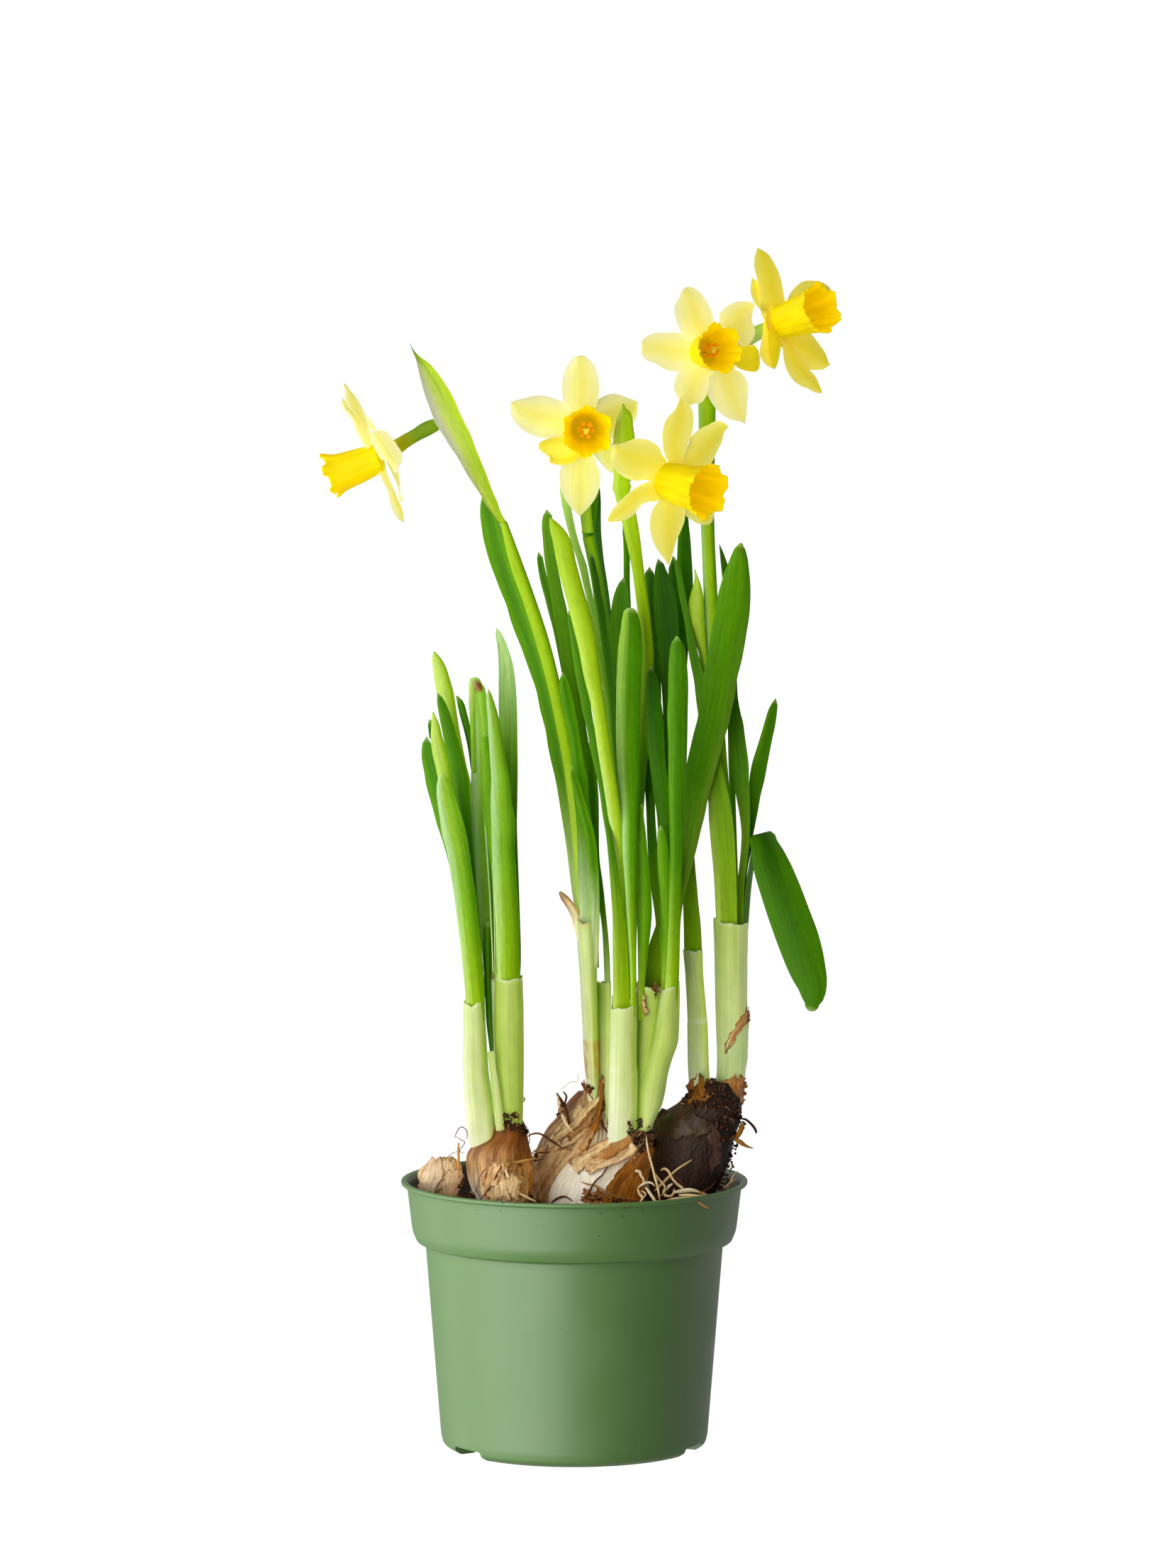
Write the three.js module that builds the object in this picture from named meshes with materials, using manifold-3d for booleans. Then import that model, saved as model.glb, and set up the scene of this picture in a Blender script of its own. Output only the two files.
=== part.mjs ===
// Potted miniature daffodil (tete-a-tete type) in a 12 cm plastic grower's pot.
// Millimetres, +Z up, origin on the pot's axis at the level it stands on.
import * as THREE from 'three';
import Module from 'manifold-3d';
import { mergeVertices } from 'three/addons/utils/BufferGeometryUtils.js';

const wasm = await Module();
wasm.setup();

// ---------------------------------------------------------------- driving dimensions
const POT_HEIGHT = 93;          // foot to rim
const RIM_RADIUS = 60;          // outside of the rolled lip
const RIM_INNER_RADIUS = 58.1;
const LIP_THICKNESS = 1.4;
const BAND_TOP_RADIUS = 58;     // band below the lip
const BAND_LOW_RADIUS = 56.1;
const BAND_BOTTOM_Z = 71.5;
const BODY_TOP_RADIUS = 51.6;
const BODY_LOW_RADIUS = 46.3;
const FOOT_RADIUS = 43.2;       // outer edge of the standing ring
const FOOT_INNER_RADIUS = 37.6;
const FLOOR_Z = 4.6;            // inside floor of the pot
const WALL = 1.5;
const NOTCH_HEIGHT = 4;         // gaps between the three feet
const NOTCH_WIDTH_DEG = 19.5;
const NOTCH_ANGLES_DEG = [-54, 66, 186];   // from the front, towards +X
const SOIL_TOP_Z = 84.5;
const LEAF_THICKNESS = 1.3;
const TEPAL_THICKNESS = 0.75;
const SPATHE_THICKNESS = 0.9;
const CORONA_WALL = 0.8;
const CLEARANCE = 0.32;         // gap kept between neighbouring pieces
const POT_SEGMENTS = 42;
const CORONA_SIDES = 18;        // three to each of the six scallops

// ---------------------------------------------------------------- shape tables
// Leaves, spathes and tepals: one row per station from the tip down:
//   x, y, z of the midline, half-width vector x, y, z, depth of the channel.
// Stems: x, y, z, radius.  Sheaths and bulbs: centre x, centre y, z, half-width x, half-width y.
const LEAVES = {
  leaf_left_1: [[-45.12,-26.38,236.11,0.25,0,0,0],[-44.64,-26.38,233.93,1.93,-0.27,0,0.52],[-44.34,-26.16,231.49,2.6,-0.36,0,0.69],[-42.53,-25.34,222.53,3.6,-0.48,0,0.8],[-40.58,-24.51,213.55,4,-0.51,0,0.8],[-38.94,-23.67,204.57,3.79,-0.46,0,0.8],[-37.53,-22.79,195.56,3.75,-0.44,0,0.8],[-35.55,-20.97,177.51,3.55,-0.37,0,0.8],[-34.04,-19.06,159.39,3.31,-0.31,0,0.8],[-33.79,-18.08,150.31,2.92,-0.26,0,0.78]],
  leaf_left_2: [[-46.7,-18.16,263.12,0.25,0,0,0],[-45.98,-18.16,261.18,0.97,-0.24,0,0.26],[-44.89,-18.1,257.54,1.69,-0.42,0,0.45],[-41.96,-17.87,245.65,2.41,-0.56,0,0.64],[-39.24,-17.61,233.74,2.79,-0.62,0,0.74],[-37.95,-17.34,221.82,2.62,-0.55,0,0.7],[-36.96,-17.05,209.89,2.44,-0.49,0,0.65],[-33.26,-15.49,161.97,2.43,-0.37,0,0.65],[-33.11,-15.04,149.95,1.95,-0.27,0,0.52]],
  leaf_left_3: [[-50.85,2.16,246.51,0.25,0,0,0],[-50.98,2.16,245.04,1.1,-0.51,0,-0.18],[-50.43,1.94,241.38,2.26,-1.04,0,-0.38],[-49.88,1.79,238.94,2.69,-1.22,0,-0.45],[-47.31,1.17,228.91,3.24,-1.4,0,-0.5],[-44.82,0.54,218.88,3.1,-1.27,0,-0.5],[-42.11,-0.1,208.85,2.65,-1.03,0,-0.44],[-40.08,-0.77,198.82,2.3,-0.85,0,-0.38],[-37.19,-2.18,178.76,1.96,-0.64,0,-0.33],[-34.78,-3.71,158.71,1.96,-0.56,0,-0.33],[-34.38,-4.53,148.69,1.83,-0.49,0,-0.31]],
  leaf_left_4: [[-34.64,-15.05,268.01,0.25,0,0,0],[-34.34,-15.05,267.04,1.39,-0.56,0,-0.42],[-33.25,-15.02,264.6,2.73,-1.09,0,-0.82],[-32.89,-14.98,262.17,3.09,-1.22,0,-0.9],[-31.84,-14.8,250.14,3.46,-1.27,0,-0.9],[-31.24,-14.61,238.09,3.93,-1.35,0,-0.9],[-31.04,-14.43,226.03,4.23,-1.35,0,-0.9],[-30.66,-14.23,213.96,4.21,-1.24,0,-0.9],[-29.23,-13.83,189.78,3.9,-0.96,0,-0.9],[-27.36,-13.45,165.55,3.15,-0.63,0,-0.9],[-24.73,-13.27,153.41,1.83,-0.32,0,-0.55]],
  leaf_left_5: [[-29.13,-27.33,264.98,0.25,0,0,0],[-29.04,-27.33,263.77,0.63,0.07,0,0.21],[-28.06,-26.99,258.18,1.57,0.16,0,0.52],[-25.26,-25.32,235.19,3.04,0.29,0,1],[-24.57,-24.44,223.66,3.84,0.35,0,1],[-24.07,-23.5,212.11,4.04,0.36,0,1],[-22.67,-20.41,177.31,4.06,0.31,0,1],[-22.51,-19.3,165.66,3.91,0.29,0,1],[-22.24,-18.19,153.99,3.28,0.23,0,1]],
  leaf_left_6: [[-30.45,-21.22,250.01,0.25,0,0,0],[-30.33,-21.22,248.07,1.21,-0.11,0,0.28],[-29.3,-20.61,235.48,1.91,-0.14,0,0.44],[-28.68,-20.12,225.31,2.22,-0.15,0,0.52],[-27.41,-19.07,204.94,2.45,-0.12,0,0.57],[-26.34,-17.94,184.5,2.55,-0.07,0,0.59],[-25.63,-17.35,174.27,2.41,-0.05,0,0.56],[-23.6,-16.12,153.75,1.7,0,0,0.4]],
  leaf_left_7: [[-26.72,-7.92,284.57,0.25,0,0,0],[-26.42,-7.92,283.59,0.67,0.17,0,-0.18],[-24.78,-8.01,278.73,1.7,0.42,0,-0.45],[-23.09,-8.28,264.81,2.92,0.7,0,-0.78],[-22.67,-8.55,250.88,3.1,0.71,0,-0.8],[-22.19,-9.46,209.04,2.68,0.56,0,-0.71],[-21.12,-10.1,181.1,2.49,0.48,0,-0.66],[-20.98,-10.42,167.11,2.44,0.45,0,-0.65],[-21.23,-10.72,153.11,1.95,0.34,0,-0.52]],
  leaf_middle_1: [[-30.18,-8.08,331.21,0.25,0,0,0],[-30.25,-8.08,329.76,1.15,-0.31,0,-0.38],[-29.95,-8.01,327.33,2.06,-0.55,0,-0.69],[-29.53,-7.93,324.9,2.61,-0.69,0,-0.87],[-25.23,-7.36,307.47,3.51,-0.89,0,-1],[-19.3,-6.76,290.01,3.02,-0.74,0,-1],[-13.6,-6.09,272.52,2.52,-0.59,0,-0.84],[-8.83,-5.31,254.98,2.38,-0.54,0,-0.79],[-5.28,-4.47,237.41,2.23,-0.48,0,-0.74],[-2.53,-3.55,219.79,1.82,-0.37,0,-0.61],[1.9,-1.46,184.42,1.33,-0.25,0,-0.44],[3.52,-0.36,166.67,1.1,-0.19,0,-0.37]],
  leaf_middle_2: [[-12.37,8.01,309.79,0.25,0,0,0],[-11.94,8.01,308.33,0.92,-0.33,0,-0.18],[-11.33,7.96,304.66,1.16,-0.41,0,-0.23],[-7.29,7.73,289.31,1.6,-0.52,0,-0.32],[-3.8,7.5,273.94,1.59,-0.47,0,-0.32],[-1.32,7.27,258.56,1.59,-0.42,0,-0.32],[0.55,7.04,243.16,1.53,-0.36,0,-0.31],[2.18,6.8,227.75,1.45,-0.3,0,-0.29],[4.3,6.24,196.9,1.24,-0.18,0,-0.25],[5.14,5.82,181.47,1.1,-0.13,0,-0.22],[5.72,5.36,166.03,1.1,-0.1,0,-0.22]],
  leaf_middle_3: [[-9.5,-0.34,324.82,0.25,0,0,0],[-9.13,-0.34,323.36,1.34,-0.36,0,-0.31],[-9.32,-0.21,319.7,1.77,-0.47,0,-0.41],[-7.23,0.41,302.75,2.07,-0.5,0,-0.48],[-4.21,1.11,285.76,2.44,-0.55,0,-0.57],[-1.38,1.92,268.73,2.16,-0.44,0,-0.5],[2.08,2.79,251.66,1.71,-0.31,0,-0.4],[4.34,3.46,234.58,1.77,-0.29,0,-0.41],[5.52,3.75,217.5,1.58,-0.23,0,-0.37],[6.34,3.73,200.43,1.41,-0.18,0,-0.33],[7.02,3.39,183.37,1.24,-0.13,0,-0.29],[7.31,2.92,166.3,1.23,-0.11,0,-0.29]],
  leaf_middle_4: [[-3.99,-14.16,269.77,0.25,0,0,0],[-3.87,-14.16,268.19,0.97,0.17,0,0.23],[-3.26,-13.92,264.53,1.82,0.31,0,0.42],[-1.12,-13.2,253.8,2.04,0.33,0,0.48],[0.76,-12.48,243.06,1.98,0.31,0,0.46],[1.98,-11.72,232.3,2.67,0.38,0,0.62],[2.99,-10.96,221.53,2.5,0.34,0,0.58],[3.78,-10.16,210.74,2.77,0.35,0,0.65],[4.32,-9.35,199.93,2.98,0.35,0,0.7],[4.75,-8.53,189.1,2.96,0.32,0,0.69],[5.59,-6.9,167.4,2.2,0.19,0,0.51]],
  leaf_middle_5: [[5.11,0.48,244.44,0.25,0,0,0],[5.9,0.58,236.59,1.28,0.34,0,-0.26],[6.48,0.77,227.45,1.75,0.44,0,-0.35],[6.76,0.91,218.3,1.72,0.42,0,-0.34],[7.07,1.04,209.15,1.44,0.34,0,-0.29],[8.06,1.17,199.99,1.16,0.26,0,-0.23],[10.33,1.54,181.64,0.98,0.2,0,-0.2],[11.05,1.73,172.46,1.04,0.2,0,-0.21],[11.48,2.07,154.07,0.98,0.17,0,-0.2]],
  leaf_middle_6: [[-0.71,-18.42,238.13,0.25,0,0,0],[-0.4,-18.42,235.46,0.9,0.13,0,0.21],[0.45,-18.04,232.51,1.26,0.17,0,0.29],[4.4,-16.19,218.18,1.59,0.2,0,0.37],[5.84,-15.26,210.99,1.75,0.21,0,0.41],[6.63,-14.31,203.8,1.59,0.18,0,0.37],[7.12,-13.34,196.6,1.49,0.16,0,0.35],[7.29,-12.36,189.38,1.46,0.15,0,0.34],[7.01,-10.35,174.92,1.42,0.13,0,0.33],[6.81,-9.34,167.67,1.22,0.11,0,0.28]],
  leaf_back_1: [[-4.62,-2.38,335.36,0.25,0,0,0],[-4.07,-2.38,331.96,0.91,1.09,0,-0.15],[-3.34,-2.41,329.53,1.4,1.65,0,-0.23],[1.63,-2.69,309.54,1.23,1.37,0,-0.2],[6.44,-3.18,289.53,1.22,1.28,0,-0.2],[10.02,-3.91,269.53,1.26,1.25,0,-0.21],[12.87,-4.4,249.49,1.22,1.14,0,-0.2],[14.66,-3.48,229.3,1.1,0.97,0,-0.18],[15.88,-1.6,208.99,1.1,0.92,0,-0.18],[16.55,0.38,188.6,1.1,0.87,0,-0.18],[16.96,2.25,168.16,1.03,0.77,0,-0.17],[17.13,4.14,147.65,0.98,0.69,0,-0.16]],
  leaf_front_1: [[-1.92,-13.75,290.99,0.25,0,0,0],[-1.62,-13.75,288.8,0.67,-0.24,0,0.18],[-0.59,-13.85,283.95,1.09,-0.39,0,0.29],[2.04,-14.21,269.27,1.76,-0.59,0,0.47],[4.76,-14.82,254.6,1.52,-0.48,0,0.41],[7.65,-15.93,239.96,1.32,-0.39,0,0.35],[10.15,-17.88,225.39,1.02,-0.28,0,0.27],[12.44,-20.07,210.85,1.21,-0.31,0,0.32],[14.27,-20.24,196.12,1.84,-0.43,0,0.49],[15.38,-19.17,181.25,2.33,-0.5,0,0.62],[15.92,-17.82,166.31,2.73,-0.53,0,0.73],[16.17,-16.76,151.38,2.8,-0.49,0,0.75]],
  leaf_front_2: [[19.53,-23.84,292.42,0.25,0,0,0],[19.39,-23.84,291.81,1.51,0.13,0,0.55],[19.36,-23.38,286.95,3.19,0.29,0,1.1],[18.99,-21.98,271.95,4.33,0.46,0,1.1],[18.45,-20.66,256.92,4.11,0.49,0,1.1],[18.51,-19.64,241.87,3.93,0.52,0,1.1],[18.95,-19.33,226.86,3.27,0.47,0,1.1],[19.21,-19.93,211.92,2.68,0.42,0,0.98],[19.41,-20.42,196.95,1.94,0.33,0,0.71],[19.79,-20.51,181.93,1.39,0.26,0,0.51],[20.18,-20.04,166.83,1.09,0.22,0,0.4],[20.23,-18.94,151.64,0.91,0.19,0,0.33]],
  leaf_back_2: [[17.02,-3.97,301.74,0.25,0,0,0],[16.86,-3.97,300.41,1.06,-0.22,0,-0.32],[16.54,-3.82,297.96,1.95,-0.4,0,-0.58],[16.21,-3.68,295.52,2.52,-0.51,0,-0.76],[16.51,-2.74,279.21,3.49,-0.59,0,-0.9],[17.29,-1.85,262.87,2.93,-0.4,0,-0.88],[17.83,-0.58,230.15,2.42,-0.17,0,-0.73],[18.09,0.63,213.69,2.18,-0.09,0,-0.65],[18.09,3.64,180.6,1.71,0.04,0,-0.51],[17.88,6.55,147.36,1.47,0.13,0,-0.44]],
  leaf_back_3: [[16.87,14.09,320.77,0.25,0,0,0],[17.34,14.09,317.83,0.75,0.63,0,-0.1],[17.82,14.08,314.15,1,0.84,0,-0.13],[18.93,13.72,258.51,1.33,0.99,0,-0.18],[19.22,13.63,239.91,1.27,0.91,0,-0.17],[19.37,13.77,221.27,1.23,0.84,0,-0.16],[19.36,14.31,202.56,1.21,0.8,0,-0.16],[19.29,15.36,183.77,1.12,0.71,0,-0.15],[19.19,18.5,145.93,0.99,0.57,0,-0.13]],
  leaf_back_4: [[5.83,-16.23,310.87,0.25,0,0,0],[6.07,-16.23,309.53,0.73,-0.19,0,-0.15],[6.59,-15.79,305.88,1.05,-0.28,0,-0.21],[9.47,-13.7,288.53,1.3,-0.3,0,-0.26],[11.98,-11.56,271.12,1.32,-0.27,0,-0.26],[13.98,-9.38,253.65,1.32,-0.23,0,-0.26],[15.29,-7.23,236.14,1.24,-0.18,0,-0.25],[16.06,-5.21,218.58,1.15,-0.13,0,-0.23],[17.07,-1.63,183.34,0.98,-0.06,0,-0.2],[17.24,1.61,147.95,0.86,0,0,-0.17]],
  leaf_back_5: [[7.8,13.89,336.69,0.25,0,0,0],[7.62,13.92,328.86,1.53,-0.88,0,-0.26],[8.79,14.18,308.7,1.27,-0.7,0,-0.21],[11.53,14.48,288.51,1.29,-0.67,0,-0.21],[13.8,14.85,268.27,1.41,-0.7,0,-0.23],[15.64,15.34,247.99,1.44,-0.69,0,-0.24],[16.86,15.93,227.66,1.34,-0.61,0,-0.22],[17.38,16.63,207.29,1.24,-0.53,0,-0.21],[17.34,17.63,186.84,1.14,-0.46,0,-0.19],[17.33,19.11,166.29,1.11,-0.43,0,-0.19],[17.35,20.89,145.65,1.11,-0.4,0,-0.19]],
  leaf_centre_5: [[25.9,1.79,304.98,0.25,0,0,0],[25.78,1.79,303.76,1.27,-0.22,0,-0.25],[26.1,1.89,301.31,1.68,-0.29,0,-0.34],[26.93,2.63,281.32,1.81,-0.3,0,-0.36],[26.98,3.26,264.97,2.94,-0.45,0,-0.59],[26.4,3.81,248.59,3.2,-0.46,0,-0.6],[26.16,3.97,232.22,2.02,-0.27,0,-0.4],[26.68,3.25,215.91,1.65,-0.21,0,-0.33],[27.72,1.93,199.65,1.71,-0.2,0,-0.34],[29.6,0.42,183.4,1.6,-0.17,0,-0.32],[30.07,-0.98,167.15,1.71,-0.17,0,-0.34],[29.58,-2.2,150.87,1.71,-0.15,0,-0.34]],
  leaf_centre_4: [[28.7,-3.53,308.05,0.25,0,0,0],[29.35,-3.53,306.47,1.29,-0.27,0,-0.43],[29.85,-3.62,302.82,2.37,-0.49,0,-0.79],[30.37,-3.69,300.39,2.96,-0.59,0,-0.99],[32.13,-4.17,283.36,3.91,-0.66,0,-1],[33.01,-4.81,266.34,3.2,-0.43,0,-1],[33.21,-5.66,249.31,2.75,-0.28,0,-0.92],[32.86,-7.74,215.27,2.59,-0.1,0,-0.86],[32.45,-8.12,198.18,2.53,-0.02,0,-0.84],[30.96,-7.7,180.98,3.17,0.08,0,-1],[27.96,-6.88,163.71,4.94,0.27,0,-1],[26.13,-5.65,146.36,3.67,0.32,0,-1]],
  leaf_centre_1: [[26.12,-14.08,271.95,0.25,0,0,0],[26.18,-14.08,270.61,0.86,-0.09,0,0.26],[26.59,-13.97,266.96,2.01,-0.21,0,0.6],[27.44,-13.51,252.07,3.15,-0.32,0,0.9],[28.42,-13.12,239.6,2.84,-0.29,0,0.85],[29.96,-12.7,227.1,2.64,-0.26,0,0.79],[30.81,-12.26,214.59,2.19,-0.21,0,0.66],[31.08,-11.77,202.06,2.07,-0.2,0,0.62],[31.22,-11.22,189.51,2.07,-0.19,0,0.62],[31.32,-9.86,164.32,1.85,-0.17,0,0.56],[30.97,-9.1,151.69,1.71,-0.15,0,0.51]],
  leaf_centre_2: [[29.57,-20.16,217.73,0.25,0,0,0],[29.57,-20.16,216.4,0.97,-0.08,0,0.23],[30.12,-19.55,211.47,1.75,-0.15,0,0.41],[30.52,-18.74,204.9,2.04,-0.18,0,0.48],[30.94,-17.94,198.33,1.97,-0.17,0,0.46],[31.5,-16.3,185.15,1.5,-0.13,0,0.35],[31.43,-15.48,178.54,1.32,-0.12,0,0.31],[31.21,-13.8,165.31,1.22,-0.11,0,0.28],[30.33,-12.09,152.05,1.34,-0.12,0,0.31]],
  leaf_front_3: [[23.15,-16.33,225.06,0.25,0,0,0],[23.12,-16.33,224.09,0.55,-0.05,0,0.11],[22.91,-16.4,220.93,0.87,-0.08,0,0.17],[23.53,-16.83,205.26,1.94,-0.17,0,0.39],[23.79,-16.93,197.41,2.37,-0.21,0,0.47],[23.97,-16.91,189.55,2.53,-0.22,0,0.51],[23.92,-16.78,181.67,2.29,-0.2,0,0.46],[23.18,-16.22,165.86,1.27,-0.11,0,0.25],[22.93,-15.42,149.99,0.91,-0.08,0,0.18]],
  leaf_centre_3: [[35.07,-27.34,282.97,0.25,0,0,0],[35.04,-27.34,282.36,1.02,0.14,0,0.34],[35.1,-27.16,279.94,2.24,0.31,0,0.75],[35.31,-26.98,277.51,2.74,0.38,0,0.91],[35.49,-25.96,263.75,3.42,0.46,0,1],[35.25,-23.77,236.14,3,0.38,0,1],[35.03,-22.56,222.28,2.48,0.31,0,0.83],[34.93,-21.25,208.39,2.18,0.26,0,0.73],[34.26,-18.3,180.48,2.08,0.23,0,0.69],[33.76,-16.71,166.46,2.25,0.25,0,0.75],[32.73,-15.08,152.4,2.31,0.24,0,0.77]],
  leaf_right_1: [[37.58,7.24,327.18,0.25,0,0,0],[37.71,7.24,325.23,0.61,0.13,0,-0.18],[37.85,7.06,323.04,1.25,0.26,0,-0.37],[37.77,6.76,319.38,1.65,0.34,0,-0.49],[37.87,5.43,302.21,2.85,0.55,0,-0.86],[36.95,4.41,285.02,2.55,0.46,0,-0.77],[36.01,3.68,267.79,2.32,0.39,0,-0.7],[36.14,2.92,250.57,2.24,0.34,0,-0.67],[36.74,2.11,233.33,2.03,0.28,0,-0.61],[38.26,1.53,216.06,2.12,0.27,0,-0.64],[39.56,1.11,198.77,2.37,0.27,0,-0.71],[40.66,0.66,181.46,2.94,0.3,0,-0.88],[41.45,0.14,164.15,2.79,0.24,0,-0.84]],
  leaf_centre_6: [[34.08,8.51,308.55,0.25,0,0,0],[34.14,8.44,304.64,1.53,-0.21,0,-0.31],[34.39,8.36,302.68,1.89,-0.26,0,-0.38],[36.68,7.6,285.8,2.29,-0.28,0,-0.46],[36.93,6.65,268.93,1.98,-0.21,0,-0.4],[36.32,5.78,252.04,2.08,-0.19,0,-0.42],[35.32,5,235.14,2.08,-0.16,0,-0.42],[34.64,4.06,218.24,2.02,-0.12,0,-0.4],[34.16,2.99,201.35,1.93,-0.09,0,-0.39],[33.72,1.04,167.53,1.84,-0.03,0,-0.37],[32.67,0,150.61,1.84,0,0,-0.37]],
  leaf_centre_7: [[57.03,-16.7,314.2,0.25,0,0,0],[56.77,-16.7,313.19,1.28,0.32,0,0.38],[56.51,-16.54,310.76,2.39,0.6,0,0.72],[56.33,-16.38,308.33,3.14,0.79,0,0.9],[54.23,-15.21,291.04,5.93,1.57,0,0.9],[51.37,-13.86,273.7,5.96,1.65,0,0.9],[48.34,-12.21,256.3,5.62,1.62,0,0.9],[44.22,-10.22,238.82,5.29,1.59,0,0.9],[40.99,-8.04,221.27,4.27,1.34,0,0.9],[38.27,-6.23,203.71,2.68,0.87,0,0.8],[35.69,-5.34,186.18,1.38,0.47,0,0.41],[34.84,-5.01,168.69,1.34,0.47,0,0.4],[33.46,-5.1,151.22,1.47,0.53,0,0.44]],
  leaf_right_5: [[50.14,14.09,312.19,0.25,0,0,0],[50.61,14.09,310.48,0.44,0.21,0,-0.07],[51.97,13.94,304.35,1.3,0.59,0,-0.22],[53.72,13.6,289.92,1.69,0.71,0,-0.28],[54.06,13.24,275.48,1.53,0.59,0,-0.25],[54.56,12,232.1,1.11,0.33,0,-0.19],[56.07,10.53,188.66,0.98,0.2,0,-0.16],[56.36,10.02,174.16,0.98,0.17,0,-0.16]],
  leaf_right_2: [[34.16,-3.82,308.92,0.25,0,0,0],[35.44,-3.82,305.27,0.91,-0.43,0,-0.24],[38.89,-4.64,286.64,0.98,-0.42,0,-0.26],[44.44,-4.53,258.99,2.37,-0.88,0,-0.63],[48.79,-4.31,231.28,3.33,-1.05,0,-0.8],[50.63,-4.08,217.39,4.06,-1.18,0,-0.8],[51.74,-3.78,203.47,3.95,-1.04,0,-0.8],[52.41,-3.46,189.54,3.74,-0.89,0,-0.8],[52.89,-3.14,175.58,3.3,-0.7,0,-0.8]],
  leaf_right_3: [[54.02,6.45,271.69,0.25,0,0,0],[54.03,6.45,268.02,1.71,-0.3,0,-0.51],[54.03,6.29,265.58,2.2,-0.38,0,-0.66],[54.08,6.14,263.13,2.25,-0.38,0,-0.68],[55.1,5.5,253.37,2.53,-0.37,0,-0.76],[56.42,4.85,243.61,2.87,-0.37,0,-0.86],[57.43,4.17,233.84,2.9,-0.32,0,-0.87],[58.4,3.45,224.08,2.19,-0.2,0,-0.66],[59.09,2.7,214.32,1.5,-0.11,0,-0.45],[58.55,1.95,204.56,1.32,-0.07,0,-0.4],[57.48,1.25,194.8,1.22,-0.04,0,-0.37],[57,0.25,175.22,1.22,0,0,-0.37]],
  leaf_right_4: [[69.6,9.84,259.12,0.25,0,0,0],[69.41,9.84,257.96,0.83,0.3,0,-0.22],[68.68,9.71,255.52,1.49,0.54,0,-0.4],[68.1,9.58,253.07,1.78,0.64,0,-0.47],[63.84,8.68,235.66,2.67,0.9,0,-0.71],[62.47,8.24,226.95,2.17,0.71,0,-0.58],[61.57,7.84,218.23,1.45,0.46,0,-0.39],[60.51,7.46,209.51,1.02,0.31,0,-0.27],[59.2,7.14,200.78,0.87,0.26,0,-0.23],[58.22,6.88,192.05,0.95,0.27,0,-0.25],[57.91,6.67,183.3,0.98,0.27,0,-0.26],[57.88,6.49,174.55,0.98,0.26,0,-0.26]],
  leaf_right_bent: [[80.82,-21.5,154.02,0.3,0,0.1,0],[81.54,-21.5,157.07,2.9,-0.2,0.7,-0.3],[81.53,-21.2,162.65,4.9,-0.3,1.2,-0.6],[79.85,-20.2,168.4,6.1,-0.3,1.5,-0.8],[77.22,-18.2,176.84,6.9,-0.2,1.7,-0.9],[73.65,-15.2,186.66,6.9,0,1.75,-0.9],[70.32,-11.6,196.07,6.6,0.3,1.8,-0.9],[67.6,-8.2,203.57,6,0.8,1.7,-0.8],[65.98,-4.6,209.35,4.7,2.2,1,-0.6],[64.6,-1,212.69,3.2,3.7,0.6,-0.4],[62.98,2.4,210.42,1.6,4.6,0.2,-0.3],[61.55,3.6,203.42,1.1,4.6,0,-0.3],[60.12,4.2,194.5,1,4.3,0,-0.3],[59.42,4.8,184.59,1,3.7,0,-0.3],[58.84,5.6,174.64,1,2.8,0,-0.2]],
};
const SPATHES = {
  spathe_1: [[-56.1,-12.32,381.88,0.17,0.06,0,-0.13],[-53.45,-13.12,376.59,0.81,0.28,0,-0.61],[-50.61,-13.73,372.26,2.93,1.03,0,-2.2],[-49.07,-14.1,369.37,3.56,1.25,0,-2.6],[-44.41,-14.99,360.23,4.71,1.65,0,-2.6],[-40.76,-15.3,353,4.43,1.55,0,-2.6],[-36.46,-15.21,345.51,3.26,1.14,0,-2.45],[-31.81,-14.55,336.43,2.7,0.94,0,-2.02],[-25.52,-13.05,324.64,1.33,0.47,0,-1],[-23.9,-12.32,319.76,1.15,0.4,0,-0.86]],
  spathe_2: [[6.33,12.58,343.59,0.3,0,0,0.11],[6.08,11.88,340.68,1.5,0,0,0.54],[5.6,9.88,335.13,3,0,0,0.9],[5.11,7.68,328.63,3.2,0,0,0.9],[4.86,5.48,321.88,2.7,0,0,0.9],[4.86,3.78,314.15,1.7,0,0,0.61]],
  spathe_4: [[42.4,8.26,389.53,0.3,0,0,0.11],[42.63,7.36,386.38,1.5,0,0,0.54],[43.09,5.16,380.83,3,0,0,0.9],[43.78,2.16,374.33,3.2,0,0,0.9],[44.7,-1.24,367.13,2.7,0,0,0.9],[45.47,-3.64,359.43,1.7,0,0,0.61]],
};
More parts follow.
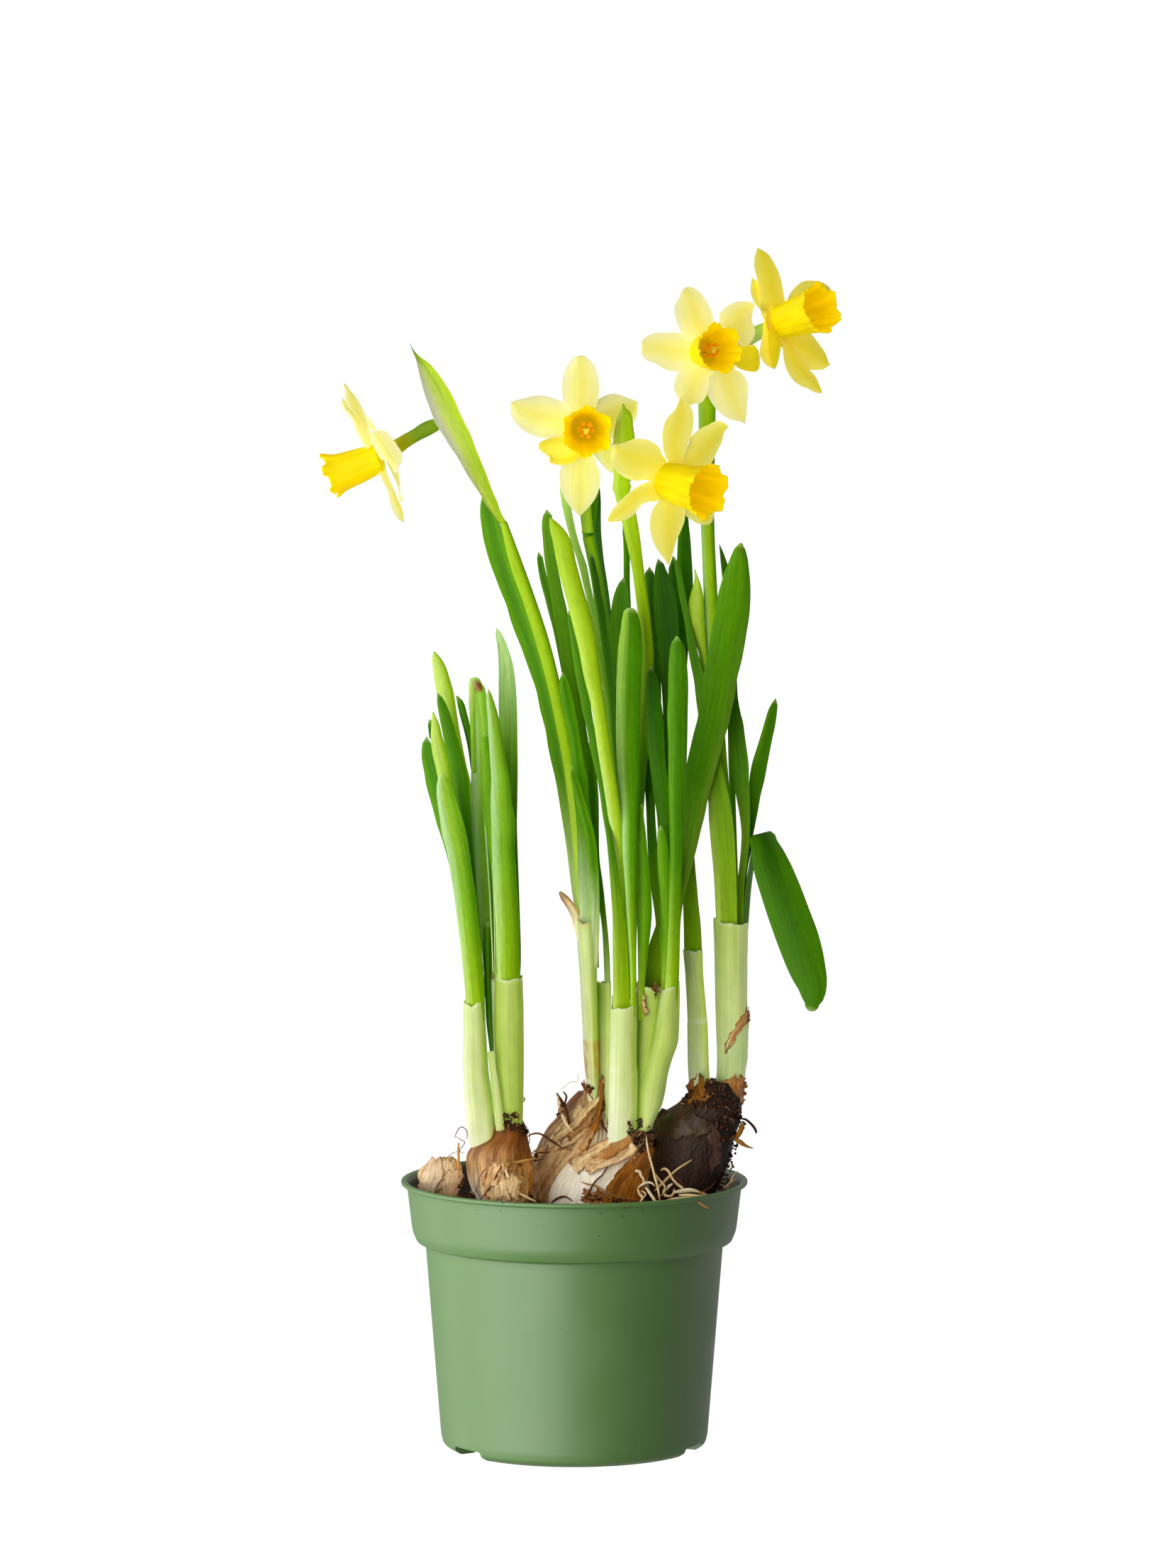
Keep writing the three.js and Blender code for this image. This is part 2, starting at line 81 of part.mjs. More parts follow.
const STEMS = {
  bud_stem_left_1: [[-48.26,-13.95,256.26,0.25],[-47.6,-13.89,252.37,1.27],[-47.13,-13.78,247.49,2],[-46.17,-13.66,242.62,2.49],[-45.03,-13.55,237.74,2.55],[-42.4,-13.15,220.64,2.07],[-40.36,-12.86,208.41,1.94],[-37.12,-12.33,183.92,1.83],[-34.61,-11.89,159.38,1.71],[-34.26,-11.73,149.55,1.58]],
  bud_stem_left_2: [[-48.26,-1.78,276.14,0.25],[-47.41,-1.78,273.45,1.58],[-46.5,-1.88,271.02,2.13],[-45.35,-2.08,266.15,2.68],[-44.19,-2.28,261.28,2.86],[-41.34,-2.9,246.66,2.32],[-37.27,-3.74,228.37,2.01],[-37.21,-4.16,219.84,1.83],[-34.18,-6.19,183.27,1.71],[-33.1,-7.61,158.89,1.83],[-32.98,-8.15,149.12,1.71]],
  stem_1: [[-24.02,-12.32,320.97,1.15],[-19.89,-11.79,307.11,2.13],[-15.01,-11.21,293.22,2.22],[-10.61,-10.6,279.31,2.31],[-7,-9.98,265.38,2.23],[-4.14,-9.31,251.43,2.13],[-1.65,-8.58,237.44,2.07],[0.12,-7.77,223.43,1.98],[3.75,-5.06,181.21,1.86],[4.74,-4.05,167.08,1.83]],
  bud_stem_middle: [[-8.16,-21.64,322.96,0.25],[-7.02,-21.64,320.67,1.51],[-4.55,-21.81,315.85,2.89],[-2.26,-22.16,306.21,3.26],[2.99,-22.89,286.92,3.44],[4.56,-23.16,279.69,3.2],[6.07,-23.48,270.03,2.9],[8,-23.67,260.36,2.42],[10.06,-23.35,245.81,2.3],[12.82,-21.07,228.63,2.35],[15.18,-15.71,208.68,2.06],[16.42,-13.02,188.88,1.95],[16.83,-12.36,169.23,1.91],[16.92,-12.52,147.19,1.83]],
  stem_2: [[4.86,3.08,315.4,2.07],[7.91,3.57,300.22,2.04],[9.96,4.08,285.02,2.26],[12.85,4.9,254.55,2.26],[14.99,5.33,224.03,2.23],[15.79,5.53,208.74,2.21],[16.28,6.09,193.4,2.21],[16.4,7.23,177.97,2.21],[16.43,9.94,146.96,2.21]],
  stem_3: [[16.66,-21.58,361.73,0.25],[16.72,-21.58,360.17,0.78],[17.15,-21.39,358.48,2.05],[17.03,-20.92,354.38,3.01],[16.97,-20.43,350.03,3.68],[16.92,-19.82,344.71,3.98],[16.68,-19.39,341.08,3.62],[16.26,-19.02,337.93,2.84],[16.12,-18.61,334.53,2.9],[16.21,-18.43,333.08,3.26],[16.27,-18.28,331.86,2.72],[16.94,-17.91,328.95,2.66],[17.91,-17.57,326.28,2.66],[18.88,-16.97,321.66,2.66],[21.66,-14.69,305.83,2.03],[24.21,-11.34,286.23,2.12],[25.02,-9.4,276.39,2.19],[24.34,-5.02,256.59,2.19],[22.46,0.85,231.66,2.2],[20.8,6.2,206.62,2.21],[19.61,10.49,181.53,2.21],[18.67,14.31,146.43,2.22]],
  stem_4: [[45.5,-4.24,363.57,3.03],[45.58,-2.9,329.55,2.43],[46.09,-2.14,312.48,2.3],[47.69,-0.51,278.26,2.36],[49.93,1.17,243.89,2.32],[52.87,2.93,209.39,2.22],[54.22,3.44,192.12,2.2],[54.87,3.33,174.89,2.21]],
  bud_stem_right: [[41.4,-3.24,304.38,0.25],[41.82,-3.24,302.31,0.46],[42.09,-3.13,300.36,0.97],[42.08,-2.84,295.47,2.29],[41.91,-2.71,293.03,2.63],[41.99,-2.48,288.14,2.75],[42.27,-2.4,285.7,2.58],[44.12,-2.16,275.92,1.43],[44.62,-2.07,271.03,1.26],[47.83,-0.99,231.82,1.46],[50.08,-0.46,207.25,1.47],[51.37,0.13,175.23,1.47]],
};
const FLOWERS = [
  { centre: [-65.25,-14.32,343.55], axis: [-0.918,0.165,-0.345], coronaBase: 5.3, coronaMouth: 7.8, coronaLength: 20.4,
    tube: [[-39.16,-12.92,348.82,1.2],[-43,-13.92,354.16,1.4],[-44.92,-14.32,354.66,1.5],[-47.58,-14.32,354.18,2.2],[-50.72,-14.32,352.73,2.45],[-56.77,-14.32,349.23,2.25],[-63.8,-14.32,344.52,3.3]],
    tepals: [
      [[-77.58,-10.32,366.87,-0.06,-0.31,0.02,0.04],[-74.92,-11.03,364.26,-0.77,-3.79,0.24,0.5],[-70.31,-12.41,357.39,-1.25,-6.11,0.39,0.8],[-67.59,-13.35,351.26,-1.05,-5.13,0.33,0.67],[-65.63,-14.07,346.18,-0.5,-2.44,0.16,0.32]],
      [[-79.1,-21.32,363.58,-0.14,-0.09,-0.24,0.04],[-76.27,-20.6,361.42,-2.02,-1.13,-2.71,0.5],[-71.11,-18.62,355.66,-4,-2.1,-3.55,0.8],[-67.96,-16.78,350.44,-2.28,-3.49,-2.44,0.67],[-65.76,-15.21,346.01,-0.06,-2.16,-0.79,0.32]],
      [[-60.84,-33.32,342.3,0.12,0.05,-0.28,-0.03],[-61.79,-30.91,342.28,1.55,0.59,-3.5,-0.37],[-63.86,-25.28,342.31,2.49,0.95,-5.65,-0.6],[-64.87,-20.69,342.64,2.09,0.8,-4.75,-0.5],[-64.93,-16.95,343.25,1,0.38,-2.26,-0.24]],
      [[-58.45,-17.32,321.44,-0.18,0.24,0,0.04],[-58.44,-17.09,324.64,-2.2,2.97,-0.41,0.5],[-59.93,-16.28,331.63,-3.32,4.67,-1.77,0.8],[-62.01,-15.46,337.03,-1.11,4.76,-1.21,0.67],[-63.78,-14.78,341.37,0.49,2.34,-0.17,0.32]],
      [[-60.2,2.68,328.1,-0.05,0.22,0.22,0.04],[-59.87,0.33,330.48,-0.65,2.67,2.73,0.5],[-60.49,-4.98,335.54,-1.04,4.31,4.4,0.8],[-62.05,-9.2,339.29,-0.88,3.62,3.7,0.67],[-63.73,-12.58,342.21,-0.42,1.72,1.76,0.32]],
      [[-73.59,4.68,356.04,-0.12,-0.19,0.21,0.04],[-71.45,2.06,354.88,-1.51,-2.4,2.64,0.5],[-67.73,-3.87,351.62,-2.44,-3.87,4.26,0.8],[-65.87,-8.61,348.38,-2.05,-3.25,3.58,0.67],[-65.02,-12.42,345.41,-0.98,-1.55,1.7,0.32]] ] },
  { centre: [3.41,-13.92,353.2], axis: [0.070,-0.996,-0.050], coronaBase: 5.3, coronaMouth: 8, coronaLength: 15,
    tube: [[4.62,3.08,316.62,2.1],[4.37,3.38,323.2,1.6],[4.13,2.78,330.53,1.5],[3.89,1.88,337.87,1.6],[3.65,0.48,342.79,2.2],[3.52,-1.92,347.73,2.5],[3.41,-4.92,350.74,2.2],[3.41,-8.92,352.32,2.4],[3.41,-13.52,353.19,3.3]],
    tepals: [
      [[2.2,-8.92,377.71,0.32,0.04,0.01,0.04],[2.43,-10.18,374.5,4,0.48,0.1,0.5],[2.92,-12.71,367.01,6.45,0.77,0.16,0.8],[3.2,-13.77,360.87,5.42,0.65,0.14,0.67],[3.31,-13.65,355.85,2.58,0.31,0.06,0.32]],
      [[-21.53,-8.92,362,0.1,-0.02,0.3,0.04],[-18.24,-10.25,360.78,1.24,-0.3,3.69,0.5],[-10.56,-12.92,357.98,2,-0.48,5.95,0.8],[-4.26,-13.99,355.77,1.68,-0.41,5,0.67],[0.89,-13.72,354.06,0.8,-0.19,2.38,0.32]],
      [[-7.88,-26.92,340.63,-0.2,-0.05,0.23,0.03],[-6.77,-23.76,342.29,-2.48,-0.66,2.91,0.37],[-4.14,-18.39,345.75,-3.99,-1.06,4.69,0.6],[-1.46,-15.39,348.72,-3.36,-0.89,3.94,0.5],[1.36,-13.36,351.58,-1.6,-0.43,1.88,0.24]],
      [[1.96,-13.92,322.98,-0.34,-0.04,0.02,0.04],[1.99,-12.64,327.12,-4.24,-0.54,0.2,0.5],[2.34,-11.72,336.7,-6.84,-0.88,0.33,0.8],[2.78,-12.3,344.44,-5.74,-0.74,0.28,0.67],[3.18,-13.03,350.69,-2.73,-0.35,0.13,0.32]],
      [[14.08,-7.92,337.51,-0.26,-0.01,-0.18,0.04],[12.78,-9.01,339.44,-3.21,-0.12,-2.23,0.5],[9.63,-11.01,344.09,-5.17,-0.19,-3.59,0.8],[6.97,-12.17,347.98,-4.35,-0.16,-3.02,0.67],[4.79,-12.89,351.16,-2.07,-0.08,-1.44,0.32]],
      [[21.81,-8.92,361.51,0.12,0.05,-0.29,0.04],[19.54,-9.94,360.42,1.47,0.62,-3.63,0.5],[14.08,-11.79,357.89,2.37,1.01,-5.86,0.8],[9.5,-12.74,355.87,1.99,0.85,-4.92,0.67],[5.73,-13.16,354.27,0.95,0.4,-2.34,0.32]] ] },
  { centre: [30.84,-26.74,335.81], axis: [0.702,-0.692,-0.155], coronaBase: 5.4, coronaMouth: 8.8, coronaLength: 20.5,
    tube: [[16.43,-21.24,332.71,1.6],[17.9,-18.54,335.98,1.5],[20.08,-16.14,338.06,1.7],[22.75,-14.54,338.73,2.3],[25.16,-15.54,338.04,2.4],[27.06,-18.74,337.19,2.1],[28.96,-22.34,336.48,2.4],[30.6,-26.14,335.79,3.3]],
    tepals: [
      [[12.99,-37.74,345.09,0.12,0.05,0.3,0.04],[15.64,-36.72,343.82,1.52,0.64,3.68,0.5],[21.53,-33.99,340.91,2.45,1.03,5.93,0.8],[25.83,-31.1,338.63,2.06,0.86,4.98,0.67],[28.84,-28.16,336.88,0.98,0.41,2.37,0.32]],
      [[36.62,-23.74,364.32,0.21,0.23,-0.07,0.04],[36.22,-24.49,360.47,2.58,2.82,-0.82,0.5],[34.56,-25.58,351.52,4.16,4.54,-1.32,0.8],[32.72,-26.01,344.26,3.49,3.82,-1.11,0.67],[31.11,-26.23,338.42,1.66,1.82,-0.53,0.32]],
      [[52.46,-14.74,353.47,0.11,0.17,-0.25,0.04],[48.68,-15.41,351.36,1.36,2.15,-3.13,0.5],[41.22,-18.49,346,2.19,3.47,-5.04,0.8],[36.03,-21.98,341.34,1.84,2.91,-4.24,0.67],[32.05,-25.06,337.49,0.88,1.39,-2.02,0.32]],
      [[11.33,-34.74,322.94,-0.07,-0.21,0.22,0.04],[14.22,-34.09,324.5,-0.86,-2.62,2.72,0.5],[20.63,-32.14,328.29,-1.26,-4.19,4.46,0.8],[25.35,-29.93,331.58,-1.27,-3.14,4.01,0.67],[28.75,-27.64,334.41,-0.79,-1.29,1.99,0.32]],
      [[32.13,-21.74,306.67,-0.24,-0.23,-0.05,0.04],[31.09,-21.55,310.72,-2.91,-2.81,-0.61,0.5],[30.14,-22.57,319.98,-4.7,-4.53,-0.99,0.8],[30.22,-24.27,327.4,-3.95,-3.8,-0.83,0.67],[30.38,-25.74,333.38,-1.88,-1.81,-0.39,0.32]],
      [[46.28,-11.74,319.73,-0.17,-0.11,-0.26,0.04],[43.46,-12.89,322.03,-2.07,-1.31,-3.2,0.5],[38.06,-16.92,327.15,-3.33,-2.11,-5.17,0.8],[34.44,-21.08,331.18,-2.8,-1.77,-4.34,0.67],[31.7,-24.65,334.4,-1.33,-0.84,-2.07,0.32]] ] },
  { centre: [43.41,-19.24,379.12], axis: [0.460,-0.880,0.120], coronaBase: 5.3, coronaMouth: 7.9, coronaLength: 12.8,
    tube: [[45.38,-4.24,362.11,2.2],[45.14,-3.64,368.4,1.6],[44.4,-3.94,373.74,1.8],[43.88,-5.84,376.2,2.4],[43.58,-9.24,377.71,2.4],[43.51,-13.24,378.52,2.1],[43.41,-18.84,379.11,3.3]],
    tepals: [
      [[36.38,-20.24,400.27,0.27,0.16,0.1,0.04],[37.46,-20.42,397.58,3.35,2.01,1.21,0.5],[39.62,-20.17,391.16,5.41,3.24,1.95,0.8],[41.17,-19.56,385.86,4.55,2.72,1.64,0.67],[42.39,-19.02,381.57,2.16,1.29,0.78,0.32]],
      [[22.61,-29.24,380.27,0.01,0.02,0.31,0.04],[25.46,-28.27,380.14,0.1,0.24,3.9,0.5],[31.83,-25.27,379.79,0.16,0.39,6.29,0.8],[36.84,-22.39,379.48,0.14,0.32,5.28,0.67],[40.86,-20.02,379.23,0.06,0.15,2.51,0.32]],
      [[40.53,-20.24,360.62,-0.27,-0.15,0.05,0.04],[41.02,-20.35,362.93,-3.35,-1.92,0.62,0.5],[41.87,-20.04,368.41,-5.4,-3.09,1.01,0.8],[42.39,-19.48,372.9,-4.53,-2.6,0.85,0.67],[42.8,-19.02,376.53,-2.16,-1.24,0.4,0.32]],
      [[58.32,-12.24,354.84,-0.23,-0.14,-0.18,0.04],[55.77,-12.16,357.99,-2.89,-1.78,-2.29,0.5],[50.84,-13.93,365.58,-4.66,-2.88,-3.69,0.8],[47.32,-16.29,371.87,-3.91,-2.42,-3.1,0.67],[44.41,-18.07,376.94,-1.86,-1.15,-1.48,0.32]],
      [[64.38,-9.24,383.03,0.04,0.09,-0.29,0.03],[61.18,-9.67,382.49,0.41,1.09,-3.66,0.37],[54.43,-12.11,381.26,0.31,1.63,-5.97,0.6],[49.36,-14.97,380.3,0.47,0.85,-5.12,0.5],[45.32,-17.42,379.52,0.4,0.12,-2.44,0.24]],
      [[61.67,-10.24,395.35,0.18,0.09,-0.25,0.04],[58.75,-10.47,393.19,2.2,1.13,-3.1,0.5],[52.75,-12.64,388.15,3.55,1.83,-5,0.8],[48.34,-15.35,384.04,2.98,1.54,-4.2,0.67],[44.83,-17.64,380.71,1.42,0.73,-2,0.32]] ] },
  { centre: [70.3,-13.24,389.36], axis: [0.672,-0.692,0.245], coronaBase: 5.4, coronaMouth: 8.1, coronaLength: 20,
    tube: [[46.42,0.26,370.73,1.4],[49.84,1.36,376.05,1.5],[54.69,1.36,379.93,1.9],[58.8,0.36,382.86,2.5],[62.14,-1.84,385.08,2.6],[67.52,-8.84,387.85,2.4],[70.07,-12.64,389.11,3.3]],
    tepals: [
      [[62.5,-10.24,414.5,0.22,0.23,0.04,0.04],[62.83,-9.93,410.93,2.76,2.89,0.51,0.5],[64.99,-10.58,403.02,4.45,4.66,0.83,0.8],[67.37,-11.75,396.77,3.74,3.92,0.69,0.67],[69.14,-12.54,391.67,1.78,1.86,0.33,0.32]],
      [[60.78,-6.24,404.23,0.2,0.11,0.1,0.03],[62.29,-7.45,402.57,2.49,1.34,1.28,0.31],[65.64,-10.11,398.6,4.14,2.05,1.91,0.5],[67.88,-11.74,395,3.4,2.28,0.93,0.42],[69.18,-12.5,391.67,1.38,1.43,0.21,0.2]],
      [[67.74,-23.24,373.43,-0.23,-0.12,0.09,0.04],[67.55,-21.46,375.2,-2.85,-1.44,1.2,0.5],[67.99,-18.17,379.79,-4.58,-2.18,2.13,0.8],[68.82,-15.94,383.77,-3.64,-2.09,1.94,0.67],[69.49,-14.14,386.98,-1.6,-1.15,0.98,0.32]],
      [[84.34,-11.24,365.44,-0.15,-0.25,-0.09,0.04],[81.75,-10.73,368.26,-1.79,-3.13,-1.15,0.5],[76.97,-10.94,375.54,-2.73,-5.04,-2.08,0.8],[73.75,-11.85,381.84,-2.58,-4,-1.9,0.67],[71.13,-12.56,386.92,-1.4,-1.75,-0.97,0.32]],
      [[87.09,-4.24,373.98,-0.11,-0.2,-0.23,0.04],[84.26,-4.73,375.7,-1.3,-2.44,-2.85,0.5],[78.77,-7.15,380.28,-2.1,-3.93,-4.59,0.8],[74.85,-9.76,384.31,-1.76,-3.3,-3.86,0.67],[71.63,-11.82,387.54,-0.84,-1.57,-1.84,0.32]],
      [[84.51,0.76,402.24,0.17,0.06,-0.26,0.04],[81.98,-0.31,400.29,2.17,0.77,-3.23,0.5],[77.04,-3.93,396.11,3.5,1.25,-5.21,0.8],[73.7,-7.69,392.97,2.94,1.05,-4.38,0.67],[71.21,-11.01,390.51,1.4,0.5,-2.09,0.32]] ] },
];
const SHEATHS = {
  l1: [[-34.26,-11.32,156.37,3.46,9.74],[-33.43,-11.29,139.68,4.39,9.46],[-32.6,-11.16,120,5,7.87],[-31.76,-11.08,112.61,4.64,6.97],[-27.38,-11,100.29,3.42,6]],
  l2: [[-22.63,-14.67,165.09,4.43,6.77],[-21.82,-14.41,130.25,4.26,6.43],[-21.74,-13,104.27,3.66,4.6]],
  m: [[3.76,-2.51,183.87,3.54,10.43],[4.31,-2.51,175.52,3.36,10.43],[5.17,-0.82,156.13,2.75,9.67],[6.34,3.52,124.24,2.21,7.72],[5.85,4,113.04,3.44,7.5]],
  c0: [[10.25,2,161.23,2.45,2.38],[10.51,2.78,132.99,2.21,2.85],[10.57,4.22,122.92,2.15,3.73],[9.53,5,110.43,2.7,4.2]],
  c1: [[17.03,-15.53,154.41,4.5,6.15],[16.86,-17.27,124.98,4.79,5.88],[16.42,-19,106.33,5.48,5.6]],
  cb: [[17.29,11.08,155.49,4.31,12.04],[17.05,10.44,127.07,4.06,11.17],[15.45,9.04,114.85,4.19,9.27],[12,7.64,107.59,4.18,7.37],[8.56,7,100.23,4.18,6.5]],
  c2: [[29.51,-7.89,161.62,6.83,10.4],[28.91,-7.89,149.34,6.71,10.4],[28.12,-8.45,144.24,6.04,10.16],[26.53,-14.02,128.98,4.65,7.73],[25.66,-16,120.89,3.8,6.87],[24.22,-17.44,115.93,2.8,6.24],[21.78,-18,108.15,3.77,6]],
  r2: [[40.95,0.29,172.51,3.33,2.61],[44.1,0,118.52,3.43,3.4]],
  r1: [[54.09,3.11,182.3,6.03,9.36],[54.28,2.94,154.71,5.57,8.91],[54.67,2.56,138.46,5.4,7.93],[53.22,2,118.26,4.66,6.5]],
};
const BULBS = {
  bulb_left: [[-21.85,-13,115.33,4.27,5],[-22.58,-13,109.92,6.71,7.5],[-24.9,-13,106.97,9.52,9],[-25.64,-13,104.27,10.98,10.2],[-25.64,-13,100.58,11.71,11],[-25.16,-13,93.19,10.99,11],[-24.56,-13,88.27,9.4,9.5],[-23.83,-13,82.11,5.49,5]],
  bulb_front: [[22.62,-19,113.2,4.14,5],[21.77,-19,110.75,5.47,6.5],[14.84,-19,104.61,11.93,10.3],[12.29,-19,101.42,14,11.6],[8.76,-19,94.06,15.83,12.8],[7.05,-19,89.15,15.83,12.8],[6.32,-19,84.23,14.37,11.6],[6.57,-19,78.09,9.74,7]],
  bulb_right: [[49.24,0,127.17,6.37,8],[47.05,0,119.51,11.04,11],[43.37,0,115.06,14.47,12.2],[41.66,0,111.11,15.21,13],[39.22,0,98.74,14.24,13.4],[38.37,0,92.55,12.89,13],[37.64,0,86.36,10.44,11.5],[37.28,0,78.93,5.89,7]],
  bulb_middle: [[6.34,5,122.81,5.16,5],[3.76,5,115.38,8.48,8],[1.79,5,110.43,10.94,9],[0.07,5,104.23,12.66,9.8],[-1.29,5,98.04,13.53,10],[-2.39,5,91.83,13.41,10],[-3.13,5,85.63,11.69,9],[-3.75,5,78.18,6.65,5.5]],
  bulblet_left: [[-43.7,-7,101.46,1.84,2.5],[-44.81,-7,99.73,5.14,5.5],[-46.16,-7,96.77,7.46,7],[-46.29,-7,93.81,7.34,7],[-45.93,-7,89.86,5.51,5.8],[-46.06,-7,84.92,2.45,3]],
  bulblet_front: [[-24.64,-34,100.86,3.39,2.8],[-24.16,-34,98.66,7.01,5.4],[-23.8,-34,95.74,8.1,6.6],[-23.56,-34,92.32,7.86,6.6],[-23.2,-34,88.9,5.81,5.4],[-23.45,-34,85,2.66,2.8]],
};

// ---------------------------------------------------------------- solids
const V = (x, y, z) => new THREE.Vector3(x, y, z);

function closedFromRings(rings) {
  const m = rings[0].length;
  const pos = [];
  const idx = [];
  for (const ring of rings) for (const p of ring) pos.push(p.x, p.y, p.z);
  for (let i = 0; i + 1 < rings.length; i++) {
    for (let k = 0; k < m; k++) {
      const a = i * m + k, b = i * m + (k + 1) % m, c = a + m, d = b + m;
      idx.push(a, c, b, b, c, d);
    }
  }
  for (let k = 1; k + 1 < m; k++) {
    idx.push(0, k, k + 1);
    const o = (rings.length - 1) * m;
    idx.push(o, o + k + 1, o + k);
  }
  let vol = 0;
  for (let t = 0; t < idx.length; t += 3) {
    const [a, b, c] = [idx[t], idx[t + 1], idx[t + 2]].map((i) => V(pos[3 * i], pos[3 * i + 1], pos[3 * i + 2]));
    vol += a.dot(b.cross(c));
  }
  if (vol < 0) for (let t = 0; t < idx.length; t += 3) [idx[t + 1], idx[t + 2]] = [idx[t + 2], idx[t + 1]];
  return toSolid(pos, idx);
}

function toSolid(pos, idx) {
  const g = new THREE.BufferGeometry();
  g.setAttribute('position', new THREE.Float32BufferAttribute(pos, 3));
  g.setIndex(idx);
  const w = mergeVertices(g, 1e-4);
  const mesh = new wasm.Mesh({
    numProp: 3,
    vertProperties: new Float32Array(w.attributes.position.array),
    triVerts: new Uint32Array(w.index.array),
  });
  mesh.merge();
  return new wasm.Manifold(mesh);
}

function toGeometry(solid) {
  const mesh = solid.getMesh();
  const g = new THREE.BufferGeometry();
  const pos = new Float32Array(mesh.numVert * 3);
  for (let i = 0; i < mesh.numVert; i++) for (let k = 0; k < 3; k++) pos[3 * i + k] = mesh.vertProperties[mesh.numProp * i + k];
  g.setAttribute('position', new THREE.BufferAttribute(pos, 3));
  g.setIndex(new THREE.BufferAttribute(new Uint32Array(mesh.triVerts), 1));
  g.computeVertexNormals();
  return g;
}

const largest = (solid) => {
  const parts = solid.decompose();
  parts.sort((a, b) => Math.abs(b.volume()) - Math.abs(a.volume()));
  return parts[0];
};

// A strap leaf, spathe or tepal: a shallow channel swept along its stations.
function blade(rows, thickness, grow = 0) {
  const pts = rows.map((r) => V(r[0], r[1], r[2]));
  const rings = [];
  const n = rows.length;
  for (let i = 0; i < n; i++) {
    const t = V(0, 0, 0).subVectors(pts[Math.min(i + 1, n - 1)], pts[Math.max(i - 1, 0)]).normalize();
    const h = V(rows[i][3], rows[i][4], rows[i][5]);
    let len = h.length();
    h.addScaledVector(t, -h.dot(t) * 0.999).normalize();
    const face = V(0, 0, 0).crossVectors(t, h).normalize();
    const c = rows[i][6];
    const half = (thickness * Math.min(1, Math.max(0.4, len / 2)) + 2 * grow) / 2;
    len += grow;
    const p = pts[i].clone();
    if (grow && i === n - 1) p.addScaledVector(t, 2 * grow);
    if (grow && i === 0) p.addScaledVector(t, -grow);
    const at = (s, side) => p.clone().addScaledVector(h, s * len).addScaledVector(face, c * (1 - s * s) - c / 2 + side * half);
    rings.push([at(-1, 0), at(-0.5, 1), at(0.5, 1), at(1, 0), at(0.5, -1), at(-0.5, -1)]);
  }
  return closedFromRings(rings);
}

// A round stem through its stations.
function rod(rows, sides = 8, grow = 0) {
  const pts = rows.map((r) => V(r[0], r[1], r[2]));
  const n = rows.length;
  const rings = [];
  let side = null;
  for (let i = 0; i < n; i++) {
    const t = V(0, 0, 0).subVectors(pts[Math.min(i + 1, n - 1)], pts[Math.max(i - 1, 0)]).normalize();
    if (!side) side = Math.abs(t.x) < 0.8 ? V(1, 0, 0) : V(0, 1, 0);
    side = side.clone().addScaledVector(t, -side.dot(t)).normalize();
    const other = V(0, 0, 0).crossVectors(t, side);
    const p = pts[i].clone();
    if (grow && i === n - 1) p.addScaledVector(t, grow);
    const ring = [];
    for (let k = 0; k < sides; k++) {
      const a = (k / sides) * Math.PI * 2;
      ring.push(p.clone().addScaledVector(side, Math.cos(a) * (rows[i][3] + grow)).addScaledVector(other, Math.sin(a) * (rows[i][3] + grow)));
    }
    rings.push(ring);
  }
  return closedFromRings(rings);
}

// Stacked level ovals: sheaths and bulbs.
function ovals(rows, sides, grow = 0, top = 0) {
  const rings = rows.map((r, i) => {
    const z = r[2] + (i === 0 ? top : i === rows.length - 1 ? -grow : 0);
    const ring = [];
    for (let k = 0; k < sides; k++) {
      const a = ((k + 0.5) / sides) * Math.PI * 2;
      ring.push(V(r[0] + Math.cos(a) * (r[3] + grow), r[1] + Math.sin(a) * (r[4] + grow), z));
    }
    return ring;
  });
  return closedFromRings(rings);
}

// The frilled cup of a flower, open at the mouth, with the stamens in the middle.
function frame3(axis) {
  const a = V(...axis).normalize();
  const u = V(0, 0, 1).addScaledVector(a, -a.z).normalize();
  return { a, u, w: V(0, 0, 0).crossVectors(a, u) };
}
function coronaRadius(f, t) {
  return f.coronaBase + (f.coronaMouth - f.coronaBase) * Math.pow(t, 1.35);
}
function corona(f) {
  const { a, u, w } = frame3(f.axis);
  const c = V(...f.centre);
  const sides = CORONA_SIDES;
  const at = (r, d, k) => {
    const q = (k / sides) * Math.PI * 2;
    return c.clone().addScaledVector(a, d).addScaledVector(u, Math.cos(q) * r).addScaledVector(w, Math.sin(q) * r);
  };
  const rings = [];
  const ring = (r, d, wave) => {
    const out = [];
    for (let k = 0; k < sides; k++) {
      const s = Math.cos((k / sides) * Math.PI * 12);
      out.push(at(r + wave * 0.45 * s, d + wave * 0.7 * s, k));
    }
    rings.push(out);
  };
  const base = 1.0;
  const L = f.coronaLength - base;
  ring(f.coronaBase * 0.55, base, 0);
  ring(f.coronaBase, base + 1.0, 0);
  for (const t of [0.5, 1]) ring(coronaRadius(f, t), base + L * t, t === 1 ? 1 : t * 0.2);
  for (const t of [1, 0.5]) ring(coronaRadius(f, t) - CORONA_WALL, base + L * t - (t === 1 ? 0.15 : 0), t === 1 ? 1 : t * 0.2);
  ring(f.coronaBase - CORONA_WALL, base + 2.0, 0);
  ring(1.6, base + 1.2, 0);
  const cup = closedFromRings(rings);
  const stamens = rod([[base + 0.9, 1.3], [base + 5, 1.1], [base + 8.2, 1.9], [base + 10, 0.9]].map(([d, r]) => {
    const p = c.clone().addScaledVector(a, d);
    return [p.x, p.y, p.z, r];
  }), 6);
  return cup.add(stamens);
}
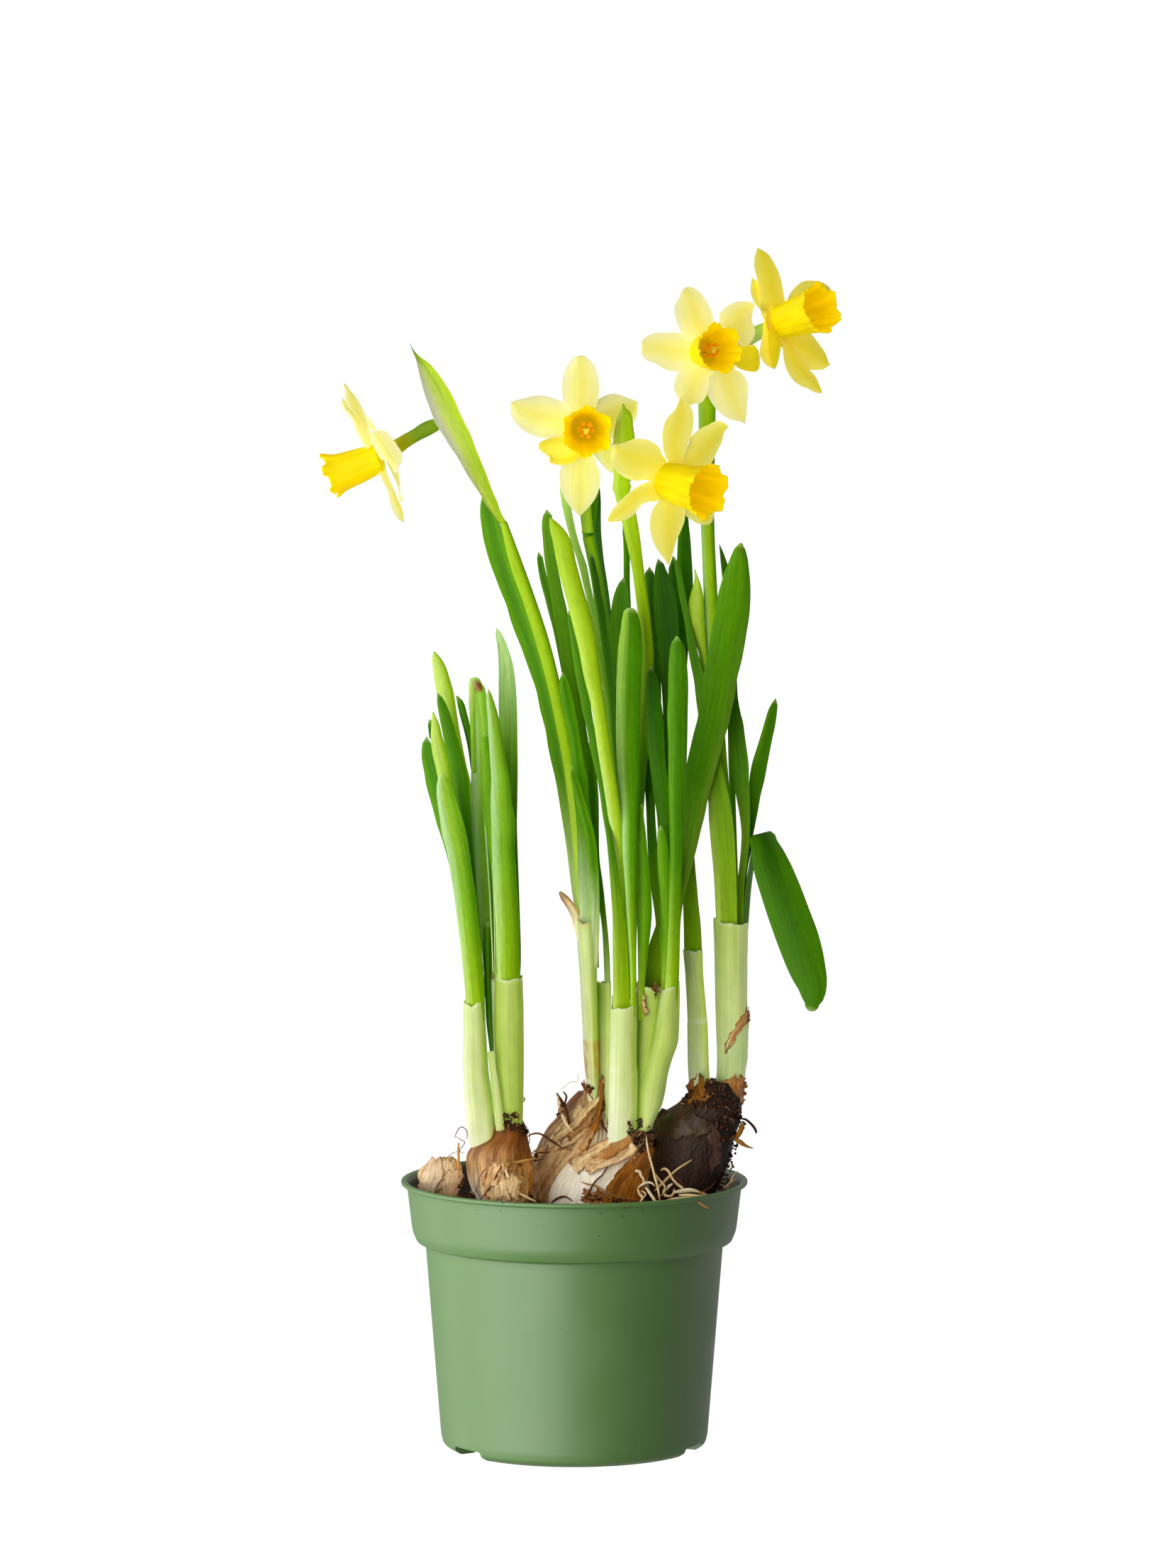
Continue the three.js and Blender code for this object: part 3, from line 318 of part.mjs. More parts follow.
function coronaRoom(f) {
  const { a } = frame3(f.axis);
  const c = V(...f.centre);
  return rod([[1 - CLEARANCE, f.coronaBase * 0.55 + CLEARANCE], [2 - CLEARANCE, f.coronaBase + CLEARANCE], [f.coronaLength * 0.55, coronaRadius(f, 0.5) + CLEARANCE], [f.coronaLength + 1.2, f.coronaMouth + 0.6 + CLEARANCE]].map(([d, r]) => {
    const p = c.clone().addScaledVector(a, d);
    return [p.x, p.y, p.z, r];
  }), 12);
}

// A solid of revolution about the pot's axis. The profile starts and ends on the axis.
function lathe(profile, segments, bump = null) {
  const g = new THREE.LatheGeometry(profile.map(([r, z]) => new THREE.Vector2(r, z)), segments);
  g.deleteAttribute('normal');
  g.deleteAttribute('uv');
  g.rotateX(Math.PI / 2);
  const p = g.attributes.position;
  for (let i = 0; i < p.count; i++) {
    let x = p.getX(i), y = p.getY(i), z = p.getZ(i);
    if (Math.hypot(x, y) < 1e-6) { x = 0; y = 0; }
    if (bump) z += bump(x, y, z);
    p.setXYZ(i, x, y, z);
  }
  const w = mergeVertices(g, 1e-3);
  const idx = Array.from(w.index.array);
  const clean = [];
  for (let t = 0; t < idx.length; t += 3) if (idx[t] !== idx[t + 1] && idx[t + 1] !== idx[t + 2] && idx[t] !== idx[t + 2]) clean.push(idx[t], idx[t + 1], idx[t + 2]);
  const arr = w.attributes.position.array;
  let vol = 0;
  for (let t = 0; t < clean.length; t += 3) {
    const [a, b, c] = [clean[t], clean[t + 1], clean[t + 2]].map((i) => V(arr[3 * i], arr[3 * i + 1], arr[3 * i + 2]));
    vol += a.dot(b.cross(c));
  }
  if (vol < 0) for (let t = 0; t < clean.length; t += 3) [clean[t + 1], clean[t + 2]] = [clean[t + 2], clean[t + 1]];
  return toSolid(Array.from(arr), clean);
}

// ---------------------------------------------------------------- the pot and its soil
function makePot() {
  const profile = [
    [0, 3.2], [FOOT_INNER_RADIUS - 0.6, 3.2], [FOOT_INNER_RADIUS, 0], [FOOT_RADIUS, 0], [FOOT_RADIUS + 2.4, 1.5], [BODY_LOW_RADIUS, 4.4],
    [BODY_TOP_RADIUS, BAND_BOTTOM_Z], [54.6, BAND_BOTTOM_Z + 0.8], [BAND_LOW_RADIUS, BAND_BOTTOM_Z + 4],
    [BAND_TOP_RADIUS, POT_HEIGHT - LIP_THICKNESS], [RIM_RADIUS, POT_HEIGHT - LIP_THICKNESS + 0.2], [RIM_RADIUS, POT_HEIGHT - 0.3], [RIM_RADIUS - 0.4, POT_HEIGHT],
    [RIM_INNER_RADIUS, POT_HEIGHT], [57.1, 91.2], [54.6, BAND_BOTTOM_Z + 4], [50.1, BAND_BOTTOM_Z - 1], [BODY_LOW_RADIUS - WALL, FLOOR_Z + 2], [43, FLOOR_Z], [0, FLOOR_Z],
  ];
  let pot = lathe(profile, POT_SEGMENTS);
  for (const deg of NOTCH_ANGLES_DEG) {
    const wide = 2 * 44 * Math.tan((NOTCH_WIDTH_DEG / 2) * Math.PI / 180);
    const box = new THREE.BoxGeometry(wide, 20, NOTCH_HEIGHT + 1);
    box.deleteAttribute('normal');
    box.deleteAttribute('uv');
    box.translate(0, -46.2, NOTCH_HEIGHT - (NOTCH_HEIGHT + 1) / 2 - 0.8);
    box.rotateZ(deg * Math.PI / 180);
    const b = mergeVertices(box, 1e-4);
    pot = pot.subtract(toSolid(Array.from(b.attributes.position.array), Array.from(b.index.array)));
  }
  return pot;
}
function makeSoil() {
  const g = CLEARANCE + 0.15;
  const profile = [[0, FLOOR_Z + g], [42.6, FLOOR_Z + g], [BODY_LOW_RADIUS - WALL - g, FLOOR_Z + 3], [50.1 - g, BAND_BOTTOM_Z - 1], [54.6 - g - 0.1, BAND_BOTTOM_Z + 4],
    [55.3 - g, 81.5], [52, 82.4], [42, 82.8], [30, 83.6], [16, SOIL_TOP_Z], [0, SOIL_TOP_Z]];
  const rough = (x, y, z) => (z > 81 && Math.hypot(x, y) < 50 ? 0.7 * Math.sin(x * 0.31 + 1.3) * Math.cos(y * 0.27 + 0.4) : 0);
  return lathe(profile, 28, rough);
}

// ---------------------------------------------------------------- assembly
const COLOURS = { pot: 0x8fa883, soil: 0x3a2c22, bulb: 0x9a6f3c, leaf: 0x4f8a1f, stem: 0x8fb83a, bud: 0xa9c860, tepal: 0xefe67a, corona: 0xfbd405 };
const nodes = [];   // name, kind, solid, fat (the same shape grown by the clearance)
const node = (name, kind, solid, fat) => nodes.push({ name, kind, solid, fat });

for (const [name, rows] of Object.entries(LEAVES)) node(name, 'leaf', blade(rows, LEAF_THICKNESS), blade(rows, LEAF_THICKNESS, CLEARANCE));
for (const [name, rows] of Object.entries(STEMS)) {
  let solid = rod(rows), fat = rod(rows, 8, CLEARANCE);
  const spathe = SPATHES[name.replace('stem_', 'spathe_')];
  if (spathe) {
    solid = solid.add(blade(spathe, SPATHE_THICKNESS));
    fat = fat.add(blade(spathe, SPATHE_THICKNESS, CLEARANCE));
  }
  node(name, name.startsWith('bud') ? 'bud' : 'stem', solid, fat);
}
FLOWERS.forEach((f, i) => {
  const cup = corona(f);
  node(`corona_${i + 1}`, 'corona', cup, coronaRoom(f));
  let petals = rod(f.tube, 8);
  let fat = rod(f.tube, 8, CLEARANCE);
  for (const rows of f.tepals) {
    petals = petals.add(blade(rows, TEPAL_THICKNESS));
    fat = fat.add(blade(rows, TEPAL_THICKNESS, CLEARANCE));
  }
  node(`petals_${i + 1}`, 'tepal', largest(petals.subtract(coronaRoom(f))), fat);
});
const bulb = (name, sheaths) => {
  let solid = ovals(BULBS[name], 12), fat = ovals(BULBS[name], 12, CLEARANCE);
  for (const s of sheaths) {
    solid = solid.add(ovals(SHEATHS[s], 10));
    fat = fat.add(ovals(SHEATHS[s], 10, CLEARANCE, CLEARANCE));
  }
  node(name, 'bulb', solid, fat);
};
bulb('bulb_front', ['c1', 'c2']);
bulb('bulb_left', ['l1', 'l2']);
bulb('bulb_right', ['r2', 'r1']);
bulb('bulb_middle', ['m', 'c0', 'cb']);
bulb('bulblet_front', []);
bulb('bulblet_left', []);
node('soil', 'soil', makeSoil(), null);
node('pot', 'pot', makePot(), null);

const boxesMeet = (a, b) => {
  const p = a.boundingBox(), q = b.boundingBox();
  return [0, 1, 2].every((k) => p.min[k] <= q.max[k] && q.min[k] <= p.max[k]);
};
// Leaves and stems keep their shape; what they stand in is hollowed for them.
const log = [];
for (let j = 0; j < nodes.length; j++) {
  const b = nodes[j];
  if (b.kind === 'pot') continue;
  const start = b.solid.volume();
  const holder = b.kind === 'bulb' || b.kind === 'soil';
  for (let i = 0; i < j; i++) {
    const a = nodes[i];
    if (!a.fat || (a.kind === 'corona' && a.name.slice(-1) === b.name.slice(-1) && b.kind === 'tepal')) continue;
    if (!boxesMeet(a.fat, b.solid)) continue;
    if (!holder && a.solid.intersect(b.solid).volume() < 1e-4) continue;
    if (holder && a.fat.intersect(b.solid).volume() < 1e-4) continue;
    b.solid = b.solid.subtract(a.fat);
    log.push([a.name, b.name]);
  }
  b.solid = largest(b.solid);
  if (start - b.solid.volume() > 0.5) log.push([b.name, 'lost', (start - b.solid.volume()).toFixed(1), 'of', start.toFixed(1)]);
}

const FINISH = { pot: [0.55, 0], soil: [0.95, 0], bulb: [0.7, 0], leaf: [0.45, 0], stem: [0.45, 0], bud: [0.5, 0], tepal: [0.6, 0], corona: [0.55, 0] };
const plant = new THREE.Group();
for (const n of nodes) {
  const [roughness, metalness] = FINISH[n.kind];
  const mesh = new THREE.Mesh(toGeometry(n.solid), new THREE.MeshStandardMaterial({ color: COLOURS[n.kind], roughness, metalness }));
  mesh.name = n.name;
  plant.add(mesh);
}

export default plant;
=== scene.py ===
# Potted miniature daffodil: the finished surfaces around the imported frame.
import bpy, bmesh, math
import numpy as np
from mathutils import Vector, Matrix


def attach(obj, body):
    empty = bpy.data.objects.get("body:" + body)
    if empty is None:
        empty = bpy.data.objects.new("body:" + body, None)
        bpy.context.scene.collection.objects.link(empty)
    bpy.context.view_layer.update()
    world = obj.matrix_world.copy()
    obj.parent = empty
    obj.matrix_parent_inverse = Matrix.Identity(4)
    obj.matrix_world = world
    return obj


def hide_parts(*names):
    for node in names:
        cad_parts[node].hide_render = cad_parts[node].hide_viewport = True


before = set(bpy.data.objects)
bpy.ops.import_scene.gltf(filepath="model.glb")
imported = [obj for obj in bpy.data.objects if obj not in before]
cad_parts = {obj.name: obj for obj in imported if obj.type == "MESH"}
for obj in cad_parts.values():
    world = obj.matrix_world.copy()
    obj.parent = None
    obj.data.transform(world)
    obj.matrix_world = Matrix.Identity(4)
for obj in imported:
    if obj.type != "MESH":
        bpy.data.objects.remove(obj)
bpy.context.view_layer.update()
MM = 0.001

# ------------------------------------------------------------------ camera
scene = bpy.context.scene
cam_data = bpy.data.cameras.new("camera")
cam_data.lens = 153.78
cam_data.sensor_width = 36.0
cam_data.clip_start = 0.05
cam_data.clip_end = 60.0
camera = bpy.data.objects.new("camera", cam_data)
scene.collection.objects.link(camera)
camera.location = (0.00474, -2.300, 0.4234)
camera.rotation_euler = (math.radians(90 - 4.8), 0, 0)
scene.camera = camera
scene.view_settings.view_transform = "Standard"
scene.view_settings.look = "None"

# ------------------------------------------------------------------ shape tables, millimetres
LEAVES = {
    'leaf_left_1': ((-45.12,-26.38,236.11,0.12,0,0,0),(-45.09,-26.38,236.05,0.33,-0.05,0,0.09),(-45.04,-26.38,235.9,0.61,-0.09,0,0.16),(-44.96,-26.38,235.59,0.95,-0.13,0,0.25),(-44.86,-26.38,235.13,1.3,-0.18,0,0.35),(-44.75,-26.38,234.54,1.64,-0.23,0,0.44),(-44.64,-26.38,233.93,1.93,-0.27,0,0.52),(-44.34,-26.16,231.49,2.6,-0.36,0,0.69),(-43.52,-25.71,226.6,3.2,-0.43,0,0.8),(-42.33,-25.27,221.71,3.69,-0.49,0,0.8),(-41.32,-24.82,216.82,4.11,-0.53,0,0.8),(-39.65,-24.13,209.47,3.87,-0.48,0,0.8),(-38.59,-23.43,202.11,3.75,-0.45,0,0.8),(-37.4,-22.71,194.74,3.75,-0.43,0,0.8),(-36.34,-21.73,184.9,3.64,-0.4,0,0.8),(-35.28,-20.71,175.04,3.52,-0.36,0,0.8),(-34.47,-19.67,165.16,3.4,-0.33,0,0.8),(-33.89,-18.83,157.25,3.28,-0.3,0,0.8),(-33.79,-18.08,150.31,2.92,-0.26,0,0.78)),
    'leaf_left_2': ((-46.7,-18.17,263.12,0.12,0,0,0),(-46.65,-18.17,263.07,0.08,-0.02,0,0.02),(-46.58,-18.17,262.93,0.18,-0.05,0,0.05),(-46.47,-18.17,262.66,0.35,-0.09,0,0.09),(-46.32,-18.17,262.25,0.54,-0.14,0,0.15),(-46.14,-18.17,261.73,0.76,-0.19,0,0.2),(-45.98,-18.17,261.18,0.97,-0.24,0,0.26),(-45.62,-18.14,259.97,1.33,-0.33,0,0.36),(-44.89,-18.1,257.54,1.69,-0.42,0,0.45),(-43.63,-18,252.68,2.12,-0.51,0,0.57),(-42.49,-17.91,247.81,2.3,-0.54,0,0.61),(-41.29,-17.81,242.94,2.54,-0.59,0,0.68),(-40.09,-17.71,238.07,2.79,-0.63,0,0.74),(-39.13,-17.6,233.2,2.79,-0.62,0,0.74),(-38.3,-17.44,225.89,2.67,-0.57,0,0.71),(-37.47,-17.2,216.13,2.55,-0.52,0,0.68),(-36.88,-17.02,208.8,2.43,-0.48,0,0.65),(-35.69,-16.61,194.13,2.43,-0.44,0,0.65),(-34.98,-16.29,184.33,2.43,-0.42,0,0.65),(-34.04,-15.86,172.07,2.43,-0.39,0,0.65),(-33.09,-15.41,159.79,2.43,-0.36,0,0.65),(-33.11,-15.04,149.95,1.95,-0.27,0,0.52)),
    'leaf_left_3': ((-50.85,2.16,246.51,0.12,0,0,0),(-50.86,2.16,246.47,0.19,-0.09,0,-0.03),(-50.87,2.16,246.36,0.35,-0.16,0,-0.06),(-50.89,2.16,246.16,0.54,-0.25,0,-0.09),(-50.92,2.16,245.85,0.74,-0.34,0,-0.12),(-50.95,2.16,245.45,0.93,-0.44,0,-0.16),(-50.98,2.16,245.04,1.1,-0.51,0,-0.18),(-50.79,2.08,243.82,1.65,-0.76,0,-0.27),(-50.43,1.94,241.38,2.26,-1.04,0,-0.38),(-49.88,1.79,238.94,2.69,-1.22,0,-0.45),(-49.15,1.64,236.5,2.93,-1.31,0,-0.49),(-48.54,1.49,234.06,3.05,-1.35,0,-0.5),(-47.99,1.34,231.62,3.24,-1.42,0,-0.5),(-46.77,1.04,226.74,3.24,-1.38,0,-0.5),(-45.49,0.73,221.86,3.18,-1.32,0,-0.5),(-44.39,0.42,216.98,3.06,-1.24,0,-0.5),(-42.93,0.11,212.1,2.81,-1.11,0,-0.47),(-41.71,-0.21,207.22,2.57,-0.99,0,-0.43),(-40.24,-0.7,199.9,2.32,-0.86,0,-0.39),(-37.68,-1.89,182.82,1.96,-0.66,0,-0.33),(-34.75,-3.73,158.44,1.96,-0.56,0,-0.33),(-34.38,-4.53,148.69,1.83,-0.49,0,-0.31)),
    'leaf_left_4': ((-34.64,-15.05,268.01,0.12,0,0,0),(-34.62,-15.05,267.98,0.24,-0.1,0,-0.07),(-34.59,-15.05,267.91,0.44,-0.18,0,-0.13),(-34.55,-15.05,267.77,0.68,-0.28,0,-0.2),(-34.48,-15.05,267.57,0.93,-0.38,0,-0.28),(-34.41,-15.05,267.31,1.18,-0.48,0,-0.35),(-34.34,-15.05,267.04,1.39,-0.56,0,-0.42),(-33.55,-15.03,265.82,2.3,-0.92,0,-0.69),(-33.25,-15.02,264.6,2.73,-1.09,0,-0.82),(-32.89,-14.98,262.17,3.09,-1.22,0,-0.9),(-32.6,-14.91,257.31,3.27,-1.25,0,-0.9),(-32.12,-14.87,254.87,3.27,-1.24,0,-0.9),(-31.41,-14.69,242.7,3.76,-1.33,0,-0.9),(-31.06,-14.53,232.95,4.13,-1.37,0,-0.9),(-31.02,-14.34,220.75,4.31,-1.33,0,-0.9),(-30.37,-14.14,208.53,4.13,-1.17,0,-0.9),(-29.78,-13.98,198.75,4.01,-1.06,0,-0.9),(-29.18,-13.82,188.96,3.89,-0.95,0,-0.9),(-28.47,-13.66,179.17,3.65,-0.82,0,-0.9),(-27.99,-13.54,171.81,3.41,-0.72,0,-0.9),(-27.63,-13.47,166.91,3.29,-0.66,0,-0.9),(-26.18,-13.36,159.55,2.56,-0.48,0,-0.77),(-24.73,-13.27,153.41,1.83,-0.32,0,-0.55)),
    'leaf_left_5': ((-29.13,-27.33,264.98,0.12,0,0,0),(-29.13,-27.33,264.94,0.11,0.01,0,0.04),(-29.12,-27.33,264.86,0.2,0.02,0,0.07),(-29.1,-27.33,264.69,0.31,0.03,0,0.1),(-29.08,-27.33,264.43,0.42,0.04,0,0.14),(-29.06,-27.33,264.11,0.53,0.06,0,0.18),(-29.04,-27.33,263.77,0.63,0.07,0,0.21),(-28.77,-27.3,262.56,0.96,0.1,0,0.32),(-28.48,-27.16,260.61,1.27,0.13,0,0.42),(-28.06,-26.99,258.18,1.57,0.16,0,0.52),(-27.58,-26.82,255.75,1.81,0.19,0,0.6),(-27.29,-26.64,253.32,1.99,0.2,0,0.66),(-26.52,-26.12,246.02,2.41,0.24,0,0.8),(-25.69,-25.58,238.71,2.78,0.27,0,0.93),(-25.09,-25.22,233.84,3.14,0.3,0,1),(-24.87,-24.66,226.51,3.63,0.34,0,1),(-24.1,-24.08,219.18,4.17,0.38,0,1),(-24.06,-23.28,209.39,3.99,0.35,0,1),(-23.59,-22.65,202.04,4,0.34,0,1),(-23.3,-22,194.67,4.06,0.34,0,1),(-22.84,-21.11,184.84,4.06,0.32,0,1),(-22.62,-20.19,174.98,4.06,0.31,0,1),(-22.57,-19.49,167.58,4.01,0.3,0,1),(-22.34,-18.78,160.17,3.64,0.26,0,1),(-22.24,-18.19,153.99,3.28,0.23,0,1)),
    'leaf_left_6': ((-30.45,-21.22,250.01,0.12,0,0,0),(-30.44,-21.22,249.95,0.21,-0.02,0,0.05),(-30.43,-21.22,249.81,0.38,-0.03,0,0.09),(-30.41,-21.22,249.54,0.59,-0.05,0,0.14),(-30.39,-21.22,249.13,0.81,-0.07,0,0.19),(-30.36,-21.22,248.61,1.03,-0.09,0,0.24),(-30.33,-21.22,248.07,1.21,-0.11,0,0.28),(-30.03,-21.1,245.63,1.39,-0.12,0,0.32),(-29.5,-20.75,238.32,1.69,-0.13,0,0.4),(-29.15,-20.51,233.44,2.06,-0.15,0,0.48),(-28.45,-19.91,221.24,2.3,-0.14,0,0.54),(-27.62,-19.29,209.02,2.42,-0.12,0,0.57),(-26.34,-17.94,184.5,2.55,-0.07,0,0.59),(-25.15,-16.93,167.3,2.31,-0.03,0,0.54),(-24.07,-16.49,159.91,1.95,-0.01,0,0.45),(-23.6,-16.12,153.75,1.7,0,0,0.4)),
    'leaf_left_7': ((-26.72,-7.92,284.57,0.12,0,0,0),(-26.7,-7.92,284.54,0.12,0.03,0,-0.03),(-26.67,-7.92,284.47,0.21,0.05,0,-0.06),(-26.63,-7.92,284.33,0.33,0.08,0,-0.09),(-26.56,-7.92,284.13,0.45,0.11,0,-0.12),(-26.49,-7.92,283.87,0.57,0.14,0,-0.15),(-26.42,-7.92,283.59,0.67,0.17,0,-0.18),(-25.87,-7.94,282.38,1.09,0.27,0,-0.29),(-25.57,-7.96,281.16,1.28,0.32,0,-0.34),(-24.78,-8.01,278.73,1.7,0.42,0,-0.45),(-24.3,-8.06,276.3,1.94,0.48,0,-0.52),(-23.45,-8.15,271.44,2.55,0.62,0,-0.68),(-23.15,-8.24,266.57,2.86,0.68,0,-0.76),(-22.97,-8.33,261.7,3.04,0.72,0,-0.8),(-22.86,-8.43,256.84,3.16,0.74,0,-0.8),(-22.68,-8.53,251.97,3.1,0.72,0,-0.8),(-22.51,-8.83,237.35,3.04,0.68,0,-0.8),(-22.45,-9.09,225.17,2.86,0.62,0,-0.76),(-22.4,-9.26,217.85,2.68,0.57,0,-0.71),(-22.16,-9.48,208.09,2.68,0.55,0,-0.71),(-21.56,-9.82,193.45,2.56,0.51,0,-0.68),(-21.14,-10.04,183.68,2.5,0.48,0,-0.67),(-20.97,-10.43,166.57,2.44,0.45,0,-0.65),(-21.22,-10.59,159.23,2.19,0.39,0,-0.59),(-21.23,-10.72,153.11,1.95,0.34,0,-0.52)),
    'leaf_middle_1': ((-30.18,-8.08,331.21,0.12,0,0,0),(-30.19,-8.08,331.17,0.2,-0.05,0,-0.07),(-30.19,-8.08,331.07,0.36,-0.1,0,-0.12),(-30.2,-8.08,330.86,0.56,-0.15,0,-0.19),(-30.22,-8.08,330.56,0.77,-0.21,0,-0.26),(-30.23,-8.08,330.17,0.98,-0.26,0,-0.33),(-30.25,-8.08,329.76,1.15,-0.31,0,-0.38),(-29.95,-8.01,327.33,2.06,-0.55,0,-0.69),(-29.53,-7.93,324.9,2.61,-0.69,0,-0.87),(-29.11,-7.85,322.47,2.91,-0.77,0,-0.97),(-28.44,-7.77,320.04,3.22,-0.84,0,-1),(-27.96,-7.69,317.61,3.46,-0.9,0,-1),(-26.82,-7.53,312.75,3.52,-0.91,0,-1),(-25.37,-7.37,307.88,3.52,-0.9,0,-1),(-23.74,-7.21,303.01,3.34,-0.84,0,-1),(-22.04,-7.05,298.14,3.22,-0.8,0,-1),(-20.23,-6.88,293.26,2.98,-0.74,0,-0.99),(-18.84,-6.71,288.39,3.04,-0.74,0,-1),(-17.14,-6.53,283.51,3.04,-0.73,0,-1),(-15.5,-6.34,278.63,2.74,-0.65,0,-0.91),(-13.99,-6.14,273.74,2.55,-0.6,0,-0.85),(-12.41,-5.93,268.85,2.43,-0.57,0,-0.81),(-10.84,-5.72,263.96,2.31,-0.53,0,-0.77),(-9.22,-5.39,256.61,2.4,-0.54,0,-0.8),(-7.44,-5.04,249.26,2.31,-0.51,0,-0.77),(-6.59,-4.8,244.36,2.44,-0.53,0,-0.81),(-4.28,-4.2,232.08,2.07,-0.44,0,-0.69),(-2.86,-3.69,222.25,1.87,-0.39,0,-0.62),(-0.88,-2.85,207.47,1.59,-0.32,0,-0.53),(0.46,-2.1,195.13,1.47,-0.28,0,-0.49),(1.81,-1.51,185.24,1.34,-0.25,0,-0.45),(2.91,-0.9,175.34,1.22,-0.22,0,-0.41),(3.52,-0.36,166.67,1.1,-0.19,0,-0.37)),
    'leaf_middle_2': ((-12.37,8.01,309.79,0.12,0,0,0),(-12.34,8.01,309.75,0.16,-0.06,0,-0.03),(-12.3,8.01,309.65,0.29,-0.11,0,-0.06),(-12.23,8.01,309.44,0.45,-0.16,0,-0.09),(-12.14,8.01,309.13,0.61,-0.22,0,-0.12),(-12.04,8.01,308.74,0.78,-0.28,0,-0.16),(-11.94,8.01,308.33,0.92,-0.33,0,-0.18),(-11.33,7.96,304.66,1.16,-0.41,0,-0.23),(-10.23,7.88,299.77,1.41,-0.49,0,-0.28),(-8.83,7.81,294.88,1.47,-0.49,0,-0.29),(-7.49,7.74,289.99,1.59,-0.52,0,-0.32),(-6.08,7.67,285.09,1.65,-0.52,0,-0.33),(-5.05,7.59,280.2,1.59,-0.49,0,-0.32),(-4.07,7.52,275.3,1.59,-0.47,0,-0.32),(-3.09,7.45,270.4,1.59,-0.46,0,-0.32),(-0.89,7.23,255.7,1.59,-0.41,0,-0.32),(1.92,6.86,231.16,1.47,-0.31,0,-0.29),(3.76,6.45,206.6,1.35,-0.22,0,-0.27),(4.99,5.91,184.47,1.1,-0.13,0,-0.22),(5.48,5.62,174.64,1.1,-0.11,0,-0.22),(5.72,5.36,166.03,1.1,-0.1,0,-0.22)),
    'leaf_middle_3': ((-9.5,-0.34,324.82,0.12,0,0,0),(-9.48,-0.34,324.77,0.23,-0.06,0,-0.05),(-9.44,-0.34,324.67,0.42,-0.11,0,-0.1),(-9.38,-0.34,324.47,0.66,-0.18,0,-0.15),(-9.31,-0.34,324.16,0.9,-0.24,0,-0.21),(-9.22,-0.34,323.77,1.14,-0.3,0,-0.27),(-9.13,-0.34,323.36,1.34,-0.36,0,-0.31),(-9.14,-0.3,322.14,1.7,-0.45,0,-0.4),(-9.32,-0.21,319.7,1.77,-0.47,0,-0.41),(-8.9,-0.04,314.82,1.83,-0.47,0,-0.43),(-8.35,0.14,309.94,2.01,-0.51,0,-0.47),(-7.69,0.32,305.05,2.07,-0.51,0,-0.48),(-6.71,0.51,300.17,2.07,-0.5,0,-0.48),(-5.86,0.7,295.27,2.19,-0.51,0,-0.51),(-4.95,0.91,290.38,2.5,-0.57,0,-0.58),(-4.16,1.12,285.48,2.44,-0.54,0,-0.57),(-3.19,1.34,280.58,2.2,-0.48,0,-0.51),(-2.46,1.58,275.68,2.2,-0.46,0,-0.51),(-1.79,1.82,270.77,2.26,-0.47,0,-0.53),(-1.3,1.94,268.32,2.14,-0.43,0,-0.5),(-0.08,2.19,263.41,1.89,-0.37,0,-0.44),(0.95,2.45,258.49,1.71,-0.33,0,-0.4),(2.17,2.82,251.12,1.71,-0.31,0,-0.4),(3.03,3.09,244.97,1.83,-0.32,0,-0.43),(3.76,3.29,240.05,1.83,-0.31,0,-0.43),(4.86,3.58,229.72,1.71,-0.27,0,-0.4),(6.09,3.77,206.85,1.47,-0.2,0,-0.34),(7.07,3.36,182.28,1.23,-0.13,0,-0.29),(7.31,2.92,166.3,1.23,-0.11,0,-0.29)),
    'leaf_middle_4': ((-3.99,-14.16,269.77,0.12,0,0,0),(-3.98,-14.16,269.72,0.17,0.03,0,0.04),(-3.97,-14.16,269.61,0.31,0.05,0,0.07),(-3.95,-14.16,269.39,0.48,0.08,0,0.11),(-3.92,-14.16,269.06,0.65,0.11,0,0.15),(-3.89,-14.16,268.63,0.82,0.15,0,0.19),(-3.87,-14.16,268.19,0.97,0.17,0,0.23),(-3.6,-14.08,266.97,1.43,0.25,0,0.33),(-3.26,-13.92,264.53,1.82,0.31,0,0.42),(-2.42,-13.59,259.64,2.18,0.37,0,0.51),(-1.93,-13.43,257.2,2.18,0.36,0,0.51),(-0.76,-13.1,252.31,1.98,0.32,0,0.46),(0.56,-12.6,244.97,1.87,0.29,0,0.44),(1.34,-12.1,237.62,2.31,0.34,0,0.54),(1.95,-11.75,232.71,2.67,0.39,0,0.62),(2.55,-11.23,225.35,2.55,0.35,0,0.6),(3.11,-10.88,220.44,2.48,0.33,0,0.58),(3.96,-9.97,208.14,2.85,0.35,0,0.66),(4.5,-9.04,195.82,3.05,0.34,0,0.7),(4.86,-8.29,185.95,2.93,0.3,0,0.68),(5.35,-7.55,176.06,2.44,0.23,0,0.57),(5.59,-6.9,167.4,2.2,0.19,0,0.51)),
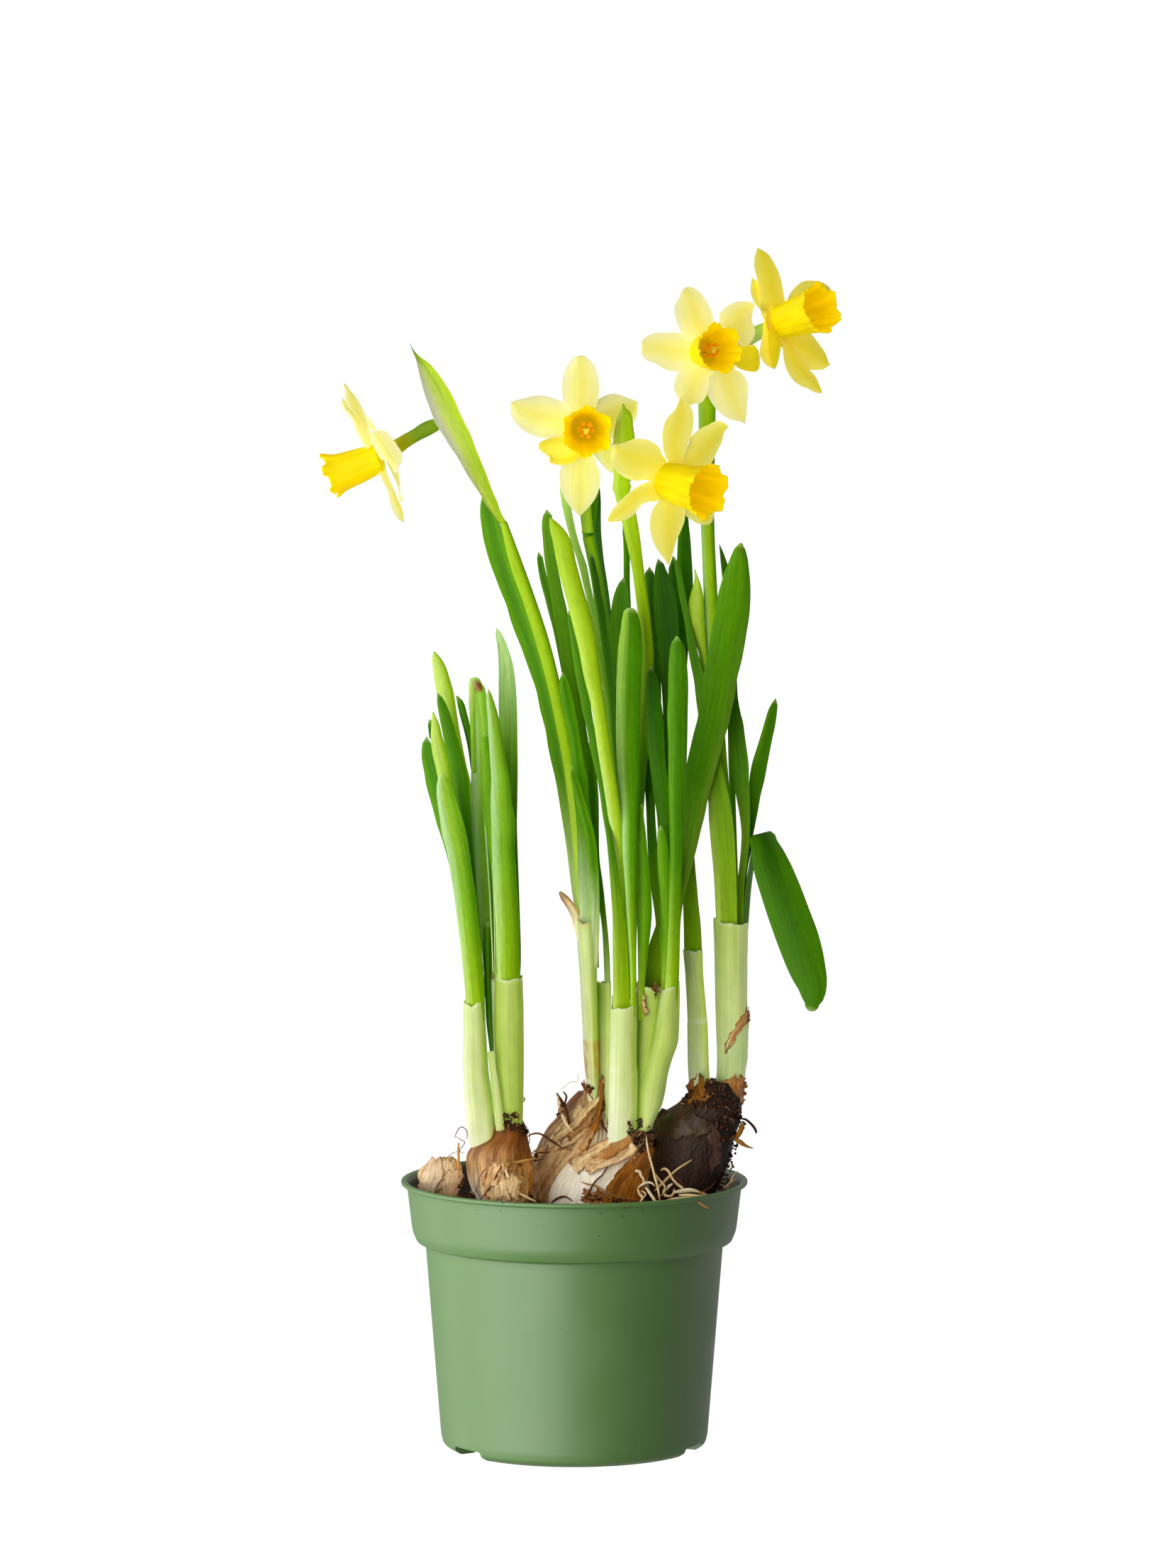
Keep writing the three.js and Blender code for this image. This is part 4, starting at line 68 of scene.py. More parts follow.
    'leaf_middle_5': ((5.11,0.48,244.44,0.12,0,0,0),(5.12,0.48,244.35,0.05,0.01,0,-0.01),(5.15,0.48,244.14,0.13,0.03,0,-0.03),(5.2,0.48,243.73,0.24,0.06,0,-0.05),(5.27,0.48,243.11,0.38,0.1,0,-0.08),(5.34,0.48,242.32,0.53,0.14,0,-0.11),(5.41,0.48,241.5,0.67,0.18,0,-0.13),(5.66,0.53,239.04,1.04,0.28,0,-0.21),(5.9,0.58,236.59,1.28,0.34,0,-0.26),(6.27,0.68,231.68,1.65,0.42,0,-0.33),(6.51,0.78,226.76,1.77,0.45,0,-0.35),(6.73,0.9,219.39,1.75,0.43,0,-0.35),(6.92,1,212.02,1.57,0.37,0,-0.31),(7.19,1.06,207.1,1.35,0.31,0,-0.27),(7.74,1.13,202.18,1.16,0.26,0,-0.23),(8.47,1.22,197.26,1.16,0.26,0,-0.23),(9.08,1.31,192.33,1.16,0.25,0,-0.23),(9.64,1.42,187.4,1.1,0.23,0,-0.22),(10.25,1.52,182.47,0.98,0.2,0,-0.2),(10.74,1.63,177.53,0.98,0.2,0,-0.2),(11.05,1.73,172.6,1.04,0.2,0,-0.21),(11.42,1.94,161.48,1.04,0.19,0,-0.21),(11.48,2.07,154.07,0.98,0.17,0,-0.2)),
    'leaf_middle_6': ((-0.71,-18.42,238.13,0.12,0,0,0),(-0.69,-18.42,238.05,0.07,0.01,0,0.02),(-0.66,-18.42,237.86,0.17,0.02,0,0.04),(-0.61,-18.42,237.49,0.32,0.05,0,0.07),(-0.54,-18.42,236.93,0.5,0.07,0,0.12),(-0.47,-18.42,236.21,0.71,0.1,0,0.17),(-0.4,-18.42,235.46,0.9,0.13,0,0.21),(0.45,-18.04,232.51,1.26,0.17,0,0.29),(1.84,-17.41,227.59,1.44,0.19,0,0.34),(3.59,-16.58,221.19,1.52,0.2,0,0.35),(4.92,-15.94,216.26,1.64,0.21,0,0.38),(5.77,-15.33,211.57,1.76,0.21,0,0.41),(6.38,-14.68,206.63,1.64,0.19,0,0.38),(6.99,-13.76,199.71,1.52,0.17,0,0.35),(7.29,-12.79,192.52,1.46,0.16,0,0.34),(7.3,-11.94,186.32,1.46,0.15,0,0.34),(7.05,-10.56,176.38,1.46,0.14,0,0.34),(6.81,-9.34,167.67,1.22,0.11,0,0.28)),
    'leaf_back_1': ((-4.62,-2.38,335.36,0.12,0,0,0),(-4.59,-2.38,335.26,0.07,0.09,0,-0.01),(-4.53,-2.38,335.02,0.17,0.21,0,-0.03),(-4.44,-2.38,334.54,0.33,0.39,0,-0.05),(-4.33,-2.38,333.83,0.51,0.61,0,-0.09),(-4.2,-2.38,332.91,0.72,0.86,0,-0.12),(-4.07,-2.38,331.96,0.91,1.09,0,-0.15),(-3.34,-2.41,329.53,1.4,1.65,0,-0.23),(-2.43,-2.47,324.67,1.46,1.7,0,-0.24),(-1.34,-2.53,319.8,1.34,1.54,0,-0.22),(-0.12,-2.6,314.94,1.22,1.38,0,-0.2),(1.46,-2.68,310.08,1.22,1.36,0,-0.2),(3.04,-2.77,305.21,1.34,1.48,0,-0.22),(4.07,-2.88,300.35,1.28,1.39,0,-0.21),(5.17,-3,295.48,1.16,1.24,0,-0.19),(6.2,-3.14,290.62,1.22,1.29,0,-0.2),(7.3,-3.3,285.75,1.22,1.27,0,-0.2),(8.27,-3.47,280.88,1.22,1.25,0,-0.2),(9,-3.65,276.02,1.22,1.23,0,-0.2),(9.73,-3.84,271.15,1.22,1.22,0,-0.2),(10.58,-4.03,266.28,1.34,1.32,0,-0.22),(11.44,-4.19,261.41,1.22,1.18,0,-0.2),(12.17,-4.32,256.54,1.22,1.17,0,-0.2),(12.66,-4.38,251.66,1.22,1.15,0,-0.2),(13.15,-4.37,246.77,1.22,1.14,0,-0.2),(13.7,-4.25,241.87,1.16,1.06,0,-0.19),(14.49,-3.69,232.04,1.1,0.98,0,-0.18),(15.98,-1.43,207.34,1.1,0.92,0,-0.18),(16.73,0.93,182.53,1.1,0.85,0,-0.18),(17.13,3.22,157.64,0.98,0.71,0,-0.16),(17.13,4.14,147.65,0.98,0.69,0,-0.16)),
    'leaf_front_1': ((-1.92,-13.75,290.99,0.12,0,0,0),(-1.9,-13.75,290.92,0.05,-0.02,0,0.01),(-1.87,-13.75,290.77,0.13,-0.05,0,0.03),(-1.83,-13.75,290.46,0.24,-0.09,0,0.06),(-1.76,-13.75,290,0.37,-0.14,0,0.1),(-1.69,-13.75,289.41,0.53,-0.19,0,0.14),(-1.62,-13.75,288.8,0.67,-0.24,0,0.18),(-0.59,-13.85,283.95,1.09,-0.39,0,0.29),(0.26,-13.96,279.11,1.45,-0.51,0,0.39),(1.1,-14.08,274.26,1.58,-0.54,0,0.42),(2.01,-14.21,269.41,1.76,-0.59,0,0.47),(2.98,-14.38,264.56,1.76,-0.58,0,0.47),(3.89,-14.57,259.71,1.7,-0.55,0,0.45),(4.19,-14.69,257.29,1.64,-0.52,0,0.44),(5.71,-15.1,250.03,1.33,-0.41,0,0.36),(6.56,-15.46,245.19,1.46,-0.44,0,0.39),(8.07,-16.15,237.95,1.27,-0.37,0,0.34),(8.98,-16.73,233.13,0.97,-0.28,0,0.26),(9.71,-17.41,228.32,0.97,-0.27,0,0.26),(10.8,-18.64,221.13,1.09,-0.29,0,0.29),(12.01,-19.75,213.93,1.09,-0.28,0,0.29),(12.68,-20.19,209.1,1.27,-0.32,0,0.34),(14.19,-20.27,196.93,1.82,-0.43,0,0.48),(15.11,-19.68,187.12,2.12,-0.47,0,0.57),(15.67,-18.57,174.81,2.55,-0.53,0,0.68),(16.1,-17.34,160.01,2.86,-0.54,0,0.76),(16.17,-16.75,151.38,2.8,-0.49,0,0.75)),
    'leaf_front_2': ((19.53,-23.84,292.42,0.12,0,0,0),(19.52,-23.84,292.4,0.26,0.02,0,0.1),(19.5,-23.84,292.36,0.48,0.04,0,0.17),(19.48,-23.84,292.27,0.74,0.06,0,0.27),(19.46,-23.84,292.14,1.01,0.09,0,0.37),(19.42,-23.84,291.98,1.28,0.11,0,0.47),(19.39,-23.84,291.81,1.51,0.13,0,0.55),(19.21,-23.73,290.6,2.29,0.2,0,0.84),(19.36,-23.38,286.95,3.19,0.29,0,1.1),(19.41,-23.15,284.52,3.55,0.33,0,1.1),(19.34,-22.92,282.09,3.86,0.37,0,1.1),(19.19,-22.47,277.22,4.26,0.43,0,1.1),(19,-22.02,272.35,4.34,0.45,0,1.1),(18.79,-21.57,267.48,4.31,0.47,0,1.1),(18.58,-21.14,262.61,4.17,0.47,0,1.1),(18.45,-20.73,257.73,4.11,0.48,0,1.1),(18.43,-19.84,245.53,4.03,0.52,0,1.1),(18.72,-19.34,233.35,3.68,0.51,0,1.1),(19.16,-19.5,221.2,2.91,0.44,0,1.07),(19.22,-20.05,209.09,2.61,0.42,0,0.96),(19.41,-20.41,196.95,1.94,0.33,0,0.71),(19.59,-20.53,187.21,1.52,0.27,0,0.56),(20.05,-20.38,175,1.24,0.24,0,0.45),(20.28,-19.62,160.27,0.97,0.2,0,0.36),(20.23,-18.94,151.64,0.91,0.19,0,0.33)),
    'leaf_back_2': ((17.02,-3.97,301.74,0.12,0,0,0),(17.01,-3.97,301.7,0.18,-0.04,0,-0.05),(17,-3.97,301.61,0.33,-0.07,0,-0.1),(16.97,-3.97,301.42,0.52,-0.11,0,-0.16),(16.94,-3.97,301.14,0.71,-0.15,0,-0.21),(16.9,-3.97,300.78,0.9,-0.19,0,-0.27),(16.86,-3.97,300.41,1.06,-0.22,0,-0.32),(16.54,-3.82,297.96,1.95,-0.4,0,-0.58),(16.21,-3.68,295.52,2.52,-0.51,0,-0.76),(16.18,-3.54,293.07,3.04,-0.6,0,-0.9),(16.12,-3.4,290.63,3.35,-0.64,0,-0.9),(16.06,-3.12,285.74,3.65,-0.67,0,-0.9),(16.37,-2.83,280.84,3.59,-0.62,0,-0.9),(16.79,-2.55,275.95,3.3,-0.54,0,-0.9),(17.11,-2.28,271.05,3.11,-0.48,0,-0.9),(17.23,-2.02,266.14,2.99,-0.43,0,-0.9),(17.42,-1.52,256.33,2.8,-0.35,0,-0.84),(17.8,-0.66,231.79,2.44,-0.18,0,-0.73),(18.19,1.24,207.09,2.08,-0.06,0,-0.62),(18.1,3.49,182.26,1.72,0.03,0,-0.51),(18,5.65,157.36,1.6,0.11,0,-0.48),(17.88,6.55,147.36,1.47,0.13,0,-0.44)),
    'leaf_back_3': ((16.87,14.09,320.77,0.12,0,0,0),(16.89,14.09,320.68,0.06,0.05,0,-0.01),(16.94,14.09,320.48,0.14,0.12,0,-0.02),(17.02,14.09,320.06,0.27,0.22,0,-0.04),(17.12,14.09,319.45,0.42,0.35,0,-0.06),(17.23,14.09,318.65,0.59,0.49,0,-0.08),(17.34,14.09,317.83,0.75,0.63,0,-0.1),(17.82,14.08,314.15,1,0.84,0,-0.13),(18.08,14.05,309.25,1.11,0.92,0,-0.15),(18.09,14.03,304.35,1.12,0.91,0,-0.15),(18.1,14,299.44,1.1,0.89,0,-0.15),(18.29,13.96,292.08,1.16,0.93,0,-0.16),(18.6,13.88,279.81,1.23,0.95,0,-0.16),(18.98,13.7,255.23,1.35,0.99,0,-0.18),(19.36,13.65,230.6,1.23,0.86,0,-0.16),(19.38,14.18,205.87,1.23,0.81,0,-0.16),(19.27,15.55,181,1.11,0.69,0,-0.15),(19.18,17.62,155.97,0.99,0.58,0,-0.13),(19.19,18.5,145.93,0.99,0.57,0,-0.13)),
    'leaf_back_4': ((5.83,-16.23,310.87,0.12,0,0,0),(5.84,-16.23,310.83,0.13,-0.03,0,-0.03),(5.87,-16.23,310.73,0.23,-0.06,0,-0.05),(5.91,-16.23,310.55,0.36,-0.1,0,-0.07),(5.96,-16.23,310.27,0.49,-0.13,0,-0.1),(6.01,-16.23,309.91,0.62,-0.16,0,-0.12),(6.07,-16.23,309.53,0.73,-0.19,0,-0.15),(6.22,-16.08,308.32,0.82,-0.22,0,-0.16),(6.59,-15.79,305.88,1.05,-0.28,0,-0.21),(7.52,-15.21,301.01,1.21,-0.31,0,-0.24),(8.25,-14.62,296.13,1.21,-0.3,0,-0.24),(9.1,-14.03,291.24,1.33,-0.31,0,-0.27),(9.77,-13.44,286.36,1.27,-0.29,0,-0.25),(10.44,-12.84,281.46,1.21,-0.27,0,-0.24),(12.26,-11.32,269.21,1.34,-0.26,0,-0.27),(13.73,-9.78,256.93,1.34,-0.24,0,-0.27),(15.58,-6.77,232.3,1.22,-0.17,0,-0.24),(16.45,-4.04,207.58,1.1,-0.11,0,-0.22),(17.09,-1.58,182.79,0.98,-0.05,0,-0.2),(17.23,0.65,157.93,0.86,-0.01,0,-0.17),(17.24,1.61,147.95,0.86,0,0,-0.17)),
    'leaf_back_5': ((7.8,13.89,336.69,0.12,0,0,0),(7.8,13.89,336.53,0.09,-0.05,0,-0.02),(7.79,13.89,336.15,0.22,-0.13,0,-0.04),(7.78,13.89,335.4,0.42,-0.24,0,-0.07),(7.77,13.89,334.27,0.65,-0.38,0,-0.11),(7.75,13.89,332.82,0.92,-0.53,0,-0.15),(7.74,13.89,331.31,1.16,-0.67,0,-0.19),(7.62,13.92,328.86,1.53,-0.88,0,-0.26),(7.62,14.01,321.51,1.65,-0.93,0,-0.28),(7.86,14.07,316.6,1.53,-0.86,0,-0.26),(8.42,14.14,311.7,1.35,-0.75,0,-0.22),(9.03,14.21,306.79,1.23,-0.67,0,-0.2),(10.5,14.35,296.97,1.23,-0.66,0,-0.2),(12.59,14.63,279.76,1.35,-0.69,0,-0.22),(15.18,15.16,255.12,1.47,-0.71,0,-0.25),(16.79,15.85,230.41,1.35,-0.62,0,-0.23),(17.42,16.7,205.63,1.23,-0.53,0,-0.21),(17.32,18.02,180.74,1.11,-0.45,0,-0.18),(17.34,20.02,155.7,1.11,-0.42,0,-0.19),(17.35,20.89,145.65,1.11,-0.4,0,-0.19)),
    'leaf_centre_5': ((25.9,1.79,304.98,0.12,0,0,0),(25.89,1.79,304.94,0.22,-0.04,0,-0.04),(25.88,1.79,304.86,0.4,-0.07,0,-0.08),(25.86,1.79,304.68,0.62,-0.11,0,-0.12),(25.84,1.79,304.43,0.85,-0.15,0,-0.17),(25.81,1.79,304.1,1.08,-0.19,0,-0.22),(25.78,1.79,303.76,1.27,-0.22,0,-0.25),(26.1,1.89,301.31,1.68,-0.29,0,-0.34),(26.32,2.02,297.64,1.71,-0.29,0,-0.34),(26.45,2.2,292.75,1.71,-0.29,0,-0.34),(26.83,2.47,285.4,1.71,-0.28,0,-0.34),(26.95,2.66,280.5,1.83,-0.3,0,-0.37),(27.08,2.85,275.6,2.08,-0.33,0,-0.42),(27.15,3.04,270.69,2.5,-0.39,0,-0.5),(27.03,3.23,265.79,2.87,-0.44,0,-0.57),(26.73,3.41,260.87,3.3,-0.5,0,-0.6),(26.43,3.59,255.96,3.61,-0.53,0,-0.6),(26.38,3.92,243.68,2.93,-0.41,0,-0.59),(26.15,3.95,231.4,1.96,-0.26,0,-0.39),(26.28,3.72,224.06,1.59,-0.21,0,-0.32),(27.13,2.57,206.96,1.71,-0.21,0,-0.34),(28.11,1.48,194.77,1.71,-0.19,0,-0.34),(29.7,0.35,182.59,1.59,-0.17,0,-0.32),(30.07,-0.72,170.4,1.71,-0.17,0,-0.34),(30.07,-1.66,158.2,1.71,-0.16,0,-0.34),(29.58,-2.2,150.87,1.71,-0.15,0,-0.34)),
    'leaf_centre_4': ((28.7,-3.52,308.05,0.12,0,0,0),(28.74,-3.52,308,0.22,-0.05,0,-0.07),(28.8,-3.52,307.89,0.41,-0.09,0,-0.14),(28.91,-3.52,307.67,0.63,-0.13,0,-0.21),(29.04,-3.52,307.34,0.86,-0.18,0,-0.29),(29.2,-3.52,306.91,1.09,-0.23,0,-0.36),(29.35,-3.52,306.47,1.29,-0.27,0,-0.43),(29.5,-3.56,305.25,1.63,-0.34,0,-0.54),(29.85,-3.62,302.82,2.37,-0.49,0,-0.79),(30.37,-3.69,300.39,2.96,-0.59,0,-0.99),(30.81,-3.75,297.96,3.49,-0.68,0,-1),(31.02,-3.82,295.53,3.65,-0.7,0,-1),(31.32,-3.88,293.09,3.91,-0.73,0,-1),(31.57,-3.95,290.66,3.95,-0.72,0,-1),(31.96,-4.1,285.8,3.98,-0.69,0,-1),(32.3,-4.25,280.93,3.83,-0.63,0,-1),(32.66,-4.42,276.07,3.6,-0.55,0,-1),(32.83,-4.6,271.2,3.43,-0.5,0,-1),(33.19,-5.03,261.47,2.96,-0.37,0,-0.99),(33.25,-5.27,256.61,2.78,-0.33,0,-0.93),(33.11,-6.73,232.29,2.68,-0.19,0,-0.89),(32.76,-8.02,207.96,2.56,-0.07,0,-0.85),(32.11,-7.9,186.88,2.5,0.03,0,-0.83),(30.96,-7.7,180.98,3.17,0.08,0,-1),(29.9,-7.48,175.56,3.99,0.13,0,-1),(29.14,-7.28,171.12,4.51,0.19,0,-1),(28.23,-7.03,166.43,4.94,0.25,0,-1),(27.75,-6.75,161.73,4.94,0.29,0,-1),(26.97,-6.21,153.81,4.28,0.32,0,-1),(26.13,-5.65,146.36,3.67,0.32,0,-1)),
    'leaf_centre_1': ((26.12,-14.08,271.95,0.12,0,0,0),(26.12,-14.08,271.91,0.15,-0.02,0,0.04),(26.13,-14.08,271.82,0.27,-0.03,0,0.08),(26.14,-14.08,271.63,0.42,-0.04,0,0.13),(26.15,-14.08,271.35,0.58,-0.06,0,0.17),(26.17,-14.08,270.99,0.73,-0.08,0,0.22),(26.18,-14.08,270.61,0.86,-0.09,0,0.26),(26.26,-14.04,269.4,1.39,-0.15,0,0.42),(26.59,-13.97,266.96,2.01,-0.21,0,0.6),(26.76,-13.9,264.53,2.3,-0.24,0,0.69),(26.88,-13.82,262.09,2.47,-0.26,0,0.74),(27.22,-13.67,257.22,2.87,-0.3,0,0.86),(27.43,-13.52,252.34,3.15,-0.32,0,0.9),(27.68,-13.37,247.46,3.16,-0.32,0,0.9),(28.14,-13.19,241.85,2.89,-0.29,0,0.87),(28.66,-13.06,237.7,2.79,-0.28,0,0.84),(29.38,-12.9,232.81,2.78,-0.28,0,0.83),(29.87,-12.73,227.92,2.68,-0.27,0,0.81),(30.62,-12.48,220.58,2.31,-0.23,0,0.69),(31.01,-12.02,208.33,2.07,-0.2,0,0.62),(31.28,-10.94,183.77,2.07,-0.19,0,0.62),(31.32,-9.72,162.07,1.83,-0.16,0,0.55),(30.97,-9.1,151.69,1.71,-0.15,0,0.51)),
    'leaf_centre_2': ((29.57,-20.16,217.73,0.12,0,0,0),(29.57,-20.16,217.69,0.17,-0.01,0,0.04),(29.57,-20.16,217.6,0.31,-0.03,0,0.07),(29.57,-20.16,217.41,0.47,-0.04,0,0.11),(29.57,-20.16,217.13,0.65,-0.06,0,0.15),(29.57,-20.16,216.77,0.82,-0.07,0,0.19),(29.57,-20.16,216.4,0.97,-0.08,0,0.23),(29.74,-20.01,215.17,1.28,-0.11,0,0.3),(30.12,-19.55,211.47,1.75,-0.15,0,0.41),(30.28,-19.25,209.01,1.93,-0.17,0,0.45),(30.57,-18.64,204.08,2.06,-0.18,0,0.48),(30.88,-18.04,199.15,2,-0.18,0,0.47),(31.2,-17.43,194.21,1.82,-0.16,0,0.42),(31.39,-16.82,189.27,1.64,-0.14,0,0.38),(31.53,-16.2,184.32,1.47,-0.13,0,0.34),(31.37,-14.96,174.41,1.22,-0.11,0,0.28),(31.15,-13.43,162.5,1.22,-0.11,0,0.28),(30.33,-12.09,152.05,1.34,-0.12,0,0.31)),
    'leaf_front_3': ((23.15,-16.33,225.06,0.12,0,0,0),(23.15,-16.33,225.03,0.09,-0.01,0,0.02),(23.15,-16.33,224.96,0.17,-0.02,0,0.03),(23.14,-16.33,224.83,0.27,-0.02,0,0.05),(23.13,-16.33,224.62,0.37,-0.03,0,0.07),(23.13,-16.33,224.36,0.46,-0.04,0,0.09),(23.12,-16.33,224.09,0.55,-0.05,0,0.11),(22.91,-16.4,220.93,0.87,-0.08,0,0.17),(23.14,-16.55,216.07,1.25,-0.11,0,0.25),(23.43,-16.76,208.78,1.7,-0.15,0,0.34),(23.61,-16.87,202.69,2.12,-0.19,0,0.42),(23.82,-16.93,196.6,2.4,-0.21,0,0.48),(24.02,-16.88,186.83,2.57,-0.23,0,0.51),(23.93,-16.79,181.94,2.31,-0.2,0,0.46),(23.57,-16.57,174.59,1.82,-0.16,0,0.36),(23.22,-16.29,167.47,1.34,-0.12,0,0.27),(23.04,-15.93,159.84,1.03,-0.09,0,0.21),(22.93,-15.42,149.99,0.91,-0.08,0,0.18)),
    'leaf_centre_3': ((35.07,-27.34,282.97,0.12,0,0,0),(35.07,-27.34,282.95,0.18,0.02,0,0.06),(35.07,-27.34,282.91,0.32,0.05,0,0.11),(35.06,-27.34,282.82,0.5,0.07,0,0.17),(35.05,-27.34,282.7,0.69,0.1,0,0.23),(35.04,-27.34,282.53,0.87,0.12,0,0.29),(35.04,-27.34,282.36,1.02,0.14,0,0.34),(34.93,-27.25,281.15,1.71,0.24,0,0.57),(35.1,-27.16,279.94,2.24,0.31,0,0.75),(35.31,-26.98,277.51,2.74,0.38,0,0.91),(35.35,-26.8,275.09,2.96,0.41,0,0.99),(35.41,-26.44,270.23,3.3,0.45,0,1),(35.51,-26.08,265.37,3.41,0.46,0,1),(35.44,-25.71,260.51,3.44,0.46,0,1),(35.34,-25.53,258.08,3.5,0.47,0,1),(35.39,-24.57,245.9,3.24,0.42,0,1),(35.31,-23.98,238.58,3.09,0.4,0,1),(35.19,-23.56,233.7,2.91,0.37,0,0.97),(35.04,-22.93,226.36,2.6,0.33,0,0.87),(35.03,-22.26,219.02,2.38,0.29,0,0.79),(35.01,-21.62,212.15,2.23,0.27,0,0.74),(34.86,-20.9,204.79,2.13,0.25,0,0.71),(34.6,-19.88,194.95,2.1,0.24,0,0.7),(34.37,-18.76,184.59,2.04,0.23,0,0.68),(34.09,-17.65,174.71,2.15,0.24,0,0.72),(33.61,-16.29,162.82,2.3,0.25,0,0.77),(32.73,-15.08,152.4,2.31,0.24,0,0.77)),
    'leaf_right_1': ((37.58,7.24,327.18,0.12,0,0,0),(37.59,7.24,327.12,0.05,0.01,0,-0.01),(37.6,7.24,326.98,0.12,0.02,0,-0.03),(37.62,7.24,326.71,0.22,0.05,0,-0.07),(37.65,7.24,326.3,0.34,0.07,0,-0.1),(37.68,7.24,325.77,0.48,0.1,0,-0.14),(37.71,7.24,325.23,0.61,0.13,0,-0.18),(37.85,7.06,323.04,1.25,0.26,0,-0.37),(37.77,6.76,319.38,1.65,0.34,0,-0.49),(37.79,6.37,314.52,2.16,0.44,0,-0.65),(37.83,5.99,309.65,2.44,0.49,0,-0.73),(37.87,5.62,304.78,2.72,0.53,0,-0.82),(37.87,5.27,299.91,2.97,0.57,0,-0.89),(37.59,4.8,292.6,2.93,0.55,0,-0.88),(36.98,4.42,285.29,2.56,0.46,0,-0.77),(36.49,4.2,280.41,2.32,0.41,0,-0.7),(36.01,3.7,268.2,2.32,0.39,0,-0.7),(36.02,3.17,255.99,2.32,0.37,0,-0.7),(36.46,2.25,236.45,2.02,0.29,0,-0.61),(38,1.61,219.33,2.08,0.27,0,-0.62),(39.2,1.24,204.38,2.29,0.27,0,-0.69),(39.48,1.14,200.21,2.32,0.27,0,-0.7),(39.79,1.01,194.82,2.51,0.28,0,-0.75),(40.11,0.87,189.18,2.66,0.28,0,-0.8),(40.65,0.67,181.82,2.94,0.3,0,-0.88),(41,0.39,172.5,3.08,0.29,0,-0.9),(41.45,0.14,164.15,2.79,0.24,0,-0.84)),
    'leaf_centre_6': ((34.08,8.51,308.55,0.12,0,0,0),(34.08,8.51,308.49,0.06,-0.01,0,-0.01),(34.09,8.51,308.35,0.15,-0.02,0,-0.03),(34.1,8.51,308.08,0.28,-0.04,0,-0.06),(34.11,8.51,307.67,0.45,-0.06,0,-0.09),(34.13,8.51,307.14,0.63,-0.09,0,-0.13),(34.14,8.51,306.59,0.79,-0.11,0,-0.16),(34.14,8.44,304.64,1.53,-0.21,0,-0.31),(34.39,8.36,302.68,1.89,-0.26,0,-0.38),(35,8.15,297.31,2.14,-0.28,0,-0.43),(35.8,7.93,292.42,2.32,-0.3,0,-0.46),(36.53,7.69,287.54,2.32,-0.29,0,-0.46),(37.15,7.29,280.22,2.2,-0.26,0,-0.44),(36.91,6.6,268.01,1.96,-0.21,0,-0.39),(36.55,5.96,255.79,2.08,-0.2,0,-0.42),(35.09,4.81,231.33,2.08,-0.15,0,-0.42),(34.24,3.34,206.89,1.96,-0.1,0,-0.39),(33.88,1.89,182.43,1.84,-0.05,0,-0.37),(33.64,0.64,160.89,1.84,-0.02,0,-0.37),(32.67,0,150.61,1.84,0,0,-0.37)),
    'leaf_centre_7': ((57.03,-16.7,314.2,0.12,0,0,0),(57.02,-16.7,314.17,0.22,0.06,0,0.07),(56.99,-16.7,314.1,0.41,0.1,0,0.12),(56.95,-16.7,313.96,0.63,0.16,0,0.19),(56.89,-16.7,313.75,0.86,0.21,0,0.26),(56.83,-16.7,313.47,1.09,0.27,0,0.33),(56.77,-16.7,313.19,1.28,0.32,0,0.38),(56.6,-16.62,311.97,1.93,0.48,0,0.58),(56.51,-16.54,310.76,2.39,0.6,0,0.72),(56.33,-16.38,308.33,3.14,0.79,0,0.9),(56.04,-16.22,305.9,3.77,0.96,0,0.9),(55.67,-16.06,303.47,4.43,1.13,0,0.9),(55.42,-15.9,301.04,4.9,1.26,0,0.9),(55.13,-15.73,298.61,5.3,1.38,0,0.9),(54.54,-15.4,293.75,5.81,1.53,0,0.9),(53.98,-15.06,288.88,6.02,1.6,0,0.9),(53.09,-14.69,284.01,6.13,1.65,0,0.9),(52.36,-14.32,279.13,6.06,1.65,0,0.9),(51.49,-13.91,274.25,5.98,1.65,0,0.9),(50.41,-13.49,269.36,5.83,1.63,0,0.9),(49.74,-13.04,264.47,5.82,1.65,0,0.9),(49.41,-12.8,262.02,5.85,1.67,0,0.9),(48.48,-12.3,257.12,5.63,1.62,0,0.9),(47.64,-11.78,252.21,5.55,1.62,0,0.9),(46.27,-11.23,247.3,5.45,1.61,0,0.9),(45.12,-10.65,242.38,5.41,1.62,0,0.9),(43.87,-10.05,237.45,5.24,1.58,0,0.9),(42.87,-9.44,232.52,5.05,1.54,0,0.9),(41.5,-8.51,225.12,4.5,1.4,0,0.9),(40.84,-7.91,220.18,4.2,1.32,0,0.9),(40.09,-7.34,215.23,3.68,1.17,0,0.9),(39.35,-6.82,210.29,3.29,1.06,0,0.9),(38.53,-6.37,205.35,2.83,0.92,0,0.85),(37.74,-6.01,200.42,2.39,0.79,0,0.72),(36.93,-5.72,195.49,1.94,0.64,0,0.58),(36.17,-5.49,190.56,1.54,0.52,0,0.46),(35.63,-5.32,185.64,1.35,0.46,0,0.41),(35,-5.05,173.33,1.32,0.46,0,0.4),(34.59,-5.01,161.54,1.38,0.49,0,0.41),(33.46,-5.1,151.22,1.47,0.53,0,0.44)),
